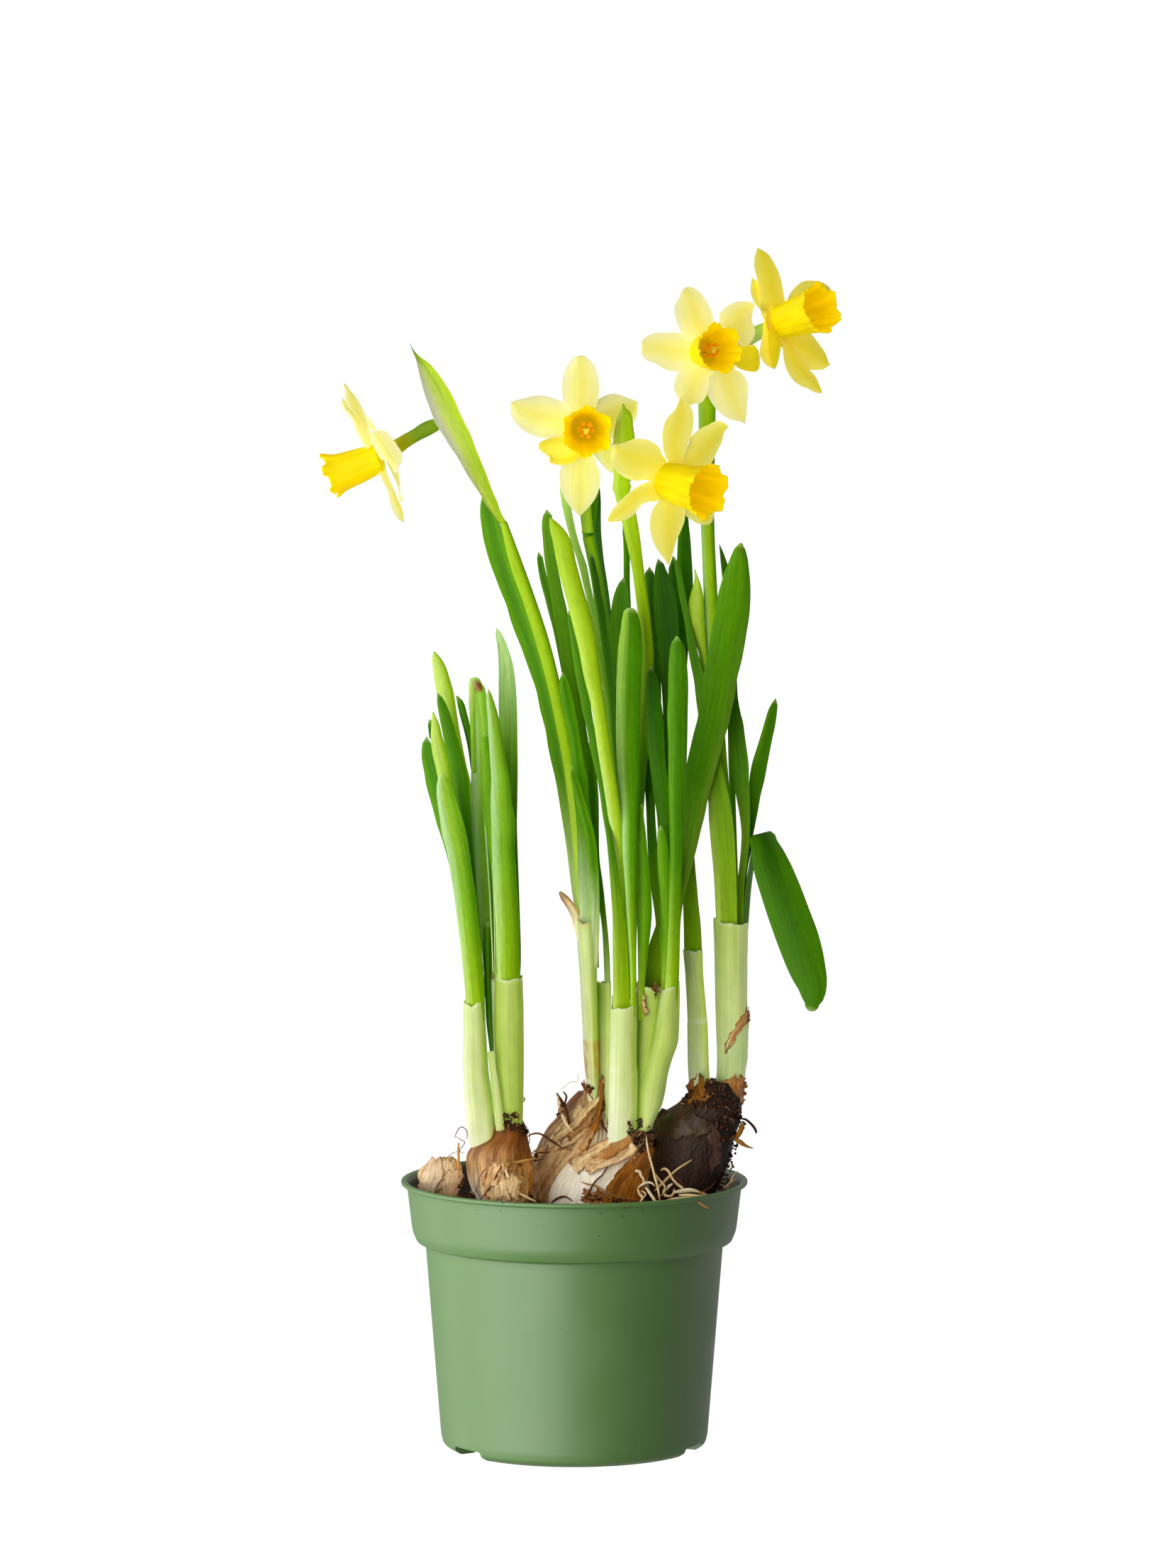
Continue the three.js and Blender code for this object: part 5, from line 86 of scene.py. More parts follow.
    'leaf_right_5': ((50.14,14.08,312.19,0.12,0,0,0),(50.17,14.08,312.14,0.04,0.02,0,-0.01),(50.22,14.08,312.02,0.08,0.04,0,-0.01),(50.29,14.08,311.78,0.16,0.07,0,-0.03),(50.39,14.08,311.42,0.25,0.12,0,-0.04),(50.5,14.08,310.96,0.35,0.16,0,-0.06),(50.61,14.08,310.48,0.44,0.21,0,-0.07),(50.93,14.06,309.25,0.64,0.3,0,-0.11),(51.43,14,306.8,0.98,0.45,0,-0.16),(51.97,13.94,304.35,1.3,0.59,0,-0.22),(52.78,13.83,299.45,1.59,0.7,0,-0.27),(53.65,13.65,292.1,1.72,0.73,0,-0.29),(54.03,13.35,279.84,1.59,0.63,0,-0.27),(54.19,12.7,255.3,1.23,0.42,0,-0.2),(54.58,11.96,230.74,1.1,0.32,0,-0.18),(55.47,11.15,206.15,0.98,0.24,0,-0.16),(56.23,10.37,184.01,0.98,0.19,0,-0.16),(56.36,10.02,174.16,0.98,0.17,0,-0.16)),
    'leaf_right_2': ((34.16,-3.82,308.92,0.12,0,0,0),(34.24,-3.82,308.81,0.07,-0.03,0,-0.02),(34.37,-3.82,308.55,0.17,-0.08,0,-0.05),(34.57,-3.82,308.04,0.33,-0.15,0,-0.09),(34.84,-3.82,307.27,0.51,-0.24,0,-0.14),(35.15,-3.82,306.29,0.72,-0.34,0,-0.19),(35.44,-3.82,305.27,0.91,-0.43,0,-0.24),(36.35,-4.09,300.41,0.99,-0.45,0,-0.26),(37.21,-4.34,295.56,1.09,-0.49,0,-0.29),(38.13,-4.54,290.7,1.03,-0.45,0,-0.28),(39.04,-4.66,285.83,0.97,-0.41,0,-0.26),(40.02,-4.7,280.96,1.34,-0.56,0,-0.36),(40.89,-4.68,276.08,1.59,-0.65,0,-0.43),(42.03,-4.64,271.2,1.78,-0.7,0,-0.47),(43.2,-4.6,266.32,1.96,-0.76,0,-0.52),(44.01,-4.55,261.44,2.25,-0.85,0,-0.6),(44.87,-4.51,256.55,2.5,-0.91,0,-0.67),(45.3,-4.49,254.11,2.56,-0.92,0,-0.68),(46.71,-4.44,244.33,2.86,-0.98,0,-0.76),(47.43,-4.4,239.19,3.01,-1,0,-0.8),(48.61,-4.32,232.34,3.28,-1.04,0,-0.8),(49.87,-4.22,224.99,3.65,-1.11,0,-0.8),(50.39,-4.13,220.09,3.99,-1.18,0,-0.8),(50.83,-4.03,215.18,4.12,-1.18,0,-0.8),(51.39,-3.87,208.06,4.06,-1.11,0,-0.8),(51.77,-3.77,203.14,3.94,-1.04,0,-0.8),(52.16,-3.6,195.77,3.83,-0.96,0,-0.8),(52.43,-3.45,188.88,3.73,-0.88,0,-0.8),(52.63,-3.31,182.97,3.54,-0.8,0,-0.8),(52.89,-3.14,175.58,3.3,-0.7,0,-0.8)),
    'leaf_right_3': ((54.02,6.45,271.69,0.12,0,0,0),(54.02,6.45,271.58,0.14,-0.02,0,-0.04),(54.02,6.45,271.33,0.33,-0.06,0,-0.1),(54.02,6.45,270.81,0.61,-0.11,0,-0.18),(54.03,6.45,270.04,0.96,-0.17,0,-0.29),(54.03,6.45,269.05,1.35,-0.24,0,-0.41),(54.03,6.45,268.02,1.71,-0.3,0,-0.51),(54.03,6.29,265.58,2.2,-0.38,0,-0.66),(54.08,6.14,263.13,2.25,-0.38,0,-0.68),(54.19,5.98,260.69,2.24,-0.36,0,-0.67),(54.4,5.82,258.25,2.32,-0.37,0,-0.7),(54.73,5.66,255.81,2.41,-0.37,0,-0.72),(55.1,5.5,253.37,2.53,-0.37,0,-0.76),(55.57,5.34,250.93,2.75,-0.39,0,-0.83),(56.12,5.02,246.05,2.81,-0.38,0,-0.84),(56.73,4.69,241.16,2.94,-0.37,0,-0.88),(57.27,4.34,236.28,2.99,-0.34,0,-0.9),(57.59,3.99,231.4,2.81,-0.3,0,-0.84),(58.15,3.63,226.52,2.4,-0.23,0,-0.72),(58.88,3.08,219.2,1.77,-0.15,0,-0.53),(59.15,2.6,213.1,1.43,-0.1,0,-0.43),(58.82,2.14,207,1.35,-0.08,0,-0.4),(57.48,1.25,194.8,1.22,-0.04,0,-0.37),(57.24,0.68,185.02,1.22,-0.02,0,-0.37),(57,0.25,175.22,1.22,0,0,-0.37)),
    'leaf_right_4': ((69.6,9.84,259.12,0.12,0,0,0),(69.59,9.84,259.08,0.14,0.05,0,-0.04),(69.57,9.84,259,0.26,0.1,0,-0.07),(69.54,9.84,258.84,0.41,0.15,0,-0.11),(69.5,9.84,258.6,0.56,0.2,0,-0.15),(69.46,9.84,258.29,0.71,0.26,0,-0.19),(69.41,9.84,257.96,0.83,0.3,0,-0.22),(68.68,9.71,255.52,1.49,0.54,0,-0.4),(68.1,9.58,253.07,1.78,0.64,0,-0.47),(67.58,9.45,250.62,1.96,0.7,0,-0.52),(66.35,9.2,245.72,2.17,0.76,0,-0.58),(65.08,8.94,240.83,2.44,0.84,0,-0.65),(63.89,8.69,235.93,2.67,0.9,0,-0.71),(63.05,8.44,231.03,2.59,0.86,0,-0.69),(62.35,8.2,226.13,2.08,0.68,0,-0.56),(61.93,7.97,221.23,1.66,0.53,0,-0.44),(61.35,7.75,216.32,1.31,0.41,0,-0.35),(60.71,7.54,211.42,1.04,0.32,0,-0.28),(60.18,7.35,206.51,0.99,0.3,0,-0.26),(59.31,7.17,201.6,0.86,0.26,0,-0.23),(58.65,7.01,196.69,0.92,0.27,0,-0.25),(58.2,6.87,191.77,0.96,0.27,0,-0.26),(57.87,6.64,181.93,0.98,0.27,0,-0.26),(57.88,6.49,174.55,0.98,0.26,0,-0.26)),
    'leaf_right_bent': ((80.82,-21.5,154.02,0.3,0,0.1,0),(81.54,-21.5,157.07,2.9,-0.2,0.7,-0.3),(81.53,-21.2,162.65,4.9,-0.3,1.2,-0.6),(79.85,-20.2,168.4,6.1,-0.3,1.5,-0.8),(77.22,-18.2,176.84,6.9,-0.2,1.7,-0.9),(73.65,-15.2,186.66,6.9,0,1.75,-0.9),(70.32,-11.6,196.07,6.6,0.3,1.8,-0.9),(67.6,-8.2,203.57,6,0.8,1.7,-0.8),(65.98,-4.6,209.35,4.7,2.2,1,-0.6),(64.6,-1,212.69,3.2,3.7,0.6,-0.4),(62.98,2.4,210.42,1.6,4.6,0.2,-0.3),(61.55,3.6,203.42,1.1,4.6,0,-0.3),(60.12,4.2,194.5,1,4.3,0,-0.3),(59.42,4.8,184.59,1,3.7,0,-0.3),(58.84,5.6,174.64,1,2.8,0,-0.2)),
}
SPATHES = {
    'stem_1': ((-56.11,-12.3,382.12,0.08,0,0,-0.07),(-54.85,-12.78,379.47,0.27,0.2,0,-0.27),(-53.15,-13.23,376.66,0.99,0.38,-0.01,-0.86),(-51.3,-13.62,373.86,2.21,0.56,0.39,-1.88),(-49.49,-13.95,370.25,3.2,0.71,0.38,-2.6),(-47.47,-14.18,366.03,4,0.83,0.18,-2.6),(-45.47,-14.31,361.83,4.41,0.92,-0.02,-2.6),(-43.58,-14.32,357.19,4.52,0.98,-0.22,-2.6),(-41.25,-14.22,352.77,4.21,1,-0.63,-2.6),(-39.13,-14.01,348.93,3.92,0.98,-1.24,-2.6),(-36.97,-13.7,344.7,3.29,0.92,-1.03,-2.6),(-34.86,-13.3,340.25,3.01,0.83,-1.05,-2.6),(-32.44,-12.85,335.6,2.61,0.71,-0.84,-2.3),(-30.15,-12.36,331.14,2.08,0.56,-0.43,-1.79),(-28.02,-11.92,326.89,1.81,0.38,-0.62,-1.59),(-25.82,-12.1,323.07,1.21,0.2,-0.01,-0.99),(-23.99,-12.3,320.66,1.01,0,0,-0.82)),
    'stem_2': ((6.33,12.58,343.59,0.3,0,0,0.11),(6.08,11.88,340.68,1.5,0,0,0.54),(5.6,9.88,335.13,3,0,0,0.9),(5.11,7.68,328.63,3.2,0,0,0.9),(4.86,5.48,321.88,2.7,0,0,0.9),(4.81,4.28,316.57,2,0,0,0.72),(4.86,3.78,314.15,1.7,0,0,0.61)),
    'stem_4': ((42.4,8.26,389.53,0.3,0,0,0.11),(42.63,7.36,386.38,1.5,0,0,0.54),(43.09,5.16,380.83,3,0,0,0.9),(43.78,2.16,374.33,3.2,0,0,0.9),(44.7,-1.24,367.13,2.7,0,0,0.9),(45.28,-3.04,362.08,2.1,0,0,0.76),(45.47,-3.64,359.43,1.7,0,0,0.61)),
}
STEMS = {
    'bud_stem_left_1': ((-48.26,-13.95,256.26,0.25),(-48.14,-13.95,254.8,0.61),(-47.6,-13.89,252.37,1.27),(-47.13,-13.78,247.49,2),(-46.17,-13.66,242.62,2.49),(-45.03,-13.55,237.74,2.55),(-43.83,-13.38,230.41,2.31),(-42.4,-13.15,220.64,2.07),(-40.36,-12.86,208.41,1.94),(-37.12,-12.33,183.92,1.83),(-34.61,-11.89,159.38,1.71),(-34.26,-11.73,149.55,1.58)),
    'bud_stem_left_2': ((-48.26,-1.78,276.14,0.25),(-47.41,-1.78,273.45,1.58),(-46.5,-1.88,271.02,2.13),(-45.35,-2.08,266.15,2.68),(-44.19,-2.28,261.28,2.86),(-43.22,-2.49,256.4,2.62),(-41.34,-2.9,246.66,2.32),(-39.15,-3.34,236.91,2.07),(-37.27,-3.74,228.37,2.01),(-37.33,-3.92,224.72,1.95),(-37.21,-4.16,219.84,1.83),(-36.12,-4.8,207.65,1.71),(-34.18,-6.19,183.27,1.71),(-33.1,-7.61,158.89,1.83),(-32.98,-8.15,149.12,1.71)),
    'stem_1': ((-24.02,-12.32,320.97,1.15),(-19.89,-11.79,307.11,2.13),(-15.01,-11.21,293.22,2.22),(-10.61,-10.6,279.31,2.31),(-7,-9.98,265.38,2.23),(-4.14,-9.31,251.43,2.13),(-1.65,-8.58,237.44,2.07),(0.12,-7.77,223.43,1.98),(1.43,-6.92,209.39,1.95),(2.44,-6.03,195.32,1.95),(3.75,-5.06,181.21,1.86),(4.74,-4.05,167.08,1.83)),
    'bud_stem_middle': ((-8.16,-21.64,322.96,0.25),(-7.02,-21.64,320.67,1.51),(-4.55,-21.81,315.85,2.89),(-2.26,-22.16,306.21,3.26),(0.4,-22.52,296.57,3.26),(2.99,-22.89,286.92,3.44),(4.56,-23.16,279.69,3.2),(6.07,-23.48,270.03,2.9),(8,-23.67,260.36,2.42),(10.06,-23.35,245.81,2.3),(12.82,-21.07,228.63,2.35),(15.18,-15.71,208.68,2.06),(16.42,-13.02,188.88,1.95),(16.83,-12.36,169.23,1.91),(16.92,-12.52,147.19,1.83)),
    'stem_2': ((4.86,3.08,315.4,2.07),(7.91,3.57,300.22,2.04),(9.96,4.08,285.02,2.26),(11.48,4.53,269.79,2.26),(12.85,4.9,254.55,2.26),(14.03,5.16,239.3,2.26),(14.99,5.33,224.03,2.23),(15.79,5.53,208.74,2.21),(16.28,6.09,193.4,2.21),(16.4,7.23,177.97,2.21),(16.41,8.55,162.48,2.21),(16.43,9.94,146.96,2.21)),
    'stem_3': ((16.66,-21.58,361.73,0.25),(16.72,-21.58,360.17,0.78),(17.15,-21.39,358.48,2.05),(17.03,-20.92,354.38,3.01),(16.97,-20.43,350.03,3.68),(16.92,-19.82,344.71,3.98),(16.68,-19.39,341.08,3.62),(16.26,-19.02,337.93,2.84),(16.12,-18.61,334.53,2.9),(16.21,-18.43,333.08,3.26),(16.27,-18.28,331.86,2.72),(16.94,-17.91,328.95,2.66),(17.91,-17.57,326.28,2.66),(18.88,-16.97,321.66,2.66),(20.06,-16.13,315.58,2.45),(21.66,-14.69,305.83,2.03),(23.03,-13.1,296.04,2.06),(24.21,-11.34,286.23,2.12),(25.02,-9.4,276.39,2.19),(24.34,-5.02,256.59,2.19),(22.46,0.85,231.66,2.2),(20.8,6.2,206.62,2.21),(19.61,10.49,181.53,2.21),(18.67,14.31,146.43,2.22)),
    'stem_4': ((45.5,-4.24,363.57,3.03),(45.54,-3.59,346.57,2.77),(45.58,-2.9,329.55,2.43),(46.09,-2.14,312.48,2.3),(46.9,-1.32,295.39,2.39),(47.69,-0.51,278.26,2.36),(48.73,0.3,261.09,2.32),(49.93,1.17,243.89,2.32),(51.37,2.09,226.65,2.3),(52.87,2.93,209.39,2.22),(54.22,3.44,192.12,2.2),(54.87,3.33,174.89,2.21)),
    'bud_stem_right': ((41.4,-3.24,304.38,0.25),(41.82,-3.24,302.31,0.46),(42.09,-3.13,300.36,0.97),(42.15,-3.01,298.41,1.52),(42.08,-2.84,295.47,2.29),(41.91,-2.71,293.03,2.63),(41.88,-2.59,290.58,2.74),(41.99,-2.48,288.14,2.75),(42.27,-2.4,285.7,2.58),(42.73,-2.33,283.25,2.31),(43.15,-2.27,280.81,2.05),(43.63,-2.21,278.36,1.74),(44.12,-2.16,275.92,1.43),(44.62,-2.07,271.03,1.26),(45.02,-1.98,266.14,1.28),(45.71,-1.74,256.35,1.34),(47.83,-0.99,231.82,1.46),(50.08,-0.46,207.25,1.47),(51.1,-0.04,185.09,1.47),(51.37,0.13,175.23,1.47)),
}
FLOWERS = [
    {'centre': (-65.25,-14.32,343.55), 'axis': (-0.918,0.165,-0.345), 'r0': 5, 'r1': 7.1, 'L': 19.4,
     'tube': ((-42.5,-8.2,353,0.9),(-44.4,-9.4,354,1.2),(-46,-11.6,354.4,1.55),(-47.58,-14.32,354.18,2.2),(-50.72,-14.32,352.73,2.45),(-53.63,-14.32,351.04,2.2),(-56.77,-14.32,349.23,2.25),(-60.41,-14.32,346.81,2.6),(-63.8,-14.32,344.52,3.3)),
     'tepals': (((-77.61,-10,366.91,-0.01,3,-0.07,0.53),(-77.41,-10.44,366.53,0.27,2.69,0.08,0.48),(-76.79,-10.88,365.13,1.13,2.38,0.36,0.47),(-76.08,-11.31,363.15,2.01,2.06,0.31,0.51),(-75.14,-11.75,360.87,2.54,1.75,-0.05,0.55),(-73.74,-12.19,357.98,2.61,1.44,-0.77,0.55),(-72.22,-12.62,354.85,1.96,1.12,-0.76,0.42),(-70.65,-13.06,350.76,1.36,0.81,-0.51,0.3),(-69.13,-13.5,347.15,1.19,0.5,-0.26,0.23),(-66.7,-13.41,344.89,0.95,0.4,-0.21,0.19)),
               ((-78.93,-21,363.46,0.33,3,-0.26,0.61),(-78.21,-20.29,361.76,0.56,2.71,-0.25,0.56),(-77.34,-19.57,360.06,0.76,2.43,-0.25,0.51),(-76.04,-18.86,358.53,0.89,2.14,0.06,0.46),(-74.45,-18.14,356.4,1.08,1.86,0.13,0.43),(-72.97,-17.43,353.73,1.52,1.57,0.25,0.44),(-71.31,-16.71,350.21,1.53,1.29,0.14,0.4),(-69.66,-16,347.23,1.3,1,-0.27,0.33),(-66.72,-14.28,344.78,1.04,0.8,-0.22,0.27)),
               ((-61.04,-23,339.03,-0.15,2,-0.25,0.72),(-61.26,-23.75,340.23,-0.63,1.88,-0.95,0.78),(-61.45,-24.5,341.74,-1.38,1.75,-1.75,1.01),(-61.73,-25.25,343.15,-2.4,1.62,-2.16,1.29),(-62.97,-26,344.8,-2.7,1.5,-2.22,1.35),(-64.26,-26.75,346.99,-2.57,1.38,-2.33,1.33),(-65.47,-27.5,349.11,-2,1.25,-2.5,1.22),(-66.64,-28.25,351.02,-1.16,1.12,-2.22,0.98),(-67.54,-29,351.8,-0.39,1,-1.05,0.53),(-66.62,-22.83,348.5,-0.53,1.33,-1.4,0.71),(-65.52,-15.45,344.52,-0.32,0.8,-0.84,0.43)),
               ((-58.43,-18,321.29,-0.31,-2,-0.09,0.36),(-58.68,-17.69,322.12,-0.68,-1.81,-0.46,0.35),(-59.16,-17.38,323.74,-1.28,-1.62,-0.53,0.38),(-60.01,-17.06,326.2,-1.77,-1.44,-0.24,0.41),(-61.28,-16.75,329.03,-1.6,-1.25,-0.07,0.36),(-62.49,-16.44,332.33,-1.24,-1.06,-0.02,0.29),(-63.89,-16.12,334.92,-1.3,-0.88,-0.21,0.28),(-65.22,-15.81,338.29,-1.19,-0.69,-0.46,0.26),(-66.18,-15.5,341.54,-0.71,-0.5,-0.59,0.19)),
               ((-60.2,2.68,328.1,-0.05,0.22,0.22,0.04),(-60.12,2.28,328.51,-0.21,0.86,0.88,0.16),(-60,1.58,329.23,-0.42,1.72,1.76,0.32),(-59.87,0.33,330.48,-0.65,2.67,2.73,0.5),(-59.88,-1.36,332.13,-0.86,3.54,3.61,0.66),(-60.09,-3.18,333.86,-0.99,4.1,4.18,0.76),(-60.49,-4.98,335.54,-1.04,4.31,4.4,0.8),(-61.18,-7.09,337.43,-1.02,4.23,4.31,0.78),(-62.05,-9.2,339.29,-0.88,3.62,3.7,0.67),(-62.93,-11.03,340.88,-0.63,2.59,2.64,0.48),(-63.73,-12.58,342.21,-0.42,1.72,1.76,0.32)),
               ((-73.59,4.68,356.04,-0.12,-0.19,0.21,0.04),(-73.21,4.24,355.85,-0.49,-0.77,0.85,0.16),(-72.55,3.45,355.51,-0.98,-1.55,1.7,0.32),(-71.45,2.06,354.88,-1.51,-2.4,2.64,0.5),(-70.1,0.18,353.94,-2,-3.17,3.49,0.66),(-68.82,-1.86,352.83,-2.32,-3.68,4.05,0.76),(-67.73,-3.87,351.62,-2.44,-3.87,4.26,0.8),(-66.68,-6.23,350.08,-2.39,-3.79,4.17,0.78),(-65.87,-8.61,348.38,-2.05,-3.25,3.58,0.67),(-65.35,-10.67,346.81,-1.46,-2.32,2.56,0.48),(-65.02,-12.42,345.41,-0.98,-1.55,1.7,0.32)))},
    {'centre': (3.41,-13.92,353.2), 'axis': (0.07,-0.996,-0.05), 'r0': 5.3, 'r1': 8, 'L': 15,
     'tube': ((4.62,3.08,316.62,2.1),(4.37,3.38,323.2,1.6),(4.13,2.78,330.53,1.5),(3.89,1.88,337.87,1.6),(3.65,0.48,342.79,2.2),(3.52,-1.92,347.73,2.5),(3.41,-4.92,350.74,2.2),(3.41,-8.92,352.32,2.4),(3.41,-13.52,353.19,3.3)),
     'tepals': (((2.21,-16.65,378.1,0.36,0.04,0,0.08),(2.27,-16.59,377.67,1.63,0.17,0.04,0.36),(2.21,-16.49,376.66,2.89,0.29,0.11,0.65),(2.27,-16.32,375.03,4.16,0.42,0.17,0.93),(2.3,-16.08,372.79,5.4,0.57,-0.01,1),(2.24,-15.79,369.89,6.19,0.65,-0.02,1),(2.24,-15.41,366.27,6.43,0.67,-0.02,1),(2.33,-14.94,361.92,5.8,0.61,-0.02,1),(2.69,-14.5,358.04,4.35,0.46,-0.01,0.97),(2.69,-14.1,354.17,1.93,0.2,-0.01,0.43)),
               ((-21.56,-16.99,362.09,-0.12,-0.05,0.36,0.07),(-20.84,-16.87,361.61,-0.12,-0.15,1.33,0.24),(-20,-16.71,361,0.25,-0.25,2.66,0.48),(-18.55,-16.42,359.94,0.49,-0.39,4.27,0.77),(-16.39,-16.09,358.83,0.73,-0.52,5.71,0.8),(-13.85,-15.77,357.93,1.1,-0.58,6.63,0.8),(-10.84,-15.45,357.1,1.22,-0.61,7.01,0.8),(-7.34,-15.1,356.25,1.09,-0.59,6.77,0.8),(-3.6,-14.71,355.03,0.49,-0.57,5.93,0.8),(0.51,-14.2,352.97,0,-0.33,3.15,0.56),(1.43,-13.51,353.04,0,-0.26,2.52,0.45)),
               ((-10.47,-18.64,344.67,0.04,-0.07,0.73,-0.36),(-10.28,-18.65,344.97,0.06,-0.19,1.88,-0.92),(-9.89,-18.75,345.48,0.04,-0.32,3.06,-1.5),(-9.13,-18.96,345.9,0,-0.4,3.85,-1.89),(-7.56,-18.71,345.9,-0.12,-0.48,4.45,-2.19),(-5.52,-18.07,345.79,-0.24,-0.54,4.9,-2.2),(-3.35,-17.14,345.78,-0.24,-0.55,5,-2.2),(-1.3,-16.01,346.14,-0.36,-0.51,4.48,-2.2),(0.87,-14.74,346.88,-0.36,-0.41,3.58,-1.77),(3.65,-13.39,348.35,-0.24,-0.33,2.91,-1.44),(3.51,-13.1,351.21,-0.19,-0.26,2.33,-1.15)),
               ((2.14,-10.91,323.09,-0.18,-0.02,0,0.04),(2.01,-11.04,324.19,-1.27,-0.13,0.01,0.31),(1.95,-11.22,325.89,-2.91,-0.32,0.13,0.72),(1.96,-11.45,328.08,-4.6,-0.5,0.14,1.1),(2.02,-11.7,330.51,-5.87,-0.63,0.15,1.1),(2.02,-11.95,332.94,-6.72,-0.72,0.15,1.1),(1.98,-12.22,335.49,-7.04,-0.74,0.03,1.1),(2.08,-12.53,338.53,-6.82,-0.7,-0.09,1.1),(2.44,-12.76,341.08,-5.81,-0.58,-0.22,1.1),(3.17,-12.96,343.74,-4.11,-0.43,0.02,1.01),(3.53,-13.25,346.9,-2.3,-0.24,0.01,0.56),(3.45,-13.11,351.21,-1.84,-0.19,0.01,0.45)),
               ((14.49,-9.69,337.03,-0.3,-0.03,-0.06,0.04),(14.13,-9.85,338.19,-1.27,-0.1,-0.36,0.18),(13.34,-9.98,339.77,-2.18,-0.15,-0.72,0.31),(12.25,-10.41,341.9,-2.79,-0.16,-1.27,0.41),(11.03,-11.09,344.22,-3.03,-0.12,-1.87,0.47),(9.46,-12.03,346.86,-2.66,-0.03,-2.42,0.48),(7.64,-13.05,349.06,-2.06,0.01,-2.18,0.4),(4.83,-13.03,351.82,-1.64,0.01,-1.74,0.32)),
               ((21.79,-11.81,361.95,0,0.02,-0.15,0.02),(21.25,-11.84,361.77,0.42,0.14,-0.91,0.2),(20.56,-11.84,361.29,0.95,0.32,-2.12,0.47),(19.25,-11.82,360.41,1.58,0.57,-3.91,0.85),(17.56,-11.92,359.48,2.06,0.78,-5.4,0.9),(15.62,-12.14,358.55,2.55,0.93,-6.4,0.9),(13.57,-12.42,357.38,2.67,1,-6.91,0.9),(11.51,-12.72,355.82,2.54,0.97,-6.79,0.9),(9.33,-13.11,354.5,1.82,0.73,-5.22,0.9),(7.04,-13.59,353.67,0.73,0.33,-2.43,0.51),(5.39,-13.14,353.46,0.58,0.26,-1.94,0.41)))},
    {'centre': (30.84,-26.74,335.81), 'axis': (0.702,-0.692,-0.155), 'r0': 6.3, 'r1': 8.8, 'L': 20.5,
     'tube': ((16.9,-18.6,333.4,1),(18.1,-17.6,336,1.3),(20.08,-16.14,338.06,1.7),(22.75,-14.54,338.73,2.3),(25.16,-15.54,338.04,2.4),(27.06,-18.74,337.19,2.1),(28.96,-22.34,336.48,2.4),(30.6,-26.14,335.79,3.3)),
     'tepals': (((13.4,-41.65,348.44,0.06,0,0.36,0.07),(13.84,-41.65,347.81,0.45,0,1.4,0.29),(14.77,-41.66,346.8,1.31,0,3.25,0.7),(16.39,-41.21,345.42,2.33,0.48,4.97,0.9),(18.55,-39.55,344.08,3.05,1.42,5.8,0.9),(21.02,-37.23,343.34,3.48,1.75,5.98,0.9),(23.43,-34.97,342.89,3.48,1.76,5.97,0.9),(25.73,-32.72,342.1,2.89,1.31,5.65,0.9),(27.91,-30.41,340.63,1.92,0.64,4.9,0.9),(29.85,-28.41,339.72,0.96,0.13,3.36,0.7),(30.39,-26.9,337.6,0.71,0.09,2.5,0.52)),
               ((36.35,-28.46,364.58,0.16,0.13,0.02,-0.05),(36.32,-28.1,362.75,1.21,0.98,0.33,-0.35),(36.45,-27.65,361.06,2.31,1.9,0.43,-0.67),(36.46,-27.28,359.19,3.4,2.89,0.22,-0.99),(36.1,-27.11,356.96,4.38,3.8,-0.11,-1),(35.45,-27.1,354.44,5.05,4.35,-0.01,-1),(34.73,-27.06,351.68,5.04,4.38,-0.14,-1),(34.26,-26.76,348.79,4.44,3.85,-0.13,-1),(34.21,-25.97,345.4,3.65,3.17,-0.11,-1),(34.1,-25.28,342.25,2.56,2.27,-0.32,-0.76),(32.79,-25.56,339.67,2.53,2.25,-0.32,-0.76),(31.72,-25.74,337.56,1.94,1.72,-0.24,-0.58)),
               ((52.71,-11.55,353.49,0.07,0,-0.13,0.03),(51.58,-12.18,353.57,1.02,0.63,-0.56,0.26),(50.44,-13.03,353.29,1.85,1.51,-1.13,0.53),(49.22,-13.81,352.37,2.59,2.32,-1.67,0.77),(47.7,-14.69,350.62,3.26,3.15,-2.33,0.9),(45.93,-15.79,348.73,3.94,3.99,-2.85,0.9),(43.98,-17.18,346.48,4.43,4.49,-3.23,0.9),(41.91,-18.66,344,4.3,4.33,-2.98,0.9),(39.46,-20.67,342.32,2.82,2.75,-1.54,0.85),(36.01,-22.8,339.72,2.26,2.21,-1.24,0.68),(32.23,-25.16,336.86,1.73,1.69,-0.95,0.52)),
               ((11.11,-42.76,323.23,-0.08,-0.09,0.23,-0.05),(11.85,-42.19,323.41,-0.3,-0.46,0.95,-0.22),(13.41,-41.07,324.32,-0.54,-0.87,1.93,-0.44),(15.27,-39.84,325.61,-0.84,-1.28,2.63,-0.61),(17.49,-38.23,327.28,-1.03,-1.55,3.18,-0.74),(19.47,-36.78,329.31,-0.97,-1.51,3.24,-0.74),(21.52,-35.06,330.88,-0.85,-1.39,3.15,-0.71),(23.69,-33.02,331.88,-0.85,-1.4,3.2,-0.72),(26.11,-30.59,332.42,-0.86,-1.41,3.24,-0.73),(28.66,-27.92,332.49,-0.74,-1.25,2.93,-0.65),(29.79,-26.71,334.21,-0.59,-0.99,2.33,-0.52)),
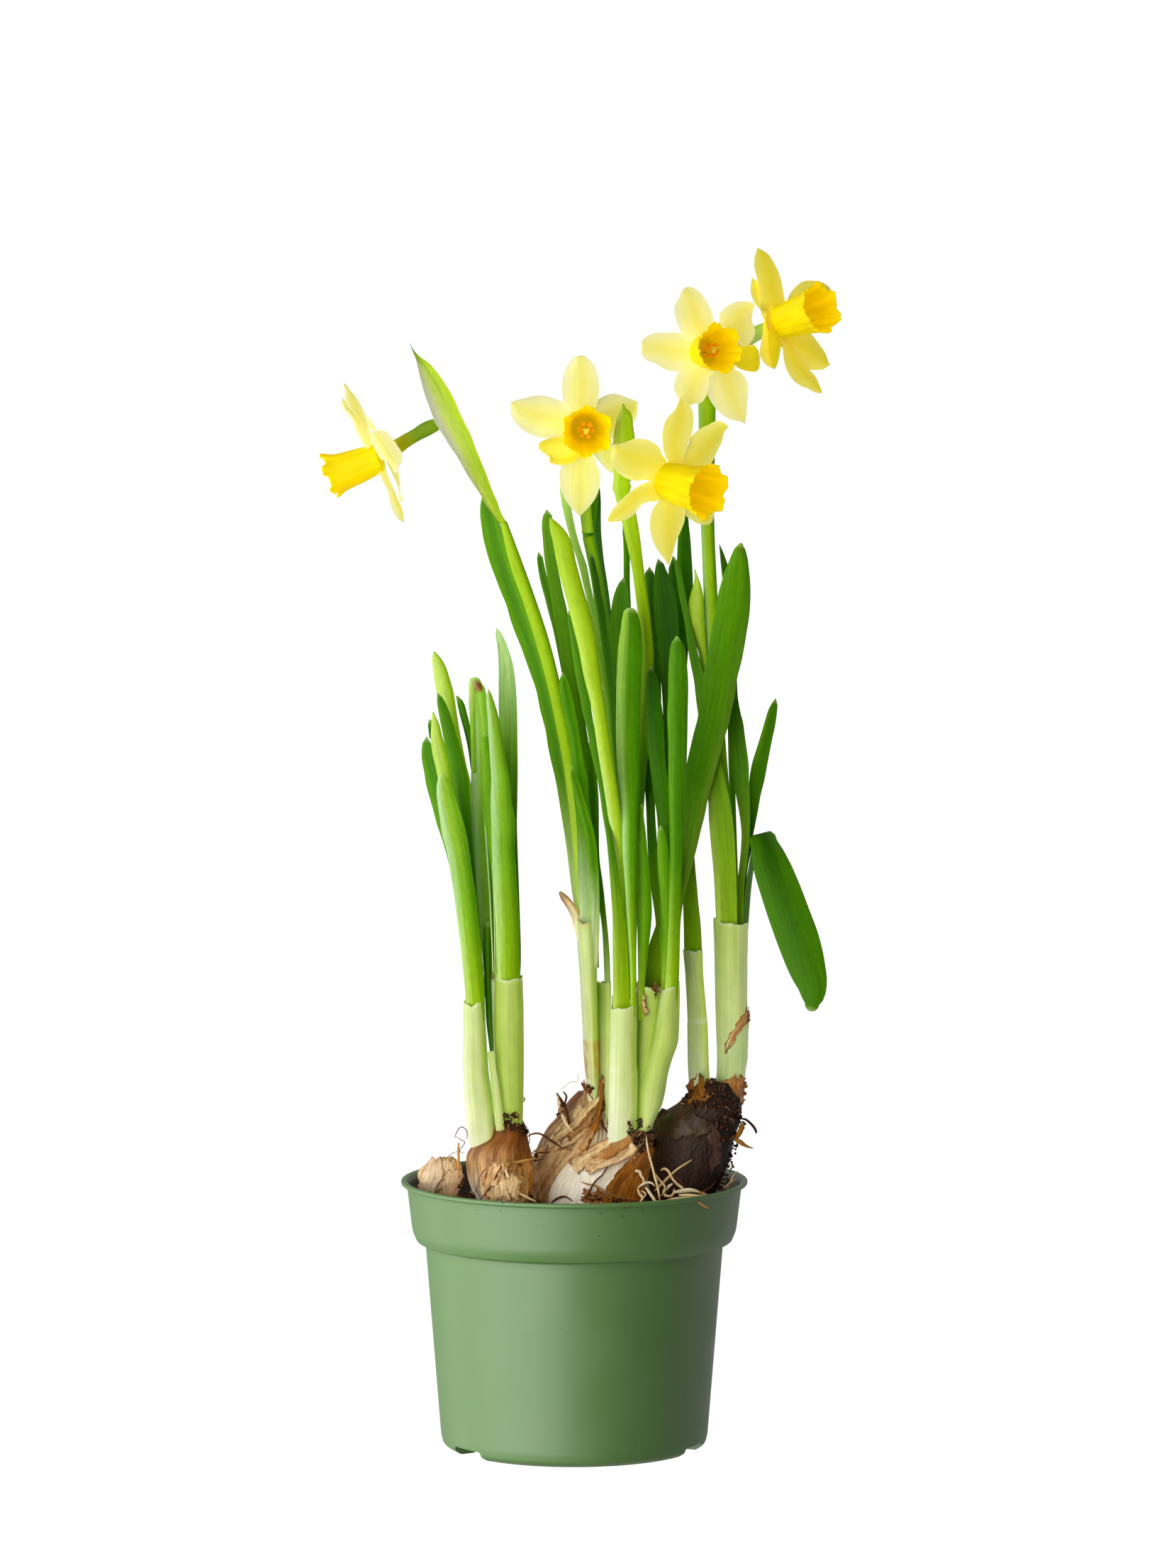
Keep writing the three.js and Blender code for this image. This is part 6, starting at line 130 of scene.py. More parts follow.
               ((32.27,-20.01,306.82,-0.12,-0.11,0.01,0.04),(32.14,-20.46,308.48,-0.98,-0.89,0.23,0.3),(32.01,-20.98,310.38,-1.95,-1.78,0.45,0.6),(31.86,-21.65,312.76,-3.15,-2.86,0.68,0.96),(31.73,-22.24,315.14,-4.24,-3.85,0.91,1),(31.75,-22.73,317.82,-5.24,-4.72,0.94,1),(31.93,-23.09,320.73,-5.91,-5.3,0.96,1),(32.26,-23.33,323.87,-5.88,-5.32,1.2,1),(32.45,-23.7,327.14,-5,-4.57,1.28,1),(32.32,-24.32,330.3,-2.92,-2.72,0.95,0.91),(31.32,-25.36,334.03,-1.85,-1.72,0.6,0.58)),
               ((46.68,-9.98,320.65,-0.61,0,-0.32,0.08),(46.19,-9.98,321.21,-1.82,0,-0.75,0.22),(45.21,-10.65,322.53,-3.04,-0.85,-0.99,0.37),(43.61,-12.33,324.73,-3.91,-2.12,-1.24,0.5),(41.88,-14.33,327.23,-4.16,-3.22,-1.44,0.5),(39.52,-18.08,330.17,-2.81,-2.14,-1.36,0.42),(36.05,-21.24,332.42,-2.52,-1.92,-1.22,0.38),(32.13,-24.86,334.97,-1.93,-1.47,-0.94,0.29)))},
    {'centre': (43.41,-19.24,379.12), 'axis': (0.46,-0.88,0.12), 'r0': 5.3, 'r1': 7.9, 'L': 12.8,
     'tube': ((45.38,-4.24,362.11,2.2),(45.14,-3.64,368.4,1.6),(44.4,-3.94,373.74,1.8),(43.88,-5.84,376.2,2.4),(43.58,-9.24,377.71,2.4),(43.51,-13.24,378.52,2.1),(43.41,-18.84,379.11,3.3)),
     'tepals': (((36.72,-21.71,400.31,0.24,0.12,-0.03,0.06),(37.09,-21.54,399.98,1.45,0.71,-0.19,0.36),(37.82,-21.21,399.14,3.15,1.54,-0.32,0.78),(38.61,-20.88,397.7,4.54,2.25,0.03,1),(39.4,-20.57,395.72,5.45,2.71,0.45,1),(40.19,-20.28,393.07,5.88,2.95,1.16,1),(41.28,-19.87,389.82,5.88,2.97,1.76,1),(42.68,-19.3,386.69,5.34,2.72,2,1),(44.14,-18.67,384.52,3.89,1.99,1.77,1),(45.35,-18.15,382.58,1.94,1,1.06,0.54),(44.35,-18.11,380.8,1.56,0.8,0.85,0.43)),
               ((22.58,-29.46,380.75,0.02,0.05,0.96,0.19),(23.21,-29.15,380.75,0,0.1,2.51,0.5),(24.53,-28.5,380.73,0,0.15,3.83,0.77),(26.46,-27.55,380.72,0,0.19,4.79,0.9),(29,-26.3,380.57,-0.12,0.15,5.39,0.9),(31.41,-25.13,380.01,-0.12,0.18,6.17,0.9),(33.83,-23.96,379.39,-0.12,0.2,6.66,0.9),(36.86,-22.47,379.23,0,0.25,6.48,0.9),(40.13,-20.87,378.85,-0.13,0.16,5.7,0.9),(43.53,-19.19,379,-0.12,0.08,3.49,0.7)),
               ((38.94,-21.7,361,-0.61,-0.29,0.26,0.13),(38.82,-21.73,361.64,-1.94,-0.92,0.96,0.42),(38.94,-21.61,362.7,-3.52,-1.67,1.73,0.76),(39.24,-21.39,364.07,-4.91,-2.35,2.05,0.8),(39.67,-21.13,366.05,-5.7,-2.73,2.11,0.8),(40.33,-20.78,368.51,-5.77,-2.76,2.17,0.8),(41.6,-20.17,370.96,-5.22,-2.51,1.74,0.8),(43.3,-19.37,373.35,-4.25,-2.05,1.25,0.8),(45.24,-18.49,375.25,-3.04,-1.47,0.75,0.62),(44.25,-18.29,377.34,-2.28,-1.11,0.57,0.46)),
               ((58.42,-12.78,354.73,-0.12,-0.07,-0.12,0.04),(57.87,-13.02,355.71,-0.79,-0.41,-0.35,0.21),(57.32,-13.25,356.74,-1.96,-0.99,-0.64,0.51),(56.28,-13.7,358.44,-3.6,-1.82,-0.97,0.92),(55.03,-14.23,360.57,-5.03,-2.54,-1.5,1),(53.87,-14.71,363.12,-6.06,-3.07,-1.85,1),(52.92,-15.06,365.9,-6.59,-3.34,-2.21,1),(51.95,-15.44,368.56,-6.34,-3.21,-1.97,1),(51.02,-15.79,371.28,-4.81,-2.43,-1.33,1),(50.23,-16.07,374.24,-2.92,-1.45,-0.21,0.73),(47.5,-17.04,376.19,-3.04,-1.51,-0.22,0.76),(44.93,-17.93,378.03,-2.32,-1.15,-0.17,0.58)),
               ((63.58,-7.98,376.96,-0.12,-0.08,-0.48,-0.09),(63.27,-8.13,376.97,-0.43,-0.29,-1.93,-0.35),(62.23,-8.54,376.86,-0.73,-0.52,-3.98,-0.72),(60.27,-9.59,376.88,-0.73,-0.54,-4.46,-0.8),(57.81,-11.11,377.11,-0.73,-0.52,-4.13,-0.75),(55.11,-12.93,377.43,-0.49,-0.38,-3.49,-0.63),(52.9,-14.63,377.1,-0.24,-0.2,-1.92,-0.35),(49.11,-16.17,377.91,-0.29,-0.24,-2.33,-0.42),(45.18,-17.78,378.74,-0.19,-0.16,-1.54,-0.28)),
               ((61.57,-9.16,395.54,0.12,0.05,-0.21,-0.05),(60.35,-9.8,394.68,1.35,0.63,-0.79,-0.34),(58.95,-10.51,393.71,2.63,1.24,-1.51,-0.66),(57.48,-11.27,392.41,3.85,1.81,-2.37,-0.9),(56.33,-11.94,390.61,5.13,2.41,-3.23,-0.9),(55.41,-12.54,388.63,5.93,2.77,-3.9,-0.9),(54.07,-13.4,386.47,5.68,2.65,-3.9,-0.9),(52.42,-14.44,384.32,4.15,1.93,-2.92,-0.9),(51.68,-15.04,381.93,1.46,0.66,-1.7,-0.47),(48.37,-16.42,380.8,1.67,0.75,-1.94,-0.53),(45.12,-17.77,379.7,1.17,0.53,-1.36,-0.37)))},
    {'centre': (70.3,-13.24,389.36), 'axis': (0.672,-0.692,0.245), 'r0': 5.9, 'r1': 8.1, 'L': 20,
     'tube': ((46.42,0.26,370.73,1.4),(49.84,1.36,376.05,1.5),(54.69,1.36,379.93,1.9),(58.8,0.36,382.86,2.5),(62.14,-1.84,385.08,2.6),(64.95,-5.44,386.59,2.3),(67.52,-8.84,387.85,2.4),(70.07,-12.64,389.11,3.3)),
     'tepals': (((62.63,-10.78,414.51,0.12,0.1,0,0.04),(63,-10.81,413.54,1.05,0.86,0,0.3),(63.55,-10.75,412.4,2.22,1.85,0.05,0.64),(64.53,-10.58,410.59,3.33,2.77,0.04,0.96),(65.68,-10.72,407.46,4.01,3.33,0.04,1),(66.58,-11.3,403.67,4.45,3.62,-0.15,1),(67.11,-12.21,399.83,4.51,3.66,-0.16,1),(67.82,-13.05,395.74,4.39,3.65,0.08,1),(68.22,-13.94,392.27,3.34,3.08,0.92,1),(69.16,-13.02,390.96,1.87,1.73,0.52,0.58)),
               ((60.51,-13.74,404.42,0.12,0.1,0,0.01),(61.2,-13.68,402.97,0.86,0.84,0.35,0.14),(61.91,-13.59,401.05,1.39,1.43,0.83,0.24),(62.77,-14.17,398.53,1.49,1.64,1.19,0.28),(64.33,-14.88,395.41,1.36,1.54,1.18,0.26),(65.51,-15.92,393.01,1.11,1.17,0.71,0.2),(68.85,-13.45,390.47,0.89,0.93,0.56,0.16)),
               ((67.81,-23.67,373.32,-0.18,-0.15,0,-0.08),(67.76,-23.36,374.34,-0.74,-0.58,0.07,-0.34),(67.77,-22.97,376.07,-1.23,-1.01,0.02,-0.57),(67.79,-21.95,378.45,-1.72,-1.41,0.03,-0.79),(67.77,-20.29,381.42,-2.28,-1.83,0.15,-1.04),(67.64,-18.12,385.11,-2.71,-2.06,0.52,-1.22),(67.46,-15.66,389.16,-2.83,-2.07,0.75,-1.28),(68.78,-13.93,389.25,-2.05,-1.5,0.55,-0.92)),
               ((67.32,-19.81,373.66,-0.18,-0.13,0.06,0.03),(66.89,-19.88,374.44,-0.61,-0.38,0.37,0.09),(66.17,-19.82,376,-1.35,-0.94,0.5,0.19),(65.56,-19.69,378.04,-1.97,-1.49,0.39,0.28),(65.45,-19.14,380.8,-2.09,-1.72,0.03,0.3),(65.65,-18.18,384.51,-1.91,-1.52,0.15,0.27),(65.85,-17.19,388.58,-1.72,-1.2,0.62,0.24),(68.82,-13.96,389.1,-1.38,-0.96,0.5,0.19)),
               ((87.81,-3.46,374.67,-0.04,-0.08,-0.12,0.02),(87.13,-4.01,374.71,-0.17,-0.31,-0.48,0.12),(86.62,-4.31,375.01,-0.41,-0.82,-1.37,0.33),(85.6,-4.9,375.66,-0.78,-1.61,-2.79,0.66),(83.87,-5.95,376.83,-1.53,-2.59,-3.79,0.9),(81.51,-7.44,378.35,-2.16,-3.47,-4.83,0.9),(78.67,-9.19,380.38,-2.78,-4.04,-5,0.9),(75.2,-11.67,381.87,-2.26,-3.11,-3.56,0.9),(71.86,-13.97,383.59,-1.13,-1.6,-1.9,0.55),(70.82,-12.88,387.44,-0.9,-1.28,-1.52,0.44)),
               ((84.6,-10.47,365.12,-0.19,-0.17,-0.06,0.06),(83.85,-10.83,365.85,-0.87,-0.69,0.08,0.25),(82.43,-11.51,367.32,-1.67,-1.18,0.57,0.47),(80.83,-12.17,369.27,-2.29,-1.52,1.06,0.65),(79.17,-13.08,370.49,-2.85,-2.19,0.47,0.81),(77.45,-13.81,372.2,-3.35,-2.76,0,0.96),(75.62,-14.31,374.74,-3.47,-2.91,-0.12,1),(73.8,-14.32,378.54,-2.85,-2.42,-0.19,0.83),(72.23,-13.75,383.35,-1.73,-1.51,-0.21,0.51),(70.91,-12.8,387.46,-1.39,-1.2,-0.17,0.41)),
               ((88.12,3.06,399.37,0.37,0,-0.18,0.05),(87.15,3.06,399.67,1.1,0,-0.97,0.2),(85.57,3.18,399.82,1.95,0,-1.72,0.35),(83.48,2.42,399.64,2.83,0.76,-2.27,0.49),(81.12,0.78,398.94,3.47,1.98,-2.54,0.6),(78.85,-2.08,397.42,3.72,2.21,-2.44,0.6),(76.57,-5.31,395.29,3.47,2.26,-1.72,0.6),(74.04,-8.91,392.92,1.98,1.37,-0.74,0.34),(71.41,-11.35,390.42,1.58,1.1,-0.59,0.27)))},
]
EXTRA = [
    ('darkleaf', 'leaf', 0.8, ((-40.31,-10.85,261.52,0.24,0.15,0.11,0.11),(-39.1,-10.85,259.32,0.97,0.15,0.35,0.35),(-37.89,-10.85,254.94,1.21,0.15,0.35,0.35),(-36.56,-10.85,249.7,1.09,0.15,0.48,0.35),(-35.48,-10.85,243.98,0.97,0.15,0.35,0.35),(-34.88,-10.85,236.42,0.61,0.15,0.11,0.22))),
    ('darkleaf', 'leaf', 0.8, ((-49.48,-8.85,253.21,0.24,0.15,0.11,0.11),(-49.36,-8.85,251.99,0.73,0.15,0.23,0.27),(-49.06,-8.85,249.55,0.91,0.15,-0.01,0.32),(-48.76,-8.85,246.63,0.85,0.15,-0.01,0.3))),
    ('smallpale', 'leaf', 0.7, ((-35.25,-14.85,267.81,0.24,0.15,0.05,0.1),(-35.07,-14.85,266.41,0.91,0.15,0.35,0.34),(-35.02,-14.85,262.65,1.09,0.15,-0.01,0.35),(-34.9,-14.85,257.3,0.97,0.15,-0.01,0.34),(-34.67,-14.85,247.58,0.73,0.15,-0.01,0.26),(-34.33,-14.85,235.41,0.6,0.15,-0.01,0.22))),
    ('paleedge', 'leaf', 0.6, ((-30.98,-19.35,234.68,0.24,0.15,0.11,0.11),(-30.15,-19.35,221.19,0.6,0.15,-0.01,0.22),(-29.32,-19.35,209.02,0.73,0.15,-0.01,0.26),(-28.49,-19.35,194.4,0.6,0.15,-0.02,0.22),(-27.9,-19.35,179.77,0.48,0.15,-0.02,0.18),(-27.55,-19.35,167.08,0.36,0.15,-0.02,0.14))),
    ('paleedge', 'leaf', 0.6, ((-28.93,-19.65,229.12,0.12,0.15,0.11,0.08),(-27.98,-19.65,213.92,0.6,0.15,-0.01,0.22),(-27.39,-19.65,199.31,0.48,0.15,-0.01,0.18),(-27.04,-19.65,182.24,0.36,0.15,-0.02,0.14),(-26.94,-19.65,166.63,0.24,0.15,-0.02,0.1))),
    ('darkleaf', 'leaf', 0.8, ((-29.9,-15.35,184.23,1.21,0.15,-0.02,0.35),(-29.8,-15.35,166.63,1.09,0.15,-0.02,0.35),(-29.5,-15.35,157.33,1.03,0.15,-0.02,0.35),(-29.21,-15.35,149.98,0.97,0.15,-0.02,0.34),(-28.73,-15.35,143.61,0.73,0.15,-0.02,0.26),(-28.43,-15.35,138.71,0.42,0.15,-0.02,0.16))),
    ('stalk', 'sheath', 0.8, ((-28.73,-13.45,165.93,1.7,0.15,-0.02,0.35),(-28.61,-13.45,164.46,1.7,0.15,-0.02,0.35),(-28.14,-13.45,154.66,1.58,0.15,-0.02,0.35),(-27.78,-13.45,144.85,1.46,0.15,-0.02,0.35),(-27.18,-13.45,135.04,1.34,0.15,-0.02,0.35),(-26.23,-13.45,120.31,1.34,0.15,-0.02,0.35))),
    ('innersheath', 'sheath', 0.7, ((-28.66,-20.45,140.08,0.97,0.15,0.72,0.35),(-27.82,-20.45,133.72,1.09,0.15,0.23,0.35),(-26.85,-20.45,126.38,1.33,0.15,0.23,0.35),(-26.01,-20.45,119.03,1.46,0.15,0.22,0.35),(-25.29,-20.45,112.66,1.46,0.15,0.22,0.35))),
    ('papertip', 'dry', 0.4, ((-5.01,-8.1,193.76,0.37,0.15,0.23,0.16),(-3.91,-8.1,192.3,0.97,0.15,0.47,0.35),(-2.21,-8.1,190.21,1.22,0.15,0.6,0.35),(-0.5,-8.1,187.52,1.46,0.15,0.35,0.35),(0.72,-8.1,184.21,1.46,0.15,0.23,0.35),(1.57,-8.1,179.55,1.1,0.15,-0.02,0.35),(1.81,-8.1,176.12,0.61,0.15,-0.02,0.22))),
    ('scar', 'dry', 0.3, ((-33.96,-19.65,267.53,0.36,0.15,0.17,0.15),(-33.11,-19.65,266.26,0.97,0.15,0.35,0.35),(-32.39,-19.65,264.81,0.97,0.15,0.35,0.35),(-31.67,-19.65,263.71,0.48,0.15,0.23,0.19))),
]
SHEATHS = {
    'l1': ((-34.5,-11.3,156.4,3.55,9.7),(-34.2,-11.3,146,3.93,9.7),(-33.8,-11.3,131.3,4.4,9),(-33.1,-11.2,123.9,4.55,8.2),(-32.2,-11.1,114.1,4.8,7.2),(-31.4,-11,107.2,4.5,6.5),(-28.6,-11,100.3,3.6,6)),
    'l2': ((-22.5,-14.7,165.1,4.75,6.8),(-22.4,-14.7,147,5.05,6.8),(-22,-14.4,131,4.65,6.4),(-21.6,-13.8,118,3.95,5.7),(-21.6,-13.3,110.5,3.8,4.9),(-21.7,-13,104.3,3.7,4.6)),
    'm': ((3.76,-2.51,183.87,3.54,10.43),(4.31,-2.51,175.52,3.36,10.43),(4.68,-2.03,168.58,3.12,10.21),(5.17,-0.82,156.13,2.75,9.67),(5.44,0.74,146.82,2.68,8.96),(5.94,2.31,133.05,2.43,8.26),(6.34,3.52,124.24,2.21,7.72),(5.85,4,113.04,3.44,7.5)),
    'c0': ((10.25,2,161.23,2.45,2.38),(10.38,2,147.91,2.33,2.38),(10.51,2.78,132.99,2.21,2.85),(10.57,4.22,122.92,2.15,3.73),(9.53,5,110.43,2.7,4.2)),
    'c1': ((17.03,-15.53,154.41,4.5,6.15),(17.03,-15.53,149.76,4.62,6.15),(16.88,-16.08,140.76,4.72,6.07),(16.86,-17.27,124.98,4.79,5.88),(16.6,-18.46,114.35,4.81,5.69),(16.42,-19,106.33,5.48,5.6)),
    'cb': ((17.29,11.08,155.49,4.31,12.04),(17.23,11.08,144.34,4.12,12.04),(17.05,10.44,127.07,4.06,11.17),(15.45,9.04,114.85,4.19,9.27),(12,7.64,107.59,4.18,7.37),(8.56,7,100.23,4.18,6.5)),
    'c2': ((32.9,-7.9,161.6,3.45,10.2),(32.3,-7.9,156,3.8,10.3),(31.6,-7.9,149.3,4.4,10.4),(30.7,-8.6,142.4,5.1,10),(28.9,-11,136.2,5,9.2),(27.1,-13.8,129,4.8,7.9),(25.9,-15.9,120.9,4.05,7),(24.6,-17.4,115.4,2.95,6.2),(21.9,-18,108.2,3.7,6)),
    'r2': ((40.95,0.29,172.51,3.33,2.61),(41.55,0.29,162.41,3.13,2.61),(42.52,0.21,147.87,3.36,2.81),(43.15,0.08,128.4,3.47,3.19),(44.1,0,118.52,3.43,3.4)),
    'r1': ((54.09,3.11,182.3,6.03,9.36),(54.19,3.11,170.72,5.75,9.36),(54.28,2.94,154.71,5.57,8.91),(54.67,2.56,138.46,5.4,7.93),(54.18,2.17,128.13,5.02,6.95),(53.22,2,118.26,4.66,6.5)),
    'cg': ((25.8,-7,161.3,4.3,9.6),(25.4,-7,152,4.1,9.6),(24.6,-8,142,3.6,9.2),(23.6,-10,132,3,8),(22.8,-12.5,122,2.4,6.5),(22.2,-14.5,114,1.9,5)),
}
BULBS = {
    'bulb_left': ((-21.85,-13,115.33,4.27,5),(-21.97,-13,112.87,5.61,6),(-22.58,-13,109.92,6.71,7.5),(-24.9,-13,106.97,9.52,9),(-25.64,-13,104.27,10.98,10.2),(-25.64,-13,100.58,11.71,11),(-25.4,-13,96.88,11.72,11.2),(-25.16,-13,93.19,10.99,11),(-24.56,-13,88.27,9.4,9.5),(-23.83,-13,82.11,5.49,5)),
    'bulb_front': ((22.62,-19,113.2,4.14,5),(21.77,-19,110.75,5.47,6.5),(18.37,-19,107.8,8.64,8.5),(14.84,-19,104.61,11.93,10.3),(12.29,-19,101.42,14,11.6),(10.34,-19,97.74,15.21,12.4),(8.76,-19,94.06,15.83,12.8),(7.05,-19,89.15,15.83,12.8),(6.32,-19,84.23,14.37,11.6),(6.57,-19,78.09,9.74,7)),
    'bulb_right': ((49.24,0,127.17,6.37,8),(48.51,0,123.47,8.83,9.5),(47.05,0,119.51,11.04,11),(43.37,0,115.06,14.47,12.2),(41.66,0,111.11,15.21,13),(40.44,0,106.16,14.72,13.4),(39.22,0,98.74,14.24,13.4),(38.37,0,92.55,12.89,13),(37.64,0,86.36,10.44,11.5),(37.28,0,78.93,5.89,7)),
    'bulb_middle': ((6.34,5,122.81,5.16,5),(4.99,5,119.84,6.76,6.5),(3.76,5,115.38,8.48,8),(1.79,5,110.43,10.94,9),(0.07,5,104.23,12.66,9.8),(-1.29,5,98.04,13.53,10),(-2.39,5,91.83,13.41,10),(-3.13,5,85.63,11.69,9),(-3.75,5,78.18,6.65,5.5)),
    'bulblet_left': ((-43.7,-7,101.46,1.84,2.5),(-44.81,-7,99.73,5.14,5.5),(-46.16,-7,96.77,7.46,7),(-46.29,-7,93.81,7.34,7),(-45.93,-7,89.86,5.51,5.8),(-46.06,-7,84.92,2.45,3)),
    'bulblet_front': ((-24.64,-34,100.86,3.39,2.8),(-24.16,-34,98.66,7.01,5.4),(-23.8,-34,95.74,8.1,6.6),(-23.56,-34,92.32,7.86,6.6),(-23.2,-34,88.9,5.81,5.4),(-23.45,-34,85,2.66,2.8)),
}
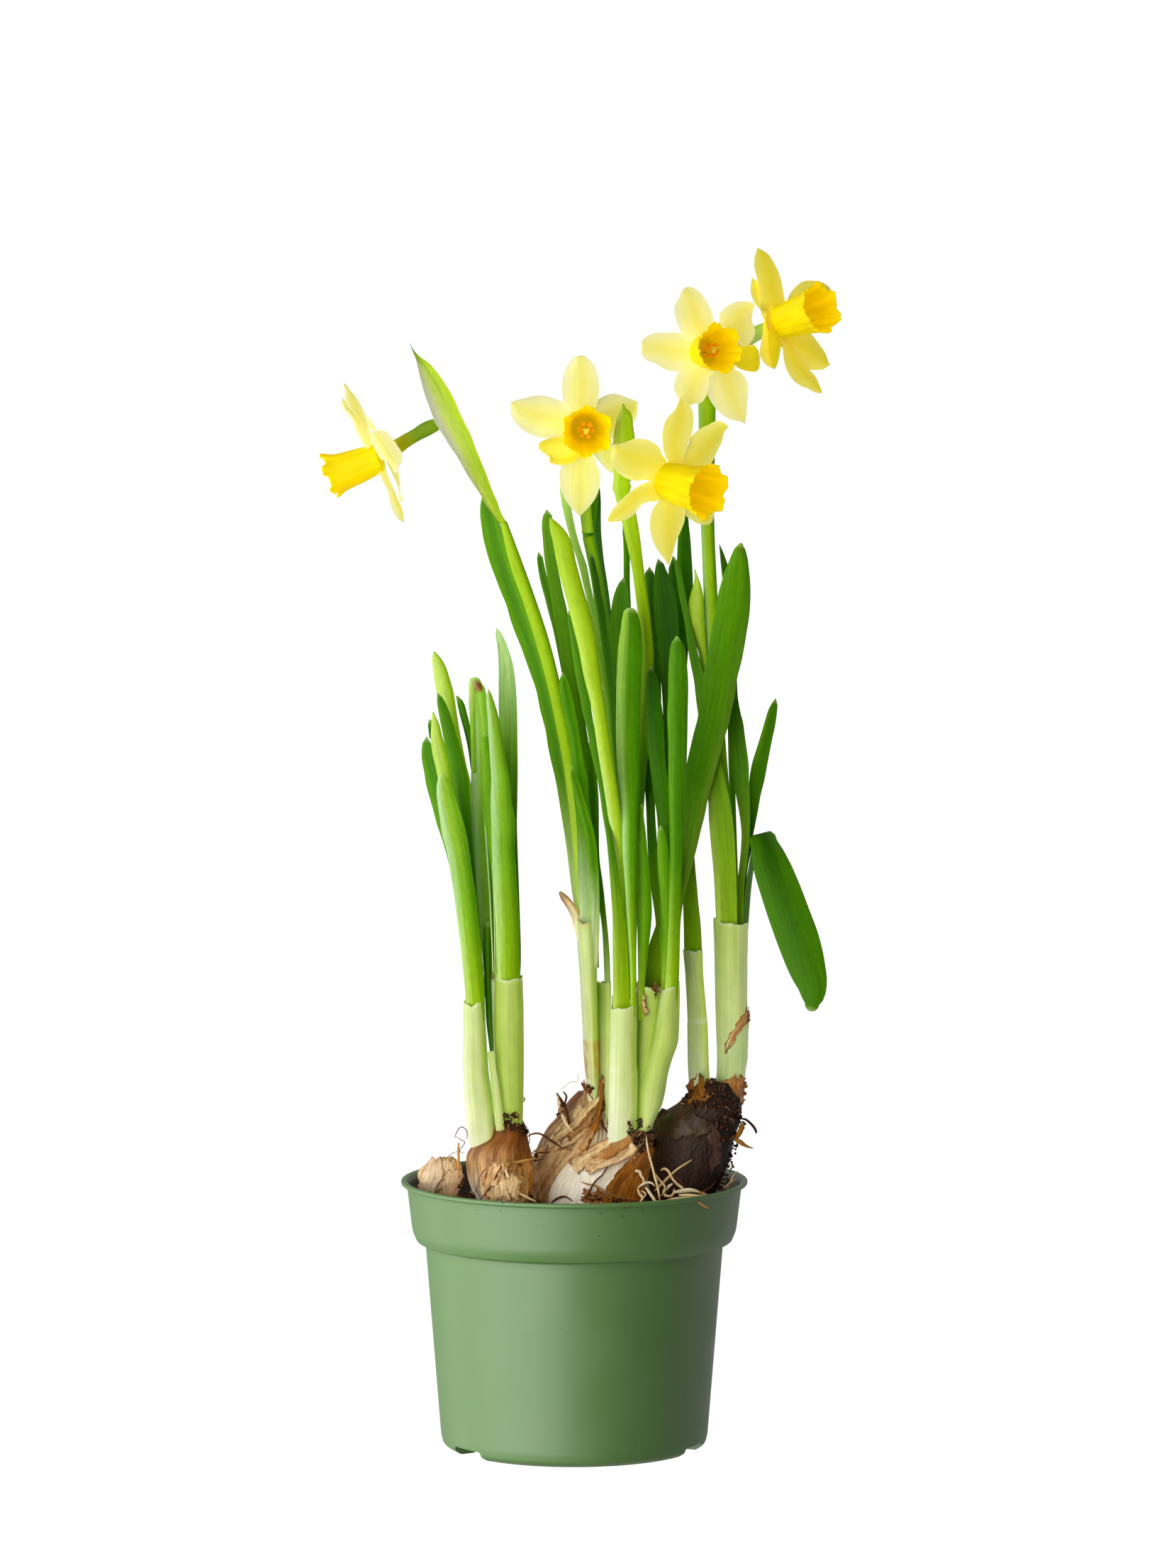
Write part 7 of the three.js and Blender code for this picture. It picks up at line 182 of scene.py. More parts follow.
FIBRES = [
    (0.35, 'umber', ((-41.1,-18,109.9),(-40.4,-19,111.7),(-39.4,-20,113.5),(-38.2,-21,114),(-37.2,-21,113.2),(-36.7,-20,111.4),(-37,-19,109.3))),
    (0.3, 'umber', ((-40.7,-18,110.4),(-38.9,-19,109.3),(-37.5,-20,108.7),(-38.4,-21,107.1),(-39.4,-21,105.9),(-37.7,-20,104.8))),
    (0.75, 'honey', ((-39.7,-19,108.3),(-39.8,-19.5,105.2),(-39.7,-20,101.6),(-39.4,-20,96.4))),
    (0.3, 'rust', ((-44.4,-14,101.5),(-41.9,-16,104.2),(-39.4,-19,105.3))),
    (0.35, 'straw', ((-41.2,-18,102.8),(-42.1,-18,99.8),(-42.9,-18,97.1))),
    (0.85, 'rust', ((-15.8,-22,110.9),(-14.1,-23,111.9),(-12.1,-23,112),(-10.2,-22,111),(-8.3,-20,109.4),(-6.1,-16,107.4),(-4.4,-11,105.5))),
    (0.5, 'tan', ((-15.1,-23,104.7),(-12.9,-22,106.3),(-10.9,-20,107.5))),
    (0.65, 'umber', ((-14.3,-23,104.7),(-12.4,-23,105.4),(-10.2,-22,105.3),(-8.5,-20,105.2))),
    (0.5, 'soot', ((-15.1,-23,102.7),(-12.6,-22,102.6),(-10,-19,102.9))),
    (0.95, 'honey', ((-26.5,-37.2,101.8),(-23.6,-37.6,102.8),(-20.6,-23.5,101.9),(-17,-24,102.7),(-12.9,-22,103.3))),
    (0.3, 'rust', ((-27.5,-36.2,102.4),(-29.1,-24.4,100.8),(-30.6,-23.9,99.7),(-31.8,-23.1,98.1),(-32.7,-25,96.1),(-32.9,-27,94.5),(-34.4,-30,92.2),(-36.3,-32,91.1))),
    (0.7, 'rust', ((-24.8,-38.4,102.9),(-26,-38.3,100.7),(-27,-40.1,98.8),(-28.4,-39.5,96.3),(-30.1,-41.5,94.1),(-32,-42.5,91.9))),
    (0.4, 'straw', ((-26,-38.9,100.1),(-23.8,-39.6,99.5),(-22.4,-40.4,98.1),(-21.4,-40.5,95.9),(-20,-42,93.5),(-18.5,-42,91.3))),
    (0.85, 'cream', ((-23.4,-37.2,102),(-22.4,-39.5,99.2),(-21,-40,95.6),(-18.8,-42,91.8))),
    (0.7, 'straw', ((-24.3,-40,97.1),(-23.1,-42,94.7),(-21.4,-43.5,91.8))),
    (0.28, 'cream', ((-27.5,-40.5,96.9),(-24.5,-41.8,96.4),(-21.9,-41.5,96.1))),
    (0.75, 'straw', ((-18.5,-40.5,93.8),(-15.6,-41,92.4),(-12.7,-41,90.9))),
    (0.5, 'tan', ((-13.6,-23,101),(-12.6,-24,98.2),(-12,-26,95.8),(-11.9,-28,93.4),(-11.4,-31,91.4),(-10.9,-34,89.4))),
    (0.85, 'cream', ((-5.7,-6,122.8),(-5.2,-7,119.2),(-3.9,-8,115.6),(-2.2,-9,112.6),(-0.3,-9,110.4))),
    (0.2, 'straw', ((-5.2,-6,124.7),(-3.5,-6,125.8),(-2,-6,127.2),(-0.3,-6,127.9),(0.9,-6,127.5),(1.4,-6,128.9),(1.2,-6,130.4))),
    ((1,1.7), 'umber', ((-6.1,-5.5,123.7),(-5.2,-5.5,122.2),(-3.5,-5.5,119.3),(-2.5,-6,116.4),(-1.7,-7,113))),
    ((0.9,0.7), 'umber', ((-3.9,-6.5,124.3),(-2.7,-6.5,122.8),(-3.2,-6.5,120.4),(-2.5,-7,117.5))),
    (0.9, 'rust', ((2.4,-1.5,126.9),(3.4,-2,125.2),(4.9,-3,123.6),(6.6,-4,121))),
    ((1.2,0.8), 'umber', ((8.5,-2.2,116.8),(9.3,-2.1,114.4),(10,-1.7,111.8),(11.2,-0.5,109.7),(12.4,-14,110.6))),
    (0.25, 'umber', ((9.5,-2.4,112.7),(11.7,-21.3,115.2))),
    ((1,0.5), 'rust', ((8.3,-2.6,114.9),(7.3,-3.6,112.1),(5.8,-4.3,108.5),(4.9,-24.3,107.8),(4.1,-22.7,104.9))),
    ((0.5,0.9), 'umber', ((12.9,-30.3,104.5),(11.4,-31.4,102),(9.7,-32.1,99.1),(7.8,-32.3,97.4),(6.3,-32.5,95.5),(5.1,-32.7,93.1),(3.7,-32.8,91.2))),
    ((0.3,0.95), 'tan', ((2.2,-30.6,96.5),(4.4,-31.7,95.8),(6.8,-32.4,95.5),(9.7,-32.8,93.8),(12.6,-32.3,92.4),(16,-31.1,90.9),(19.9,-28.2,89.5),(23.6,-22.5,88.4))),
    (0.7, 'umber', ((-7.8,-23.9,88.1),(-5.8,-26.9,90.2),(-3.4,-28.9,91.1),(-0.7,-30.9,89.9))),
    (1, 'rust', ((2.4,-31.9,91.3),(4.9,-32.4,90.9),(7.3,-32.6,90.7),(9.7,-32.5,90.1))),
    (0.35, 'tan', ((3.9,-32.8,91.9),(6.8,-33.2,91.2),(9.7,-32.9,91.7))),
    ((0.55,0.8), 'straw', ((24.7,-27,111.4),(25,-28,108.8),(25.7,-29,105.3),(26.7,-30,101.8),(27.6,-31,98.2),(28.6,-33,94.6),(29.3,-36,90.2))),
    ((0.45,0.9), 'straw', ((40.4,-20,102.5),(38.2,-21.5,101.3),(35.2,-23.5,99.6),(32.8,-25.5,97.7),(30.1,-28.5,95.4),(27.4,-31,93.3))),
    (0.6, 'straw', ((27.7,-28,99),(29.1,-29,97),(30.8,-30,95.2),(31,-31.5,93.4),(29.3,-33,91.7))),
    ((0.95,0.7), 'cream', ((20.8,-32,100.3),(22.3,-32,100.2),(22.9,-32,98.6),(23.7,-32,97.6),(23.3,-33,95.8))),
    (0.7, 'cream', ((21.8,-33,94.6),(23,-34,95.7),(24.7,-34,96.6),(26.4,-34,96.5),(27.6,-34,95.2))),
    (0.85, 'straw', ((21.8,-33,94.6),(22.3,-34,92.8),(23.5,-35,91.5),(22.3,-36,90.2))),
    (0.6, 'straw', ((23,-35,93.9),(24.4,-35.5,93),(23.7,-36,91.6))),
    (0.95, 'cream', ((24.4,-35,95.1),(25.6,-36,93.6),(26.8,-37,92),(28,-38,90.2))),
    ((0.7,0.8), 'straw', ((29.6,-24,99.4),(31.1,-24.5,100.1),(32.3,-25,99.3),(33.3,-25.5,97.4),(34.7,-26.5,95.6),(36.4,-27.5,94.3),(38.1,-29,93.3))),
    (0.5, 'rust', ((34,-22,97.2),(35.7,-23,96.4),(36.9,-24,95),(37.9,-26,93.1))),
    (0.85, 'cream', ((31.5,-29,93.1),(32.3,-29,94.5),(33.7,-29.5,95.6))),
    (0.7, 'straw', ((34.2,-30,93.9),(33.9,-31,92.4),(32.5,-32,91.5))),
    (0.9, 'straw', ((30.5,-30,93.7),(31,-32,92),(33.9,-33,91.9))),
    (1.25, 'cream', ((34.2,-31.5,92.9),(36.8,-31,93.3),(40,-30.5,93.5),(43.1,-30,92.7))),
    (0.9, 'straw', ((35.8,-34,92.3),(39.5,-34,92.3),(43.1,-33.5,91.8),(45.8,-31,92.1))),
    (1, 'straw', ((27.1,-38.5,90.8),(30.9,-38.5,90.8),(35.1,-37.5,91.6),(39.2,-36,91.6),(42.6,-34.5,91.4))),
    (0.8, 'tan', ((42.4,-30,92.5),(44.4,-30,92.2),(45.6,-31,91.1))),
    ((0.6,0.4), 'tan', ((40.8,-38.5,92.5),(42,-41.5,91.6),(43.2,-43.6,90.6),(44.9,-43.6,89.6),(46.8,-42.6,88.7))),
    ((0.6,1), 'rust', ((48.6,-13,93.9),(47.1,-15,92.5),(44.8,-18,91.5),(42.6,-22,91.1))),
    (0.45, 'straw', ((52.7,-14,91.9),(54,-11,94.1),(55.3,-8,95.7),(56.5,-6,96.6))),
    (0.35, 'straw', ((51.2,-16,91.9),(53.2,-13,93.2),(54.7,-11,93.9),(56.2,-9,94.6))),
    (0.3, 'tan', ((53.2,-15,91.3),(53.7,-12,92.8),(53.5,-12,94.3))),
    ((0.8,1.3), 'soot', ((57.2,-5,114.7),(59,-4,114.4),(60.5,-3,113.2),(61.7,-2,111.9),(62.7,-2,110.4),(63,-2,109.2))),
    ((1.2,1.6), 'gold', ((58.5,-4,113.1),(57.7,-4.5,111.2),(56.8,-5,109.3),(55.8,-5,107.6))),
    ((1.7,0.3), 'gold', ((55.3,-5.5,107.7),(57,-5.5,106.9),(58.7,-5,105.6),(60.2,-4.5,104.8),(61.9,-4,104.2))),
    (0.5, 'umber', ((-17.5,-17,123.7),(-17,-17.5,123.3),(-17.5,-17,122.2))),
    (0.35, 'umber', ((-16.6,-16,113.8),(-15.6,-18,112.1),(-15.3,-20,110.4),(-15.6,-20,107),(-15.3,-21,104.6))),
]
FLAPS = [
    ('bulb_left', 'brownpaper', ((101.7,-21.4,-14.4,0.9,0.6,0.3),(98.2,-22.9,-14.6,1.3,0.9,0.5),(95,-22.4,-15.1,1.2,0.9,0.5),(91.4,-20.9,-15.8,0.9,0.7,0.5),(88.3,-19.5,-16.6,0.5,0.5,0.5))),
    ('bulb_middle', 'pinktan', ((104.6,-6.9,4.6,0.7,1,0.5),(102.8,-9.3,2.9,0.7,1.1,0.9),(99.8,-11.3,-1,0.8,1.2,1.1),(96.8,-13,-3.2,0.8,1.3,1.2),(93.2,-14.8,-5.4,0.8,1.3,1.3),(89.1,-15.7,-7.4,0.8,1.2,1.2),(84.5,-16.3,-9.6,0.7,1,1))),
    ('bulb_middle', 'strip', ((118.8,0.5,7.8,0.6,0.9,0.5),(115.9,-2.2,7.3,0.7,1.2,0.8),(113,-4.9,6.8,0.7,1.3,0.9),(110.1,-7.9,5.8,0.7,1.2,0.9),(107.7,-9.6,2.9,0.6,1.1,0.9),(105.6,-10.3,-1.5,0.5,0.9,0.7),(103.6,-10.8,-4.9,0.4,0.6,0.5))),
    ('bulb_middle', 'darkstrip', ((128.3,7.8,11.4,1.6,1.9,1.4),(126.6,6.8,10.5,1.6,1.9,1.2),(121.1,5.8,8.5,1.5,1.8,1.2),(118.3,4.4,8,1.7,2,1.5),(115.5,2.4,7.3,1.9,2.3,1.7),(112.8,-0.5,5.4,1.9,2.4,1.9),(110.4,-3,2.4,1.7,2.1,1.6),(108.2,-4.9,-1,1.3,1.6,1.2))),
    ('bulb_middle', 'papery', ((127.3,3.6,6.8,0.7,1.2,0.6),(125.3,2.9,7.3,0.8,1.4,0.7),(119.9,2.4,6.8,0.8,1.2,0.7),(116.4,1.2,5.4,0.7,1,0.6),(113,-1,3.4,0.5,0.8,0.5))),
    ('bulb_middle', 'papery', ((116.7,8,9.8,0.5,0.9,0.6),(113.9,6.3,8.8,0.8,1.2,0.8),(111,4.9,7.8,1,1.4,1),(108.2,2.4,6.8,1.2,1.5,1),(105.6,-0.5,4.9,1.2,1.4,0.8),(103.4,-2.5,3.4,0.9,1,0.5))),
    ('bulb_front', 'drape', ((110.8,13.6,19,0.4,0.7,0.5),(109.1,9.2,20.6,0.6,1.1,0.8),(107.4,6.3,21.6,0.8,1.5,1.1),(105.6,2.7,21.6,1,1.7,1.2),(104.2,0.3,18,1.2,1.8,1),(102.7,-1.9,13.1,1.1,1.9,1.3),(101.3,-1.7,9.7,0.9,1.6,1.2),(100.1,0.5,6.3,0.6,0.9,0.7))),
    ('bulb_front', 'drapelow', ((107,18.4,21.6,0.5,0.6,0.5),(105.2,18.9,21.3,0.8,0.9,0.7),(103.5,19.4,20.6,1.2,1.2,1.1))),
    ('bulb_front', 'golden', ((107.5,23.8,27,0.4,0.5,0.4),(104.8,20.4,26.9,0.7,0.7,0.5),(102.1,17,26.4,1,0.8,0.5),(99.8,14.6,25.7,1.2,0.9,0.5),(97.5,12.4,25,1.3,0.9,0.5),(94.6,10.9,24,1.2,0.9,0.5),(90.7,10,22.6,0.8,0.7,0.5),(87.7,9.7,21.3,0.5,0.5,0.5))),
    ('bulb_front', 'golden', ((93.4,3.4,9.7,0.4,0.6,0.5),(91.5,2.9,11.2,0.6,0.8,0.6),(89.1,2.4,11.6,0.5,0.6,0.5))),
    ('bulb_right', 'earthy', ((114.2,46.1,49.5,0.2,0.5,0.2),(110.7,45.9,50,0.3,0.6,0.3),(107.3,46.1,50.3,0.3,0.6,0.3),(103.6,47.9,51,0.2,0.6,0.3),(100.2,47.1,50.1,0.2,0.6,0.3),(97.1,45.9,48.1,0.1,0.4,0.2))),
    ('bulb_right', 'olivepaper', ((116.7,28.3,42.7,0.2,0.4,0.3),(114.6,26.8,46.4,0.3,0.5,0.4),(111.8,26.3,47.3,0.3,0.5,0.4),(109.3,26.3,42.7,0.2,0.3,0.2))),
    ('bulb_right', 'neckskin', ((129.3,42,43.3,1.6,2,1.6),(127.8,39.4,45,1.4,1.9,1.4),(124.3,39.1,46.2,1.2,1.7,1.2),(122.6,40,46.6,0.9,1.3,0.9),(120.7,38.6,45.4,0.6,0.9,0.6))),
    ('r1', 'cup', ((129.2,54,57.2,0.9,1.2,0.9),(128,51.1,59.4,0.9,1.4,1),(126.3,49.9,59.7,0.9,1.6,1.1),(124.3,50.9,59.2,0.9,1.6,1.1),(122.2,52.8,59,0.7,1.2,0.9))),
    ('r1', 'pinktan', ((122.6,54.8,59.2,0.3,0.6,0.4),(120.6,55.3,58.8,0.3,0.6,0.4),(118.3,55.8,58.3,0.3,0.5,0.3))),
    ('r1', 'outer', ((151.7,58.8,60.7,0.5,0.6,0.5),(149.9,57,60.5,0.6,0.7,0.5),(147.1,55.2,60.4,0.6,0.7,0.4),(144.3,53.8,60.2,0.6,0.6,0.4),(140.6,52.5,60.1,0.5,0.5,0.4),(136.4,51.6,60,0.4,0.4,0.3),(131.5,50.6,59.5,0.3,0.3,0.3),(127.5,49.9,58.9,0.2,0.2,0.2))),
    ('r1', 'tear', ((152.1,59.5,60.3,0.7,0.9,0.8),(150.4,58,60.9,0.8,1,1.2),(148.7,56.3,61.1,0.8,1.1,1.4),(147,55,58.7,0.8,1,1),(144.9,54,57.2,0.7,0.9,0.8),(142.4,53,55.7,0.6,0.8,0.6),(140.1,52.3,54,0.5,0.6,0.5),(138.1,51.6,52.6,0.4,0.4,0.4))),
    ('cg', 'strip', ((163.5,21.1,23.1,0.8,1,0.8),(160.6,20.9,23.4,0.9,1.2,0.9),(158.6,21.7,23.8,0.9,1.2,0.9),(156.4,22.6,24.6,0.9,1.2,0.9),(154,23.3,24.8,0.9,1.1,0.9),(152.8,23.8,24.8,0.7,0.8,0.7))),
    ('cg', 'ruddy', ((162.5,26.5,29.4,0.5,0.7,0.5),(160.7,27.2,29.2,0.5,0.7,0.5),(158.9,28,28.7,0.4,0.5,0.4))),
    ('bulblet_left', 'scaley', ((101.6,-44.5,-43,0.9,1.1,0.9),(99.5,-46.4,-41.5,1,1.3,1),(96.8,-48.3,-40.5,1,1.4,1),(93.8,-49.3,-41.5,0.8,1.1,0.8),(91.3,-48.4,-43.5,0.6,0.7,0.6))),
    ('bulblet_left', 'scaley', ((101.6,-49.6,-45.7,1.2,1.5,1.4),(98.1,-51.8,-44.9,1.3,1.7,1.6),(95.2,-53.2,-45.4,1.3,1.7,1.5),(92,-53.8,-47.4,1,1.3,1.1),(89,-53.4,-49,0.8,1,0.8))),
    ('bulblet_left', 'scaley', ((97.9,-43,-39.1,1.6,2,1.8),(96.1,-44.9,-38.1,1.7,2.2,2),(93.7,-45.9,-38.6,1.6,2.1,1.8),(90.5,-45,-39.6,1.3,1.7,1.4),(88.2,-43.6,-40.6,1,1.2,1))),
    ('bulblet_front', 'papery', ((103.9,-28,-23.6,1,1.3,1),(101.4,-29.9,-22.7,1.1,1.5,1.1),(98.8,-30.9,-25.6,1,1.3,1),(95.9,-31.3,-27.5,0.8,1,0.8))),
    ('bulblet_front', 'pinktan', ((99.7,-25.1,-18.8,1.5,1.9,1.4),(97.5,-26,-17.8,1.6,2,1.5),(94.7,-25.5,-18.3,1.3,1.7,1.2),(91.8,-24.6,-19.7,1,1.2,1))),
    ('bulb_middle', 'strip', ((121.5,6.3,8.8,2.2,2.6,2),(118.8,3.9,6.8,2.4,3,2.4),(115.4,0.5,3.9,2.6,3.2,2.6),(112,-3,0.9,2.2,2.8,2.2),(109,-6.4,-2.5,1.7,2.2,1.7),(106.5,-8.9,-5.4,1.2,1.4,1.2))),
    ('bulb_middle', 'golden', ((126.1,9.2,10.7,1.6,1.9,1.4),(119.5,8.5,10.3,1.7,2,1.5),(115.8,7.3,9.8,1.6,2,1.4),(111.5,5.8,8.8,1.3,1.6,1.2),(107.7,3.9,6.8,1,1.2,0.9))),
    ('bulb_front', 'drapelow', ((111.9,18.5,20.9,0.9,1.2,0.9),(109.7,15.1,19.4,1.3,1.8,1.3),(107.4,11.2,16.5,1.5,2.1,1.6),(105.1,6.3,12.6,1.5,2.1,1.6),(103.1,2,7.8,1.3,1.6,1.2))),
    ('bulblet_left', 'pinktan', ((101.1,-46.5,-41.6,0.3,0.5,0.3),(98.6,-51.3,-39.1,0.4,0.6,0.4),(95.3,-52.2,-38.6,0.4,0.6,0.4),(91.8,-50.8,-39.6,0.3,0.5,0.3))),
    ('bulblet_front', 'pinktan', ((100.3,-29.9,-24.6,0.3,0.5,0.4),(97.9,-31.3,-23.6,0.4,0.6,0.5),(94.7,-30.8,-23.1,0.4,0.6,0.5),(91.2,-29.4,-23.6,0.3,0.5,0.4))),
    ('bulblet_front', 'drapelow', ((98.8,-22.7,-17.3,0.5,0.5,0.3),(96.1,-23.1,-16.6,0.6,0.6,0.4),(92.7,-22.6,-16.9,0.5,0.5,0.4))),
]
CLODS = [
    ((-25.8,-15.4,115.6), 2, 1, 'umber'),
    ((-22.9,-19.8,117), 2, 1.5, 'soot'),
    ((-20.2,-20.1,118), 1.2, 1, 'umber'),
    ((-21.9,-19.7,114.3), 2.7, 1.7, 'soot'),
    ((-19.2,-18.9,113.2), 2.2, 1.7, 'soot'),
    ((-17.3,-17.4,111.7), 1.2, 1.2, 'soot'),
    ((-24.3,-18.2,114.8), 1.5, 1, 'umber'),
    ((18.9,-24.3,113.9), 1.2, 2.2, 'umber'),
    ((21.6,-26.3,111.3), 2.5, 2.7, 'soot'),
    ((22.6,-22.8,115.4), 1.1, 1.5, 'soot'),
    ((26,-23.2,111.8), 2.5, 2.5, 'soot'),
    ((20.4,-27.5,109), 1.5, 2, 'umber'),
    ((24.8,-25.5,109.2), 2, 1.2, 'soot'),
    ((27.4,-7.5,106.7), 1.2, 1.5, 'umber'),
    ((23,-27,107.4), 1.7, 1, 'umber'),
    ((40.6,-6.2,122.8), 2, 1.7, 'rust'),
    ((37.7,-20.5,122.7), 1.1, 1.5, 'umber'),
    ((47.4,-8.7,127.3), 2, 1.5, 'umber'),
    ((49.8,-9.9,124.8), 2.7, 2.2, 'soot'),
    ((53.7,-9,121.4), 2.7, 2.5, 'umber'),
    ((56.5,-5.7,116.3), 1.1, 2.5, 'soot'),
    ((48.5,-11.3,120.8), 3.4, 2.2, 'umber'),
    ((57.8,-3,112.5), 0.9, 1.7, 'umber'),
    ((43.2,-10.4,120.4), 2.5, 1.5, 'umber'),
    ((55.3,-5,106.4), 1, 4.2, 'soot'),
    ((53.9,-4.1,99.3), 1, 3.2, 'soot'),
    ((51.9,-4.8,93.5), 1.5, 2.5, 'umber'),
    ((46.4,-10.2,123.6), 2, 1.5, 'rust'),
    ((52.5,-10,114.9), 2.5, 2.5, 'umber'),
    ((51.3,-10.3,110), 1.7, 2.9, 'soot'),
    ((8.8,-2.2,117.3), 1.1, 1.5, 'umber'),
    ((9.8,-0.5,119.6), 0.9, 1.7, 'umber'),
    ((5.4,-4.7,124.8), 1.5, 1.2, 'rust'),
    ((-13.1,0.7,100.4), 1, 1.1, 'soot'),
    ((-3.9,-22,121.9), 0.9, 0.9, 'umber'),
    ((-5.1,-21.8,119.2), 0.9, 1.1, 'tan'),
    ((-37.7,-21,89.4), 1.7, 0.9, 'umber'),
    ((-34.9,-16.5,90.3), 1.2, 0.7, 'umber'),
    ((-38.7,-20.2,93.7), 1.1, 1.2, 'rust'),
    ((6.8,-32.8,91.2), 2.2, 0.9, 'umber'),
    ((14.5,-31.6,90.3), 3.2, 0.7, 'umber'),
    ((-16.6,-19.2,90.2), 2.5, 1.2, 'umber'),
    ((50.6,-6.9,90.8), 1.2, 1.1, 'soot'),
    ((32.9,-12.7,88.2), 4.9, 0.9, 'umber'),
    ((25.5,-22,89.6), 3.2, 1.2, 'umber'),
]
# colour schemes shared by many leaves and stems: tip to base, and left, middle and right across
# the paler left columns are partly the leaves' waxy bloom and partly painted light from the side light, the darker
# right columns painted shade; a darker middle is painted shade in a crease, and on stalks and buds a lighter middle is
# a painted highlight down the round stem
KINDS = {
    'dark': '0 mid dark dark|.6 mid mid mid|1 lime lime lime',
    'green': '0 fresh mid mid|.6 fresh mid mid|1 ygp lime lime',
    'bright': '0 spring fresh fresh|.6 fresh vivid mid|1 ygp lime lime',
    'waxy': '0 bloomlt light spring|.5 bloom spring mid|1 ygp lime olive',
    'waxytop': '0 bloomlt pale bloomlt|.35 light spring spring|1 lime lime olive',
    'waxyedge': '0 light mid mid|.6 bloom fresh mid|1 light lime lime',
    'pallid': '0 bloom bloom bloom|.55 light fresh fresh|1 ygp ygp ygp',
    'palefoot': '0 fresh mid fresh|.6 fresh mid fresh|1 pale pale ygp',
    'creamfoot': '0 fresh mid fresh|.5 fresh mid fresh|1 cream pale pale',
    'greyfoot': '0 fresh fresh mid|.5 mid mid greyd|1 light light light',
    'limefoot': '0 fresh mid mid|.4 fresh fresh fresh|1 ygp lime lime',
    'bent': '0 mid mid mid|.6 mid dark mid|1 mid mid olive',
    'stalklime': '0 yg yg olive|.5 lime lime olive|1 ygp ygp lime',
    'stalkgreen': '0 fresh lime fresh|.5 fresh lime fresh|1 ygp lime lime',
    'stalkpale': '0 ygp yg lime|.3 yg lime lime|.6 fresh fresh mid|1 ygp lime lime',
    'stalkwaxy': '0 light lime fresh|.5 bloom lime fresh|1 lime lime olive',
    'budlime': '0 yg ygp yg|.4 lime lime lime|1 lime lime lime',
    'budwaxy': '0 ygp ygp yg|.4 light light lime|1 lime lime lime',
    'budpale': '0 yg yg lime|.4 ygp yg lime|1 pale ygp yg',
}
KIND_OF = {
    'leaf_left_1': 'waxy',
    'leaf_left_4': 'waxy',
    'leaf_left_5': 'waxy',
    'leaf_left_6': 'bright',
    'leaf_front_3': 'bright',
    'leaf_centre_2': 'bright',
    'leaf_middle_3': 'bright',
    'leaf_left_7': 'waxytop',
    'leaf_middle_1': 'palefoot',
    'leaf_middle_2': 'palefoot',
    'leaf_middle_5': 'palefoot',
    'leaf_middle_4': 'creamfoot',
    'leaf_middle_6': 'creamfoot',
    'leaf_back_1': 'pallid',
    'leaf_left_2': 'green',
    'leaf_left_3': 'green',
    'leaf_back_2': 'green',
    'leaf_back_3': 'green',
    'leaf_front_1': 'green',
    'leaf_centre_3': 'green',
    'leaf_right_4': 'green',
    'leaf_right_5': 'green',
    'leaf_back_4': 'dark',
    'leaf_back_5': 'dark',
    'leaf_centre_1': 'dark',
    'leaf_centre_4': 'dark',
    'leaf_centre_5': 'dark',
    'leaf_centre_6': 'dark',
    'leaf_right_1': 'dark',
    'leaf_front_2': 'waxyedge',
    'leaf_centre_7': 'greyfoot',
    'leaf_right_2': 'limefoot',
    'leaf_right_3': 'limefoot',
    'leaf_right_bent': 'bent',
    'stem_1': 'stalklime',
    'stem_2': 'stalkgreen',
    'stem_3': 'stalkpale',
    'stem_4': 'stalkwaxy',
    'bud_stem_right': 'budlime',
    'bud_stem_left_1': 'budwaxy',
    'bud_stem_left_2': 'budwaxy',
    'bud_stem_middle': 'budpale',
}

# ------------------------------------------------------------------ helpers
def lin(c):
    c = np.asarray(c, float) / 255.0
    return np.where(c <= 0.04045, c / 12.92, ((c + 0.055) / 1.055) ** 2.4)


PAL = {
    "deep": (22, 62, 2), "dark": (40, 94, 3), "mid": (68, 126, 6), "fresh": (90, 148, 14), "vivid": (110, 168, 16),
    "spring": (120, 172, 44), "light": (150, 192, 78), "olive": (112, 154, 5), "lime": (148, 186, 20), "mustard": (158, 164, 40),
    "bloom": (162, 202, 116), "bloomlt": (180, 213, 142), "grey": (132, 168, 80), "greyd": (98, 136, 46), "pale": (210, 230, 152),
    "cream": (224, 236, 184), "ivory": (242, 248, 218), "yg": (165, 202, 50), "ygp": (190, 218, 108), "ygd": (130, 168, 24),
    "white": (252, 253, 244), "straw": (206, 176, 122), "tan": (172, 122, 70), "rust": (128, 68, 26), "umber": (74, 46, 30),
    "soot": (34, 23, 18), "gold": (184, 126, 36), "honey": (206, 158, 76), "sand": (222, 190, 148), "pink": (204, 162, 130), "pinklt": (232, 206, 178),
    "flesh": (253, 244, 222), "bone": (240, 222, 180), "paper": (218, 172, 108), "paperlt": (243, 212, 156), "toast": (188, 121, 40), "caramel": (156, 88, 18), "bark": (100, 54, 14), "loam": (58, 36, 22), "earth": (78, 54, 36), "plum": (92, 60, 54), "olivebr": (96, 80, 40),
    "lemon": (248, 239, 134), "lemonlt": (252, 247, 172), "lemondk": (240, 227, 92), "sulph": (236, 216, 30),
    "lemon3": (240, 226, 86), "lemon3lt": (246, 238, 124), "lemon3dk": (230, 212, 58),
    "lemon5": (232, 214, 62), "lemon5lt": (240, 226, 96), "lemon5dk": (222, 200, 30),
    "yolk": (253, 214, 0), "amber": (228, 186, 0), "sun": (255, 228, 0), "orange": (246, 158, 8), "anther": (252, 184, 16), "stigma": (246, 214, 60),
    "leaflime": (184, 214, 66), "leaflimelt": (206, 228, 112), "leaflimedk": (118, 162, 24), "leaflimed": (148, 188, 38),
    "s1": (208, 222, 142), "s2": (186, 207, 100), "s3": (166, 190, 76), "s4": (138, 161, 28), "s5": (226, 234, 182), "s6": (238, 243, 208),
    "pedicel": (98, 136, 10), "pedicellt": (128, 160, 30), "tubeol": (178, 178, 6),
}


def P(c):
    return lin(PAL[c]) if isinstance(c, str) else lin(c)


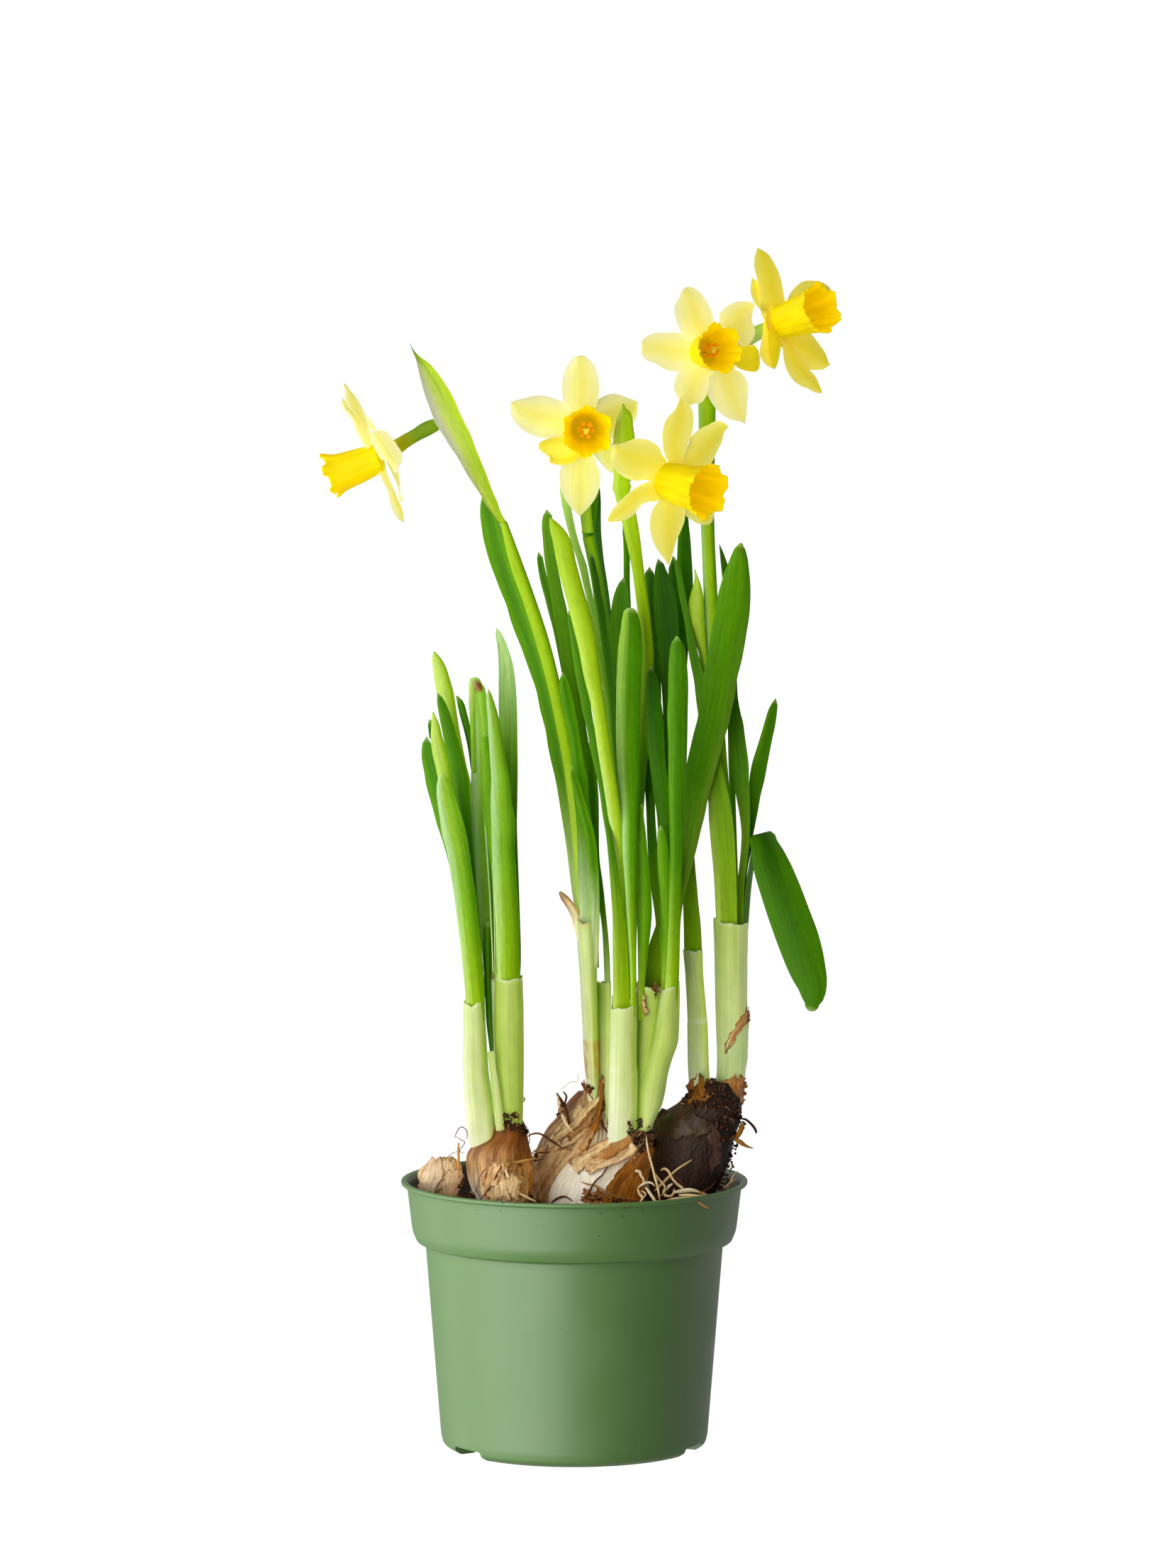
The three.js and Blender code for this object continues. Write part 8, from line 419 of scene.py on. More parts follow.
def sstep(x, a, b):
    t = np.clip((np.asarray(x, float) - a) / (b - a), 0, 1)
    return t * t * (3 - 2 * t)


def hash3(i, j, k, seed):
    n = (i.astype(np.int64) * 374761393 + j.astype(np.int64) * 668265263 + k.astype(np.int64) * 2147483647 + int(seed) * 1274126177) & 0x7FFFFFFF
    n = ((n ^ (n >> 13)) * 1274126177) & 0x7FFFFFFF
    n = (n ^ (n >> 16)) & 0x7FFFFFFF
    return n / float(0x7FFFFFFF) * 2 - 1


def noise(p, scale=1.0, seed=0, octaves=1):
    """Smooth value noise in -1..1 at points p (n,3)."""
    p = np.asarray(p, float).reshape(-1, 3) * scale
    out = np.zeros(len(p))
    amp, tot = 1.0, 0.0
    for o in range(octaves):
        q = p * (2.0 ** o) + 17.3 * o
        f = np.floor(q)
        u = q - f
        u = u * u * (3 - 2 * u)
        i, j, k = f[:, 0], f[:, 1], f[:, 2]
        v = 0
        for a in (0, 1):
            for b in (0, 1):
                for c in (0, 1):
                    w = (u[:, 0] if a else 1 - u[:, 0]) * (u[:, 1] if b else 1 - u[:, 1]) * (u[:, 2] if c else 1 - u[:, 2])
                    v = v + w * hash3(i + a, j + b, k + c, seed + 31 * o)
        out += amp * v
        tot += amp
        amp *= 0.5
    return out / tot


def smooth_rows(rows, n, even=True):
    """Rows resampled on a smooth curve through them, by arc length."""
    r = np.asarray(rows, float)
    d = np.linalg.norm(np.diff(r[:, :3], axis=0), axis=1)
    s = np.concatenate([[0], np.cumsum(np.maximum(d, 1e-4))])
    m = np.zeros_like(r)
    for i in range(1, len(r) - 1):
        a, b = s[i] - s[i - 1], s[i + 1] - s[i]
        m[i] = ((r[i] - r[i - 1]) / a * b + (r[i + 1] - r[i]) / b * a) / (a + b)
    m[0] = 1.5 * (r[1] - r[0]) / (s[1] - s[0]) - 0.5 * m[1]
    m[-1] = 1.5 * (r[-1] - r[-2]) / (s[-1] - s[-2]) - 0.5 * m[-2]
    q = np.linspace(0, 1, n)
    if not even:
        q = q ** 1.35
    q = q * s[-1]
    k = np.clip(np.searchsorted(s, q, side="right") - 1, 0, len(s) - 2)
    h = (s[k + 1] - s[k])
    t = (q - s[k]) / h
    t, h = t[:, None], h[:, None]
    out = (2 * t**3 - 3 * t**2 + 1) * r[k] + (t**3 - 2 * t**2 + t) * h * m[k] + (-2 * t**3 + 3 * t**2) * r[k + 1] + (t**3 - t**2) * h * m[k + 1]
    return out, q


def tangents(p):
    t = np.gradient(p, axis=0)
    return t / np.maximum(np.linalg.norm(t, axis=1), 1e-9)[:, None]


def unit(v):
    v = np.asarray(v, float)
    return v / np.maximum(np.linalg.norm(v, axis=-1, keepdims=True), 1e-12)


class Bits:
    """Vertices, faces, tints and grain coordinates that become one piece."""

    def __init__(self):
        self.V, self.F, self.C, self.G, self.n = [], [], [], [], 0

    def put(self, V, F, C, G=None):
        V = np.asarray(V, float).reshape(-1, 3)
        C = np.asarray(C, float)
        if C.ndim == 1:
            C = np.tile(C, (len(V), 1))
        if G is None:
            G = V * 1.0
        self.V.append(V)
        self.C.append(C.reshape(-1, 3))
        self.G.append(np.asarray(G, float).reshape(-1, 3))
        n = self.n
        self.F.extend([tuple(int(i) + n for i in f) for f in F])
        self.n += len(V)


def ring_faces(n, m, first=True, last=True, flip=False):
    F = []
    for i in range(n - 1):
        a = i * m
        for k in range(m):
            k2 = (k + 1) % m
            F.append((a + k, a + m + k, a + m + k2, a + k2))
    if first:
        F.append(tuple(range(m)))
    if last:
        F.append(tuple(range((n - 1) * m + m - 1, (n - 1) * m - 1, -1)))
    if flip:
        F = [tuple(reversed(f)) for f in F]
    return F


def grid_faces(n, m, off=0):
    return [(off + i * m + k, off + (i + 1) * m + k, off + (i + 1) * m + k + 1, off + i * m + k + 1) for i in range(n - 1) for k in range(m - 1)]


MATS = {}
# painted light: how far each surface's tint is evened out against the side light, darkened on the flanks it lights and
# lightened on the flanks it leaves in shade, so that shaded flanks stay fresh
EVEN = {"leaf_skin": 0.85, "stem_skin": 0.75, "bud_skin": 0.75, "sheath_skin": 0.8, "tunic_skin": 0.6, "root_skin": 0.5, "petal_skin": 0.6, "corona_skin": 0.6}


# the light a point gets from the side light, by the way it faces; the tint is divided by a power of it, which paints
# light and shade into the colour
def even_out(n, power):
    az = np.degrees(np.arctan2(n[:, 0], -n[:, 1]))
    e = np.interp(az, [-180, -130, -90, -60, -38, -20, 0, 14, 23, 32, 42, 60, 90, 130, 180], [0.6, 0.9, 1.2, 1.33, 1.28, 1.15, 1.0, 0.8, 0.68, 0.56, 0.48, 0.45, 0.47, 0.55, 0.6])
    flat = np.hypot(n[:, 0], n[:, 1])
    e = e * flat + 0.85 * (1 - flat)
    return np.clip(e ** -power, 0.4, 1.7)




# painted glow: what the side light leaves out of each tint is given back in part as emission, so these surfaces shine
# though they are no lamps, thin petals most
GLOW_FILL = {"petal_skin": 0.8, "corona_skin": 0.8, "anther_skin": 0.6, "sheath_skin": 0.6, "tunic_skin": 0.6, "root_skin": 0.3, "leaf_skin": 0.35, "stem_skin": 0.35, "bud_skin": 0.4}
TINTED = 0.94


def build(name, bits, mat, replaces=(), sharp=None):
    V = np.concatenate(bits.V)
    me = bpy.data.meshes.new(name)
    me.from_pydata((V * MM).tolist(), [], bits.F)
    me.validate()
    C = np.clip(np.concatenate(bits.C), 0, 1)
    a = me.color_attributes.new("tint", "FLOAT_COLOR", "POINT")
    G = np.concatenate(bits.G)
    g = me.attributes.new("grain", "FLOAT_VECTOR", "POINT")
    g.data.foreach_set("vector", G.astype(np.float32).ravel())
    bm = bmesh.new()
    bm.from_mesh(me)
    bmesh.ops.recalc_face_normals(bm, faces=bm.faces)
    bm.to_mesh(me)
    bm.free()
    if mat in ("leaf_skin", "stem_skin", "bud_skin"):
        # deep greens are purer than the pale ones
        C[:, 2] *= 0.4 + 0.6 * sstep(C[:, 2] / np.maximum(C[:, 1], 1e-4), 0.08, 0.3)
    full = C
    nr = np.zeros(len(C) * 3, np.float32)
    me.vertex_normals.foreach_get("vector", nr)
    nr = nr.reshape(-1, 3)
    # painted light: the tint is darkened where the side light falls and lightened where it leaves the surface in shade
    if mat in EVEN:
        C = np.clip(C * even_out(nr, EVEN[mat])[:, None], 0, TINTED if mat in GLOW_FILL else 0.97)
    a = me.color_attributes["tint"]
    a.data.foreach_set("color", np.concatenate([C, np.ones((len(C), 1))], 1).astype(np.float32).ravel())
    if mat in GLOW_FILL:
        # painted glow: the light this tint lacks against its full colour is stored in the through colour and given out
        # as emission
        lit = even_out(nr, -1.0)
        # inside a corona cup (grain flag over 900) the tint is halved as painted shade, and a fixed share of the full
        # colour is given back as painted glow
        inside = (G[:, 2] > 900)
        C = C * np.where(inside, 0.5, 1.0)[:, None]
        a.data.foreach_set("color", np.concatenate([C, np.ones((len(C), 1))], 1).astype(np.float32).ravel())
        lit = np.where(inside, 0.38, lit)
        left = np.clip(full - C * lit[:, None], 0, 1) * GLOW_FILL[mat]
        e = me.color_attributes.new("through", "FLOAT_COLOR", "POINT")
        e.data.foreach_set("color", np.concatenate([left, np.ones((len(C), 1))], 1).astype(np.float32).ravel())
    me.polygons.foreach_set("use_smooth", [True] * len(me.polygons))
    if sharp:
        me.set_sharp_from_angle(angle=math.radians(sharp))
    me.materials.append(MATS[mat])
    o = bpy.data.objects.new(name, me)
    scene.collection.objects.link(o)
    for r in replaces:
        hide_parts(r)
    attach(o, "root")
    return o


# ------------------------------------------------------------------ materials
def nodes_of(mat):
    mat.use_nodes = True
    nt = mat.node_tree
    nt.nodes.clear()
    return nt, nt.nodes, nt.links


def tissue(name, streak=(0.80, 1.16), across=2.6, along=0.045, bump=0.25, depth=0.00012, rough=(0.36, 0.56), spec=0.5, sss=0.0,
           sss_scale=0.001, sss_radius=(1.0, 0.7, 0.25), mottle=0.08, mottle_scale=0.9, sheen=0.0, coat=0.0, glow=False):
    """Living tissue: the tint painted on the piece, fine streaks along its grain, soft mottling, bump and gloss to match."""
    mat = bpy.data.materials.new(name)
    nt, N, L = nodes_of(mat)
    out = N.new("ShaderNodeOutputMaterial")
    b = N.new("ShaderNodeBsdfPrincipled")
    L.new(b.outputs[0], out.inputs[0])
    tint = N.new("ShaderNodeAttribute"); tint.attribute_name = "tint"
    gr = N.new("ShaderNodeAttribute"); gr.attribute_name = "grain"
    mp = N.new("ShaderNodeMapping"); mp.inputs["Scale"].default_value = (across, along, 1.0)
    L.new(gr.outputs["Vector"], mp.inputs["Vector"])
    n1 = N.new("ShaderNodeTexNoise"); n1.inputs["Scale"].default_value = 1.0; n1.inputs["Detail"].default_value = 3.0
    L.new(mp.outputs[0], n1.inputs["Vector"])
    mp2 = N.new("ShaderNodeMapping"); mp2.inputs["Scale"].default_value = (mottle_scale, mottle_scale * 0.35, 1.0)
    L.new(gr.outputs["Vector"], mp2.inputs["Vector"])
    n2 = N.new("ShaderNodeTexNoise"); n2.inputs["Scale"].default_value = 1.0; n2.inputs["Detail"].default_value = 4.0
    L.new(mp2.outputs[0], n2.inputs["Vector"])
    r1 = N.new("ShaderNodeMapRange"); r1.inputs["From Min"].default_value = 0.28; r1.inputs["From Max"].default_value = 0.72
    r1.inputs["To Min"].default_value = streak[0]; r1.inputs["To Max"].default_value = streak[1]
    L.new(n1.outputs["Fac"], r1.inputs["Value"])
    r2 = N.new("ShaderNodeMapRange"); r2.inputs["From Min"].default_value = 0.3; r2.inputs["From Max"].default_value = 0.7
    r2.inputs["To Min"].default_value = 1 - mottle; r2.inputs["To Max"].default_value = 1 + mottle
    L.new(n2.outputs["Fac"], r2.inputs["Value"])
    mul = N.new("ShaderNodeMath"); mul.operation = "MULTIPLY"
    L.new(r1.outputs[0], mul.inputs[0]); L.new(r2.outputs[0], mul.inputs[1])
    vm = N.new("ShaderNodeVectorMath"); vm.operation = "SCALE"
    L.new(tint.outputs["Color"], vm.inputs[0]); L.new(mul.outputs[0], vm.inputs["Scale"])
    L.new(vm.outputs[0], b.inputs["Base Color"])
    rr = N.new("ShaderNodeMapRange"); rr.inputs["From Min"].default_value = 0.3; rr.inputs["From Max"].default_value = 0.7
    rr.inputs["To Min"].default_value = rough[0]; rr.inputs["To Max"].default_value = rough[1]
    L.new(n2.outputs["Fac"], rr.inputs["Value"])
    L.new(rr.outputs[0], b.inputs["Roughness"])
    bp = N.new("ShaderNodeBump"); bp.inputs["Strength"].default_value = bump; bp.inputs["Distance"].default_value = depth
    L.new(n1.outputs["Fac"], bp.inputs["Height"])
    L.new(bp.outputs[0], b.inputs["Normal"])
    b.inputs["Specular IOR Level"].default_value = spec
    b.inputs["Subsurface Weight"].default_value = sss
    b.inputs["Subsurface Scale"].default_value = sss_scale
    b.inputs["Subsurface Radius"].default_value = sss_radius
    b.inputs["Sheen Weight"].default_value = sheen
    b.inputs["Coat Weight"].default_value = coat
    # painted glow: the through colour is given out as emission, so the surface shines though it is no lamp
    if glow:
        ga = N.new("ShaderNodeAttribute"); ga.attribute_name = "through"
        vg = N.new("ShaderNodeVectorMath"); vg.operation = "SCALE"
        L.new(ga.outputs["Color"], vg.inputs[0]); L.new(mul.outputs[0], vg.inputs["Scale"])
        L.new(vg.outputs[0], b.inputs["Emission Color"])
        b.inputs["Emission Strength"].default_value = 1.0
    MATS[name] = mat
    return mat


def crumb(name, scale=900.0, bump=0.8, depth=0.0006, rough=(0.8, 1.0), spread=(0.55, 1.45), fine=2600.0):
    """Dull, broken stuff such as soil, dirt and dry skins: the painted tint broken up in three sizes."""
    mat = bpy.data.materials.new(name)
    nt, N, L = nodes_of(mat)
    out = N.new("ShaderNodeOutputMaterial"); b = N.new("ShaderNodeBsdfPrincipled"); L.new(b.outputs[0], out.inputs[0])
    tint = N.new("ShaderNodeAttribute"); tint.attribute_name = "tint"
    tc = N.new("ShaderNodeTexCoord")
    n1 = N.new("ShaderNodeTexNoise"); n1.inputs["Scale"].default_value = scale; n1.inputs["Detail"].default_value = 6.0; n1.inputs["Roughness"].default_value = 0.65
    L.new(tc.outputs["Object"], n1.inputs["Vector"])
    n2 = N.new("ShaderNodeTexVoronoi"); n2.inputs["Scale"].default_value = fine
    L.new(tc.outputs["Object"], n2.inputs["Vector"])
    r1 = N.new("ShaderNodeMapRange"); r1.inputs["From Min"].default_value = 0.3; r1.inputs["From Max"].default_value = 0.7
    r1.inputs["To Min"].default_value = spread[0]; r1.inputs["To Max"].default_value = spread[1]
    L.new(n1.outputs["Fac"], r1.inputs["Value"])
    vm = N.new("ShaderNodeVectorMath"); vm.operation = "SCALE"
    L.new(tint.outputs["Color"], vm.inputs[0]); L.new(r1.outputs[0], vm.inputs["Scale"])
    L.new(vm.outputs[0], b.inputs["Base Color"])
    rr = N.new("ShaderNodeMapRange"); rr.inputs["To Min"].default_value = rough[0]; rr.inputs["To Max"].default_value = rough[1]
    L.new(n1.outputs["Fac"], rr.inputs["Value"]); L.new(rr.outputs[0], b.inputs["Roughness"])
    add = N.new("ShaderNodeMath"); add.operation = "MULTIPLY_ADD"; add.inputs[1].default_value = 0.5
    L.new(n2.outputs["Distance"], add.inputs[0]); L.new(n1.outputs["Fac"], add.inputs[2])
    bp = N.new("ShaderNodeBump"); bp.inputs["Strength"].default_value = bump; bp.inputs["Distance"].default_value = depth
    L.new(add.outputs[0], bp.inputs["Height"]); L.new(bp.outputs[0], b.inputs["Normal"])
    b.inputs["Specular IOR Level"].default_value = 0.25
    MATS[name] = mat
    return mat


tissue("leaf_skin", spec=0.07, rough=(0.42, 0.58), across=2.0, bump=0.2, glow=True)
tissue("stem_skin", streak=(0.86, 1.12), across=3.2, rough=(0.38, 0.52), bump=0.15, spec=0.08, glow=True)
tissue("bud_skin", streak=(0.85, 1.14), across=3.0, along=0.03, rough=(0.4, 0.55), sss=0.12, sss_scale=0.0012, bump=0.2, spec=0.12, glow=True)
tissue("petal_skin", streak=(0.95, 1.04), across=1.4, along=0.06, rough=(0.5, 0.66), spec=0.08, sss=0.5, sss_scale=0.0018, sss_radius=(1.0, 0.9, 0.35), bump=0.2, depth=0.0001, mottle=0.03, mottle_scale=0.35, glow=True)
tissue("corona_skin", streak=(0.95, 1.04), across=0.9, along=0.07, rough=(0.42, 0.58), spec=0.08, sss=0.6, sss_scale=0.0022, sss_radius=(1.0, 0.75, 0.12), bump=0.3, mottle=0.05, mottle_scale=0.5, glow=True)
tissue("anther_skin", streak=(0.8, 1.15), across=6, along=2, rough=(0.6, 0.8), bump=0.6, spec=0.1, glow=True)
tissue("sheath_skin", streak=(0.87, 1.10), across=1.9, along=0.02, rough=(0.38, 0.55), sss=0.2, sss_scale=0.0015, bump=0.3, mottle=0.06, mottle_scale=0.4, spec=0.15, glow=True)
tissue("tunic_skin", streak=(0.84, 1.14), across=2.4, along=0.16, rough=(0.3, 0.6), bump=0.55, depth=0.0002, mottle=0.16, mottle_scale=0.8, spec=0.3, glow=True)
tissue("root_skin", streak=(0.75, 1.15), across=1.5, along=1.5, rough=(0.6, 0.85), bump=0.5, depth=0.0002, mottle=0.15, spec=0.15, glow=True)
tissue("mud_skin", streak=(0.6, 1.3), across=1.2, along=0.5, rough=(0.45, 0.8), bump=1.0, depth=0.0006, mottle=0.3, mottle_scale=0.8, spec=0.4)
crumb("soil_stuff")
crumb("dirt_stuff", scale=700, bump=1.0, depth=0.0008)


def paint(look, s, t):
    """Tint at s (0 tip or top, 1 base) and t (-1 left, +1 right); look is rows of (s, left, middle, right)."""
    ss = np.array([r[0] for r in look], float)
    cols = []
    for j in (1, 2, 3):
        c = np.array([P(r[j]) for r in look])
        cols.append(np.stack([np.interp(s, ss, c[:, k]) for k in range(3)], -1))
    lf, md, rt = cols
    a = sstep(-t, 0.05, 0.85)[..., None]
    b = sstep(t, 0.05, 0.85)[..., None]
    return md * (1 - a) * (1 - b) + lf * a + rt * b


# ------------------------------------------------------------------ blades: leaves, spathes, tepals
def blade(rows, thick, look, seed, m=40, step=2.0, nmin=30, nmax=110, wave=0.0, edge=0.25, rim=0.12, ribs=0.0, ribn=5, thin=0.35, keel=0.0, even=True, marks=None, blunt=0.35, dome=False):
    r = np.asarray(rows, float)
    L = np.linalg.norm(np.diff(r[:, :3], axis=0), axis=1).sum()
    n = int(np.clip(L / step, nmin, nmax))
    q, s = smooth_rows(r, n, even)
    if dome:
        # a round tip: extra rows close together, as wide as a half circle that meets the traced width
        wl = np.linalg.norm(q[:, 3:6], axis=1)
        w = 0.9 * float(wl.max())
        for _ in range(60):
            w = 0.5 * w + 0.5 * float(np.interp(w, s, wl))
        w = min(w, 0.9 * wl.max())
        ang = np.linspace(0.1, math.pi / 2, 10)
        st = w * (1 - np.cos(ang))
        far = s[s > w + 0.4]
        s2 = np.concatenate([st, far])
        q2 = np.stack([np.interp(s2, s, q[:, j]) for j in range(7)], 1)
        want = np.concatenate([w * np.sin(ang), np.interp(far, s, wl)])
        have = np.maximum(np.linalg.norm(q2[:, 3:6], axis=1), 1e-6)
        q2[:, 3:6] *= (want / have)[:, None]
        q, s, n = q2, s2, len(s2)
    sn = s / s[-1]
    p, h, c = q[:, :3], q[:, 3:6], q[:, 6]
    t = tangents(p)
    ln = np.linalg.norm(h, axis=1)
    hn = h - t * (h * t).sum(1)[:, None] * 0.999
    hn = unit(hn)
    face = unit(np.cross(t, hn))
    th = thick * np.minimum(1, np.maximum(0.3, ln / 2.4))
    a = np.linspace(0, 2 * math.pi, m, endpoint=False)
    S = np.cos(a)
    up = np.sign(np.sin(a)) * np.abs(np.sin(a)) ** 0.55
    prof = thin + (1 - thin) * (1 - S * S)
    # mid surface, thickness, ribs and edge waves
    off = c[:, None] * (1 - S**2)[None, :] - c[:, None] / 2
    zz = off + (th / 2)[:, None] * (up * prof)[None, :]
    rg = np.random.default_rng(seed)
    if wave:
        ph = rg.uniform(0, 6.28, 4)
        k1, k2 = rg.uniform(0.10, 0.20), rg.uniform(0.22, 0.4)
        wl = np.sin(s * k1 + ph[0]) + 0.6 * np.sin(s * k2 + ph[1])
        wr = np.sin(s * k1 * 1.13 + ph[2]) + 0.6 * np.sin(s * k2 * 0.9 + ph[3])
        env = np.minimum(1, ln / 3.0) * sstep(sn, 0.0, 0.1)
        zz = zz + wave * env[:, None] * (wl[:, None] * (np.maximum(0, -S) ** 2.5)[None, :] + wr[:, None] * (np.maximum(0, S) ** 2.5)[None, :])
    if ribs:
        zz = zz + ribs * np.cos(S * math.pi * ribn)[None, :] * (1 - S**4)[None, :] * np.minimum(1, ln / 3)[:, None]
    if keel:
        zz = zz - keel * np.exp(-((S / 0.16) ** 2))[None, :] * (np.sin(a) < 0)[None, :]
    X = p[:, None, :] + hn[:, None, :] * (ln[:, None] * S[None, :])[:, :, None] + face[:, None, :] * zz[:, :, None]
    ss = np.repeat(sn[:, None], m, 1)
    tt = np.repeat(S[None, :], n, 0)
    C = paint(look, ss, tt)
    V = X.reshape(-1, 3)
    nz = noise(V, 0.08, seed, 2).reshape(n, m)
    C = C * (1 + 0.06 * nz)[..., None]
    # the margins are lightened: painted light shining through the thin edges
    e = sstep(np.abs(tt), 0.90, 0.995)[..., None]
    C = C * (1 - e * rim) + (np.clip(C * 1.5 + 0.03, 0, 1)) * e * rim
    tip = (1 - sstep(s, 0, 2.2))[:, None, None]
    C = C * (1 - blunt * tip) + blunt * tip * P("pale")
    if marks is not None:
        C = marks(C, ss, tt, s[:, None] + 0 * tt, np.sin(a)[None, :] + 0 * tt)
    side = np.where(np.sin(a) >= 0, 0.0, 7.7)
    G = np.stack([tt * ln[:, None] + side[None, :], np.repeat(s[:, None], m, 1), np.full((n, m), float(seed % 97))], -1)
    return V, ring_faces(n, m), C.reshape(-1, 3), G


def rod(rows, look, seed, m=22, step=1.6, nmin=16, nmax=130, ribs=0.02, ribn=9, flat=None, lump=0.0, even=True, marks=None):
    r = np.asarray(rows, float)
    L = np.linalg.norm(np.diff(r[:, :3], axis=0), axis=1).sum()
    n = int(np.clip(L / step, nmin, nmax))
    q, s = smooth_rows(r, n, even)
    sn = s / s[-1]
    p, rad = q[:, :3], np.maximum(q[:, 3], 0.08)
    t = tangents(p)
    U = np.zeros_like(p)
    u = np.array([1.0, 0, 0]) if abs(t[0, 0]) < 0.8 else np.array([0, 1.0, 0])
    for i in range(n):
        u = u - t[i] * (u @ t[i])
        u = u / np.linalg.norm(u)
        U[i] = u
    W = np.cross(t, U)
    a = np.linspace(0, 2 * math.pi, m, endpoint=False)
    rg = np.random.default_rng(seed)
    rr = rad[:, None] * (1 + ribs * np.cos(a * ribn + rg.uniform(0, 6))[None, :])
    X = p[:, None, :] + U[:, None, :] * (rr * np.cos(a))[:, :, None] + W[:, None, :] * (rr * np.sin(a))[:, :, None]
    if lump:
        nn = noise(X.reshape(-1, 3), 0.35, seed, 2).reshape(n, m)
        d = unit(X - p[:, None, :])
        X = X + d * (lump * nn)[..., None] * np.minimum(1, rad / 1.0)[:, None, None]
    tt = (X[..., 0] - p[:, None, 0]) / rad[:, None]
    ss = np.repeat(sn[:, None], m, 1)
    C = paint(look, ss, np.clip(tt, -1, 1))
    nz = noise(X.reshape(-1, 3), 0.15, seed, 2).reshape(n, m)
    C = C * (1 + 0.05 * nz)[..., None]
    if marks is not None:
        C = marks(C, ss, tt, s[:, None] + 0 * tt, X)
    G = np.stack([np.repeat((a * 1.0)[None, :], n, 0) * rad.mean(), np.repeat(s[:, None], m, 1), np.full((n, m), float(seed % 89))], -1)
    return X.reshape(-1, 3), ring_faces(n, m), C.reshape(-1, 3), G


def icosphere(sub=1):
    bm = bmesh.new()
    bmesh.ops.create_icosphere(bm, subdivisions=sub, radius=1.0)
    V = np.array([v.co[:] for v in bm.verts]); F = [tuple(v.index for v in f.verts) for f in bm.faces]
    bm.free()
    return V, F


ICO1, ICO2 = icosphere(1), icosphere(2)


def blob(bits, c, size, col, seed, sub=1, rough=0.35, squash=(1, 1, 1)):
    V, F = ICO1 if sub == 1 else ICO2
    rg = np.random.default_rng(seed)
    A = rg.normal(size=(3, 3)); Q, _ = np.linalg.qr(A)
    X = V * np.array(squash)
    X = X * (1 + rough * noise(V * 1.7 + seed * 0.37, 1.3, seed)[:, None])
    X = X @ Q.T * size + np.asarray(c)
    C = np.clip(P(col) * (1 + 0.35 * noise(X, 0.9, seed + 3)[:, None]), 0, 1)
    bits.put(X, F, C)


# ------------------------------------------------------------------ looks
def look_of(name):
    rows = []
    for part in KINDS[KIND_OF[name]].split("|"):
        w = part.split()
        rows.append((float(w[0]), w[1], w[2], w[3]))
    return rows


# ------------------------------------------------------------------ leaves
def crease(at, width, tone, amount, dot=None):
    """A line along the blade on the side that is seen, and a withered dot near the tip."""
    def f(C, s, t, mm, side):
        k = (np.exp(-(((t - at) / width) ** 2)) * amount * (mm > 3.0))[..., None]
        C = C * (1 - k) + P(tone) * k
        if dot:
            k = (np.exp(-(((t - dot[0]) / 0.22) ** 2 + ((mm - dot[1]) / 1.0) ** 2)) * 0.8)[..., None]
            C = C * (1 - k) + P(dot[2]) * k
        return C
    return f


# the pale lines along these blades sit on the ridge of a fold and are painted highlights; the rust and tan dots near
# the tips are withered spots
LEAF_MARKS = {
    "leaf_centre_7": crease(0.1, 0.045, "light", 0.5, (0.05, 2.4, "rust")),
    "leaf_right_bent": crease(-0.25, 0.035, "light", 0.14),
    "leaf_left_7": crease(0.35, 0.04, "bloomlt", 0.3, (-0.55, 7.0, "tan")),
    "leaf_left_4": crease(0.2, 0.04, "bloomlt", 0.25, (-0.2, 3.8, "rust")),
    "leaf_front_2": crease(0.25, 0.04, "light", 0.25),
    "leaf_front_1": crease(0.1, 0.04, "light", 0.2),
}
seed = 11
for name, rows in LEAVES.items():
    seed += 1
    bits = Bits()
    V, F, C, G = blade(rows, 1.05, look_of(name), seed, m=36, wave=0.10, keel=0.0, ribs=0.035, ribn=6, dome=True, marks=LEAF_MARKS.get(name))
    own = np.random.default_rng(900 + seed)
    C = C * (1 + own.uniform(-0.07, 0.07)) * (1 + own.uniform(-0.05, 0.05, 3))
    bits.put(V, F, C, G)
    build(name + "_skin", bits, "leaf_skin", [name])

# ------------------------------------------------------------------ flower stems with their papery spathes, and closed buds
SPATHE_LOOK = {
    "stem_1": [(0, "olive", "olive", "olive"), (0.15, "ivory", "leaflimelt", "leaflime"), (0.5, "ivory", "leaflimelt", "leaflime"), (1, "leaflime", "leaflime", "leaflimed")],
    "stem_2": [(0, "olive", "fresh", "mid"), (0.5, "olive", "fresh", "mid"), (1, "fresh", "fresh", "mid")],
    "stem_4": [(0, "straw", "cream", "straw"), (0.4, "cream", "pale", "cream"), (1, "ygp", "ygp", "ygp")],
}
def fold_line(C, s, t, mm, side):
    """Painted shade along the fold that runs down the right third of the tallest spathe, a painted highlight on its lit
    edge beside it, and faint darker veins along it.
    """
    c = 0.28 + 0.16 * np.sin(s * 2.6)
    k = (np.exp(-(((t - c) / 0.07) ** 2)) * sstep(s, 0.04, 0.12) * (1 - 0.5 * s) * (side > 0))[..., None] * 0.75
    C = C * (1 - k) + P("leaflimedk") * k
    k = (np.exp(-(((t - c + 0.16) / 0.06) ** 2)) * sstep(s, 0.06, 0.2) * (side > 0))[..., None] * 0.35
    C = C * (1 - k) + P("leaflimelt") * k
    for n, p in ((7.0, 0.4), (12.0, 2.1)):
        v = (sstep(np.cos(t * math.pi * n + p + 0.6 * np.sin(s * 6)), 0.5, 1.0) * 0.14)[..., None]
        C = C * (1 - v) + P("leaflimed") * v
    return C


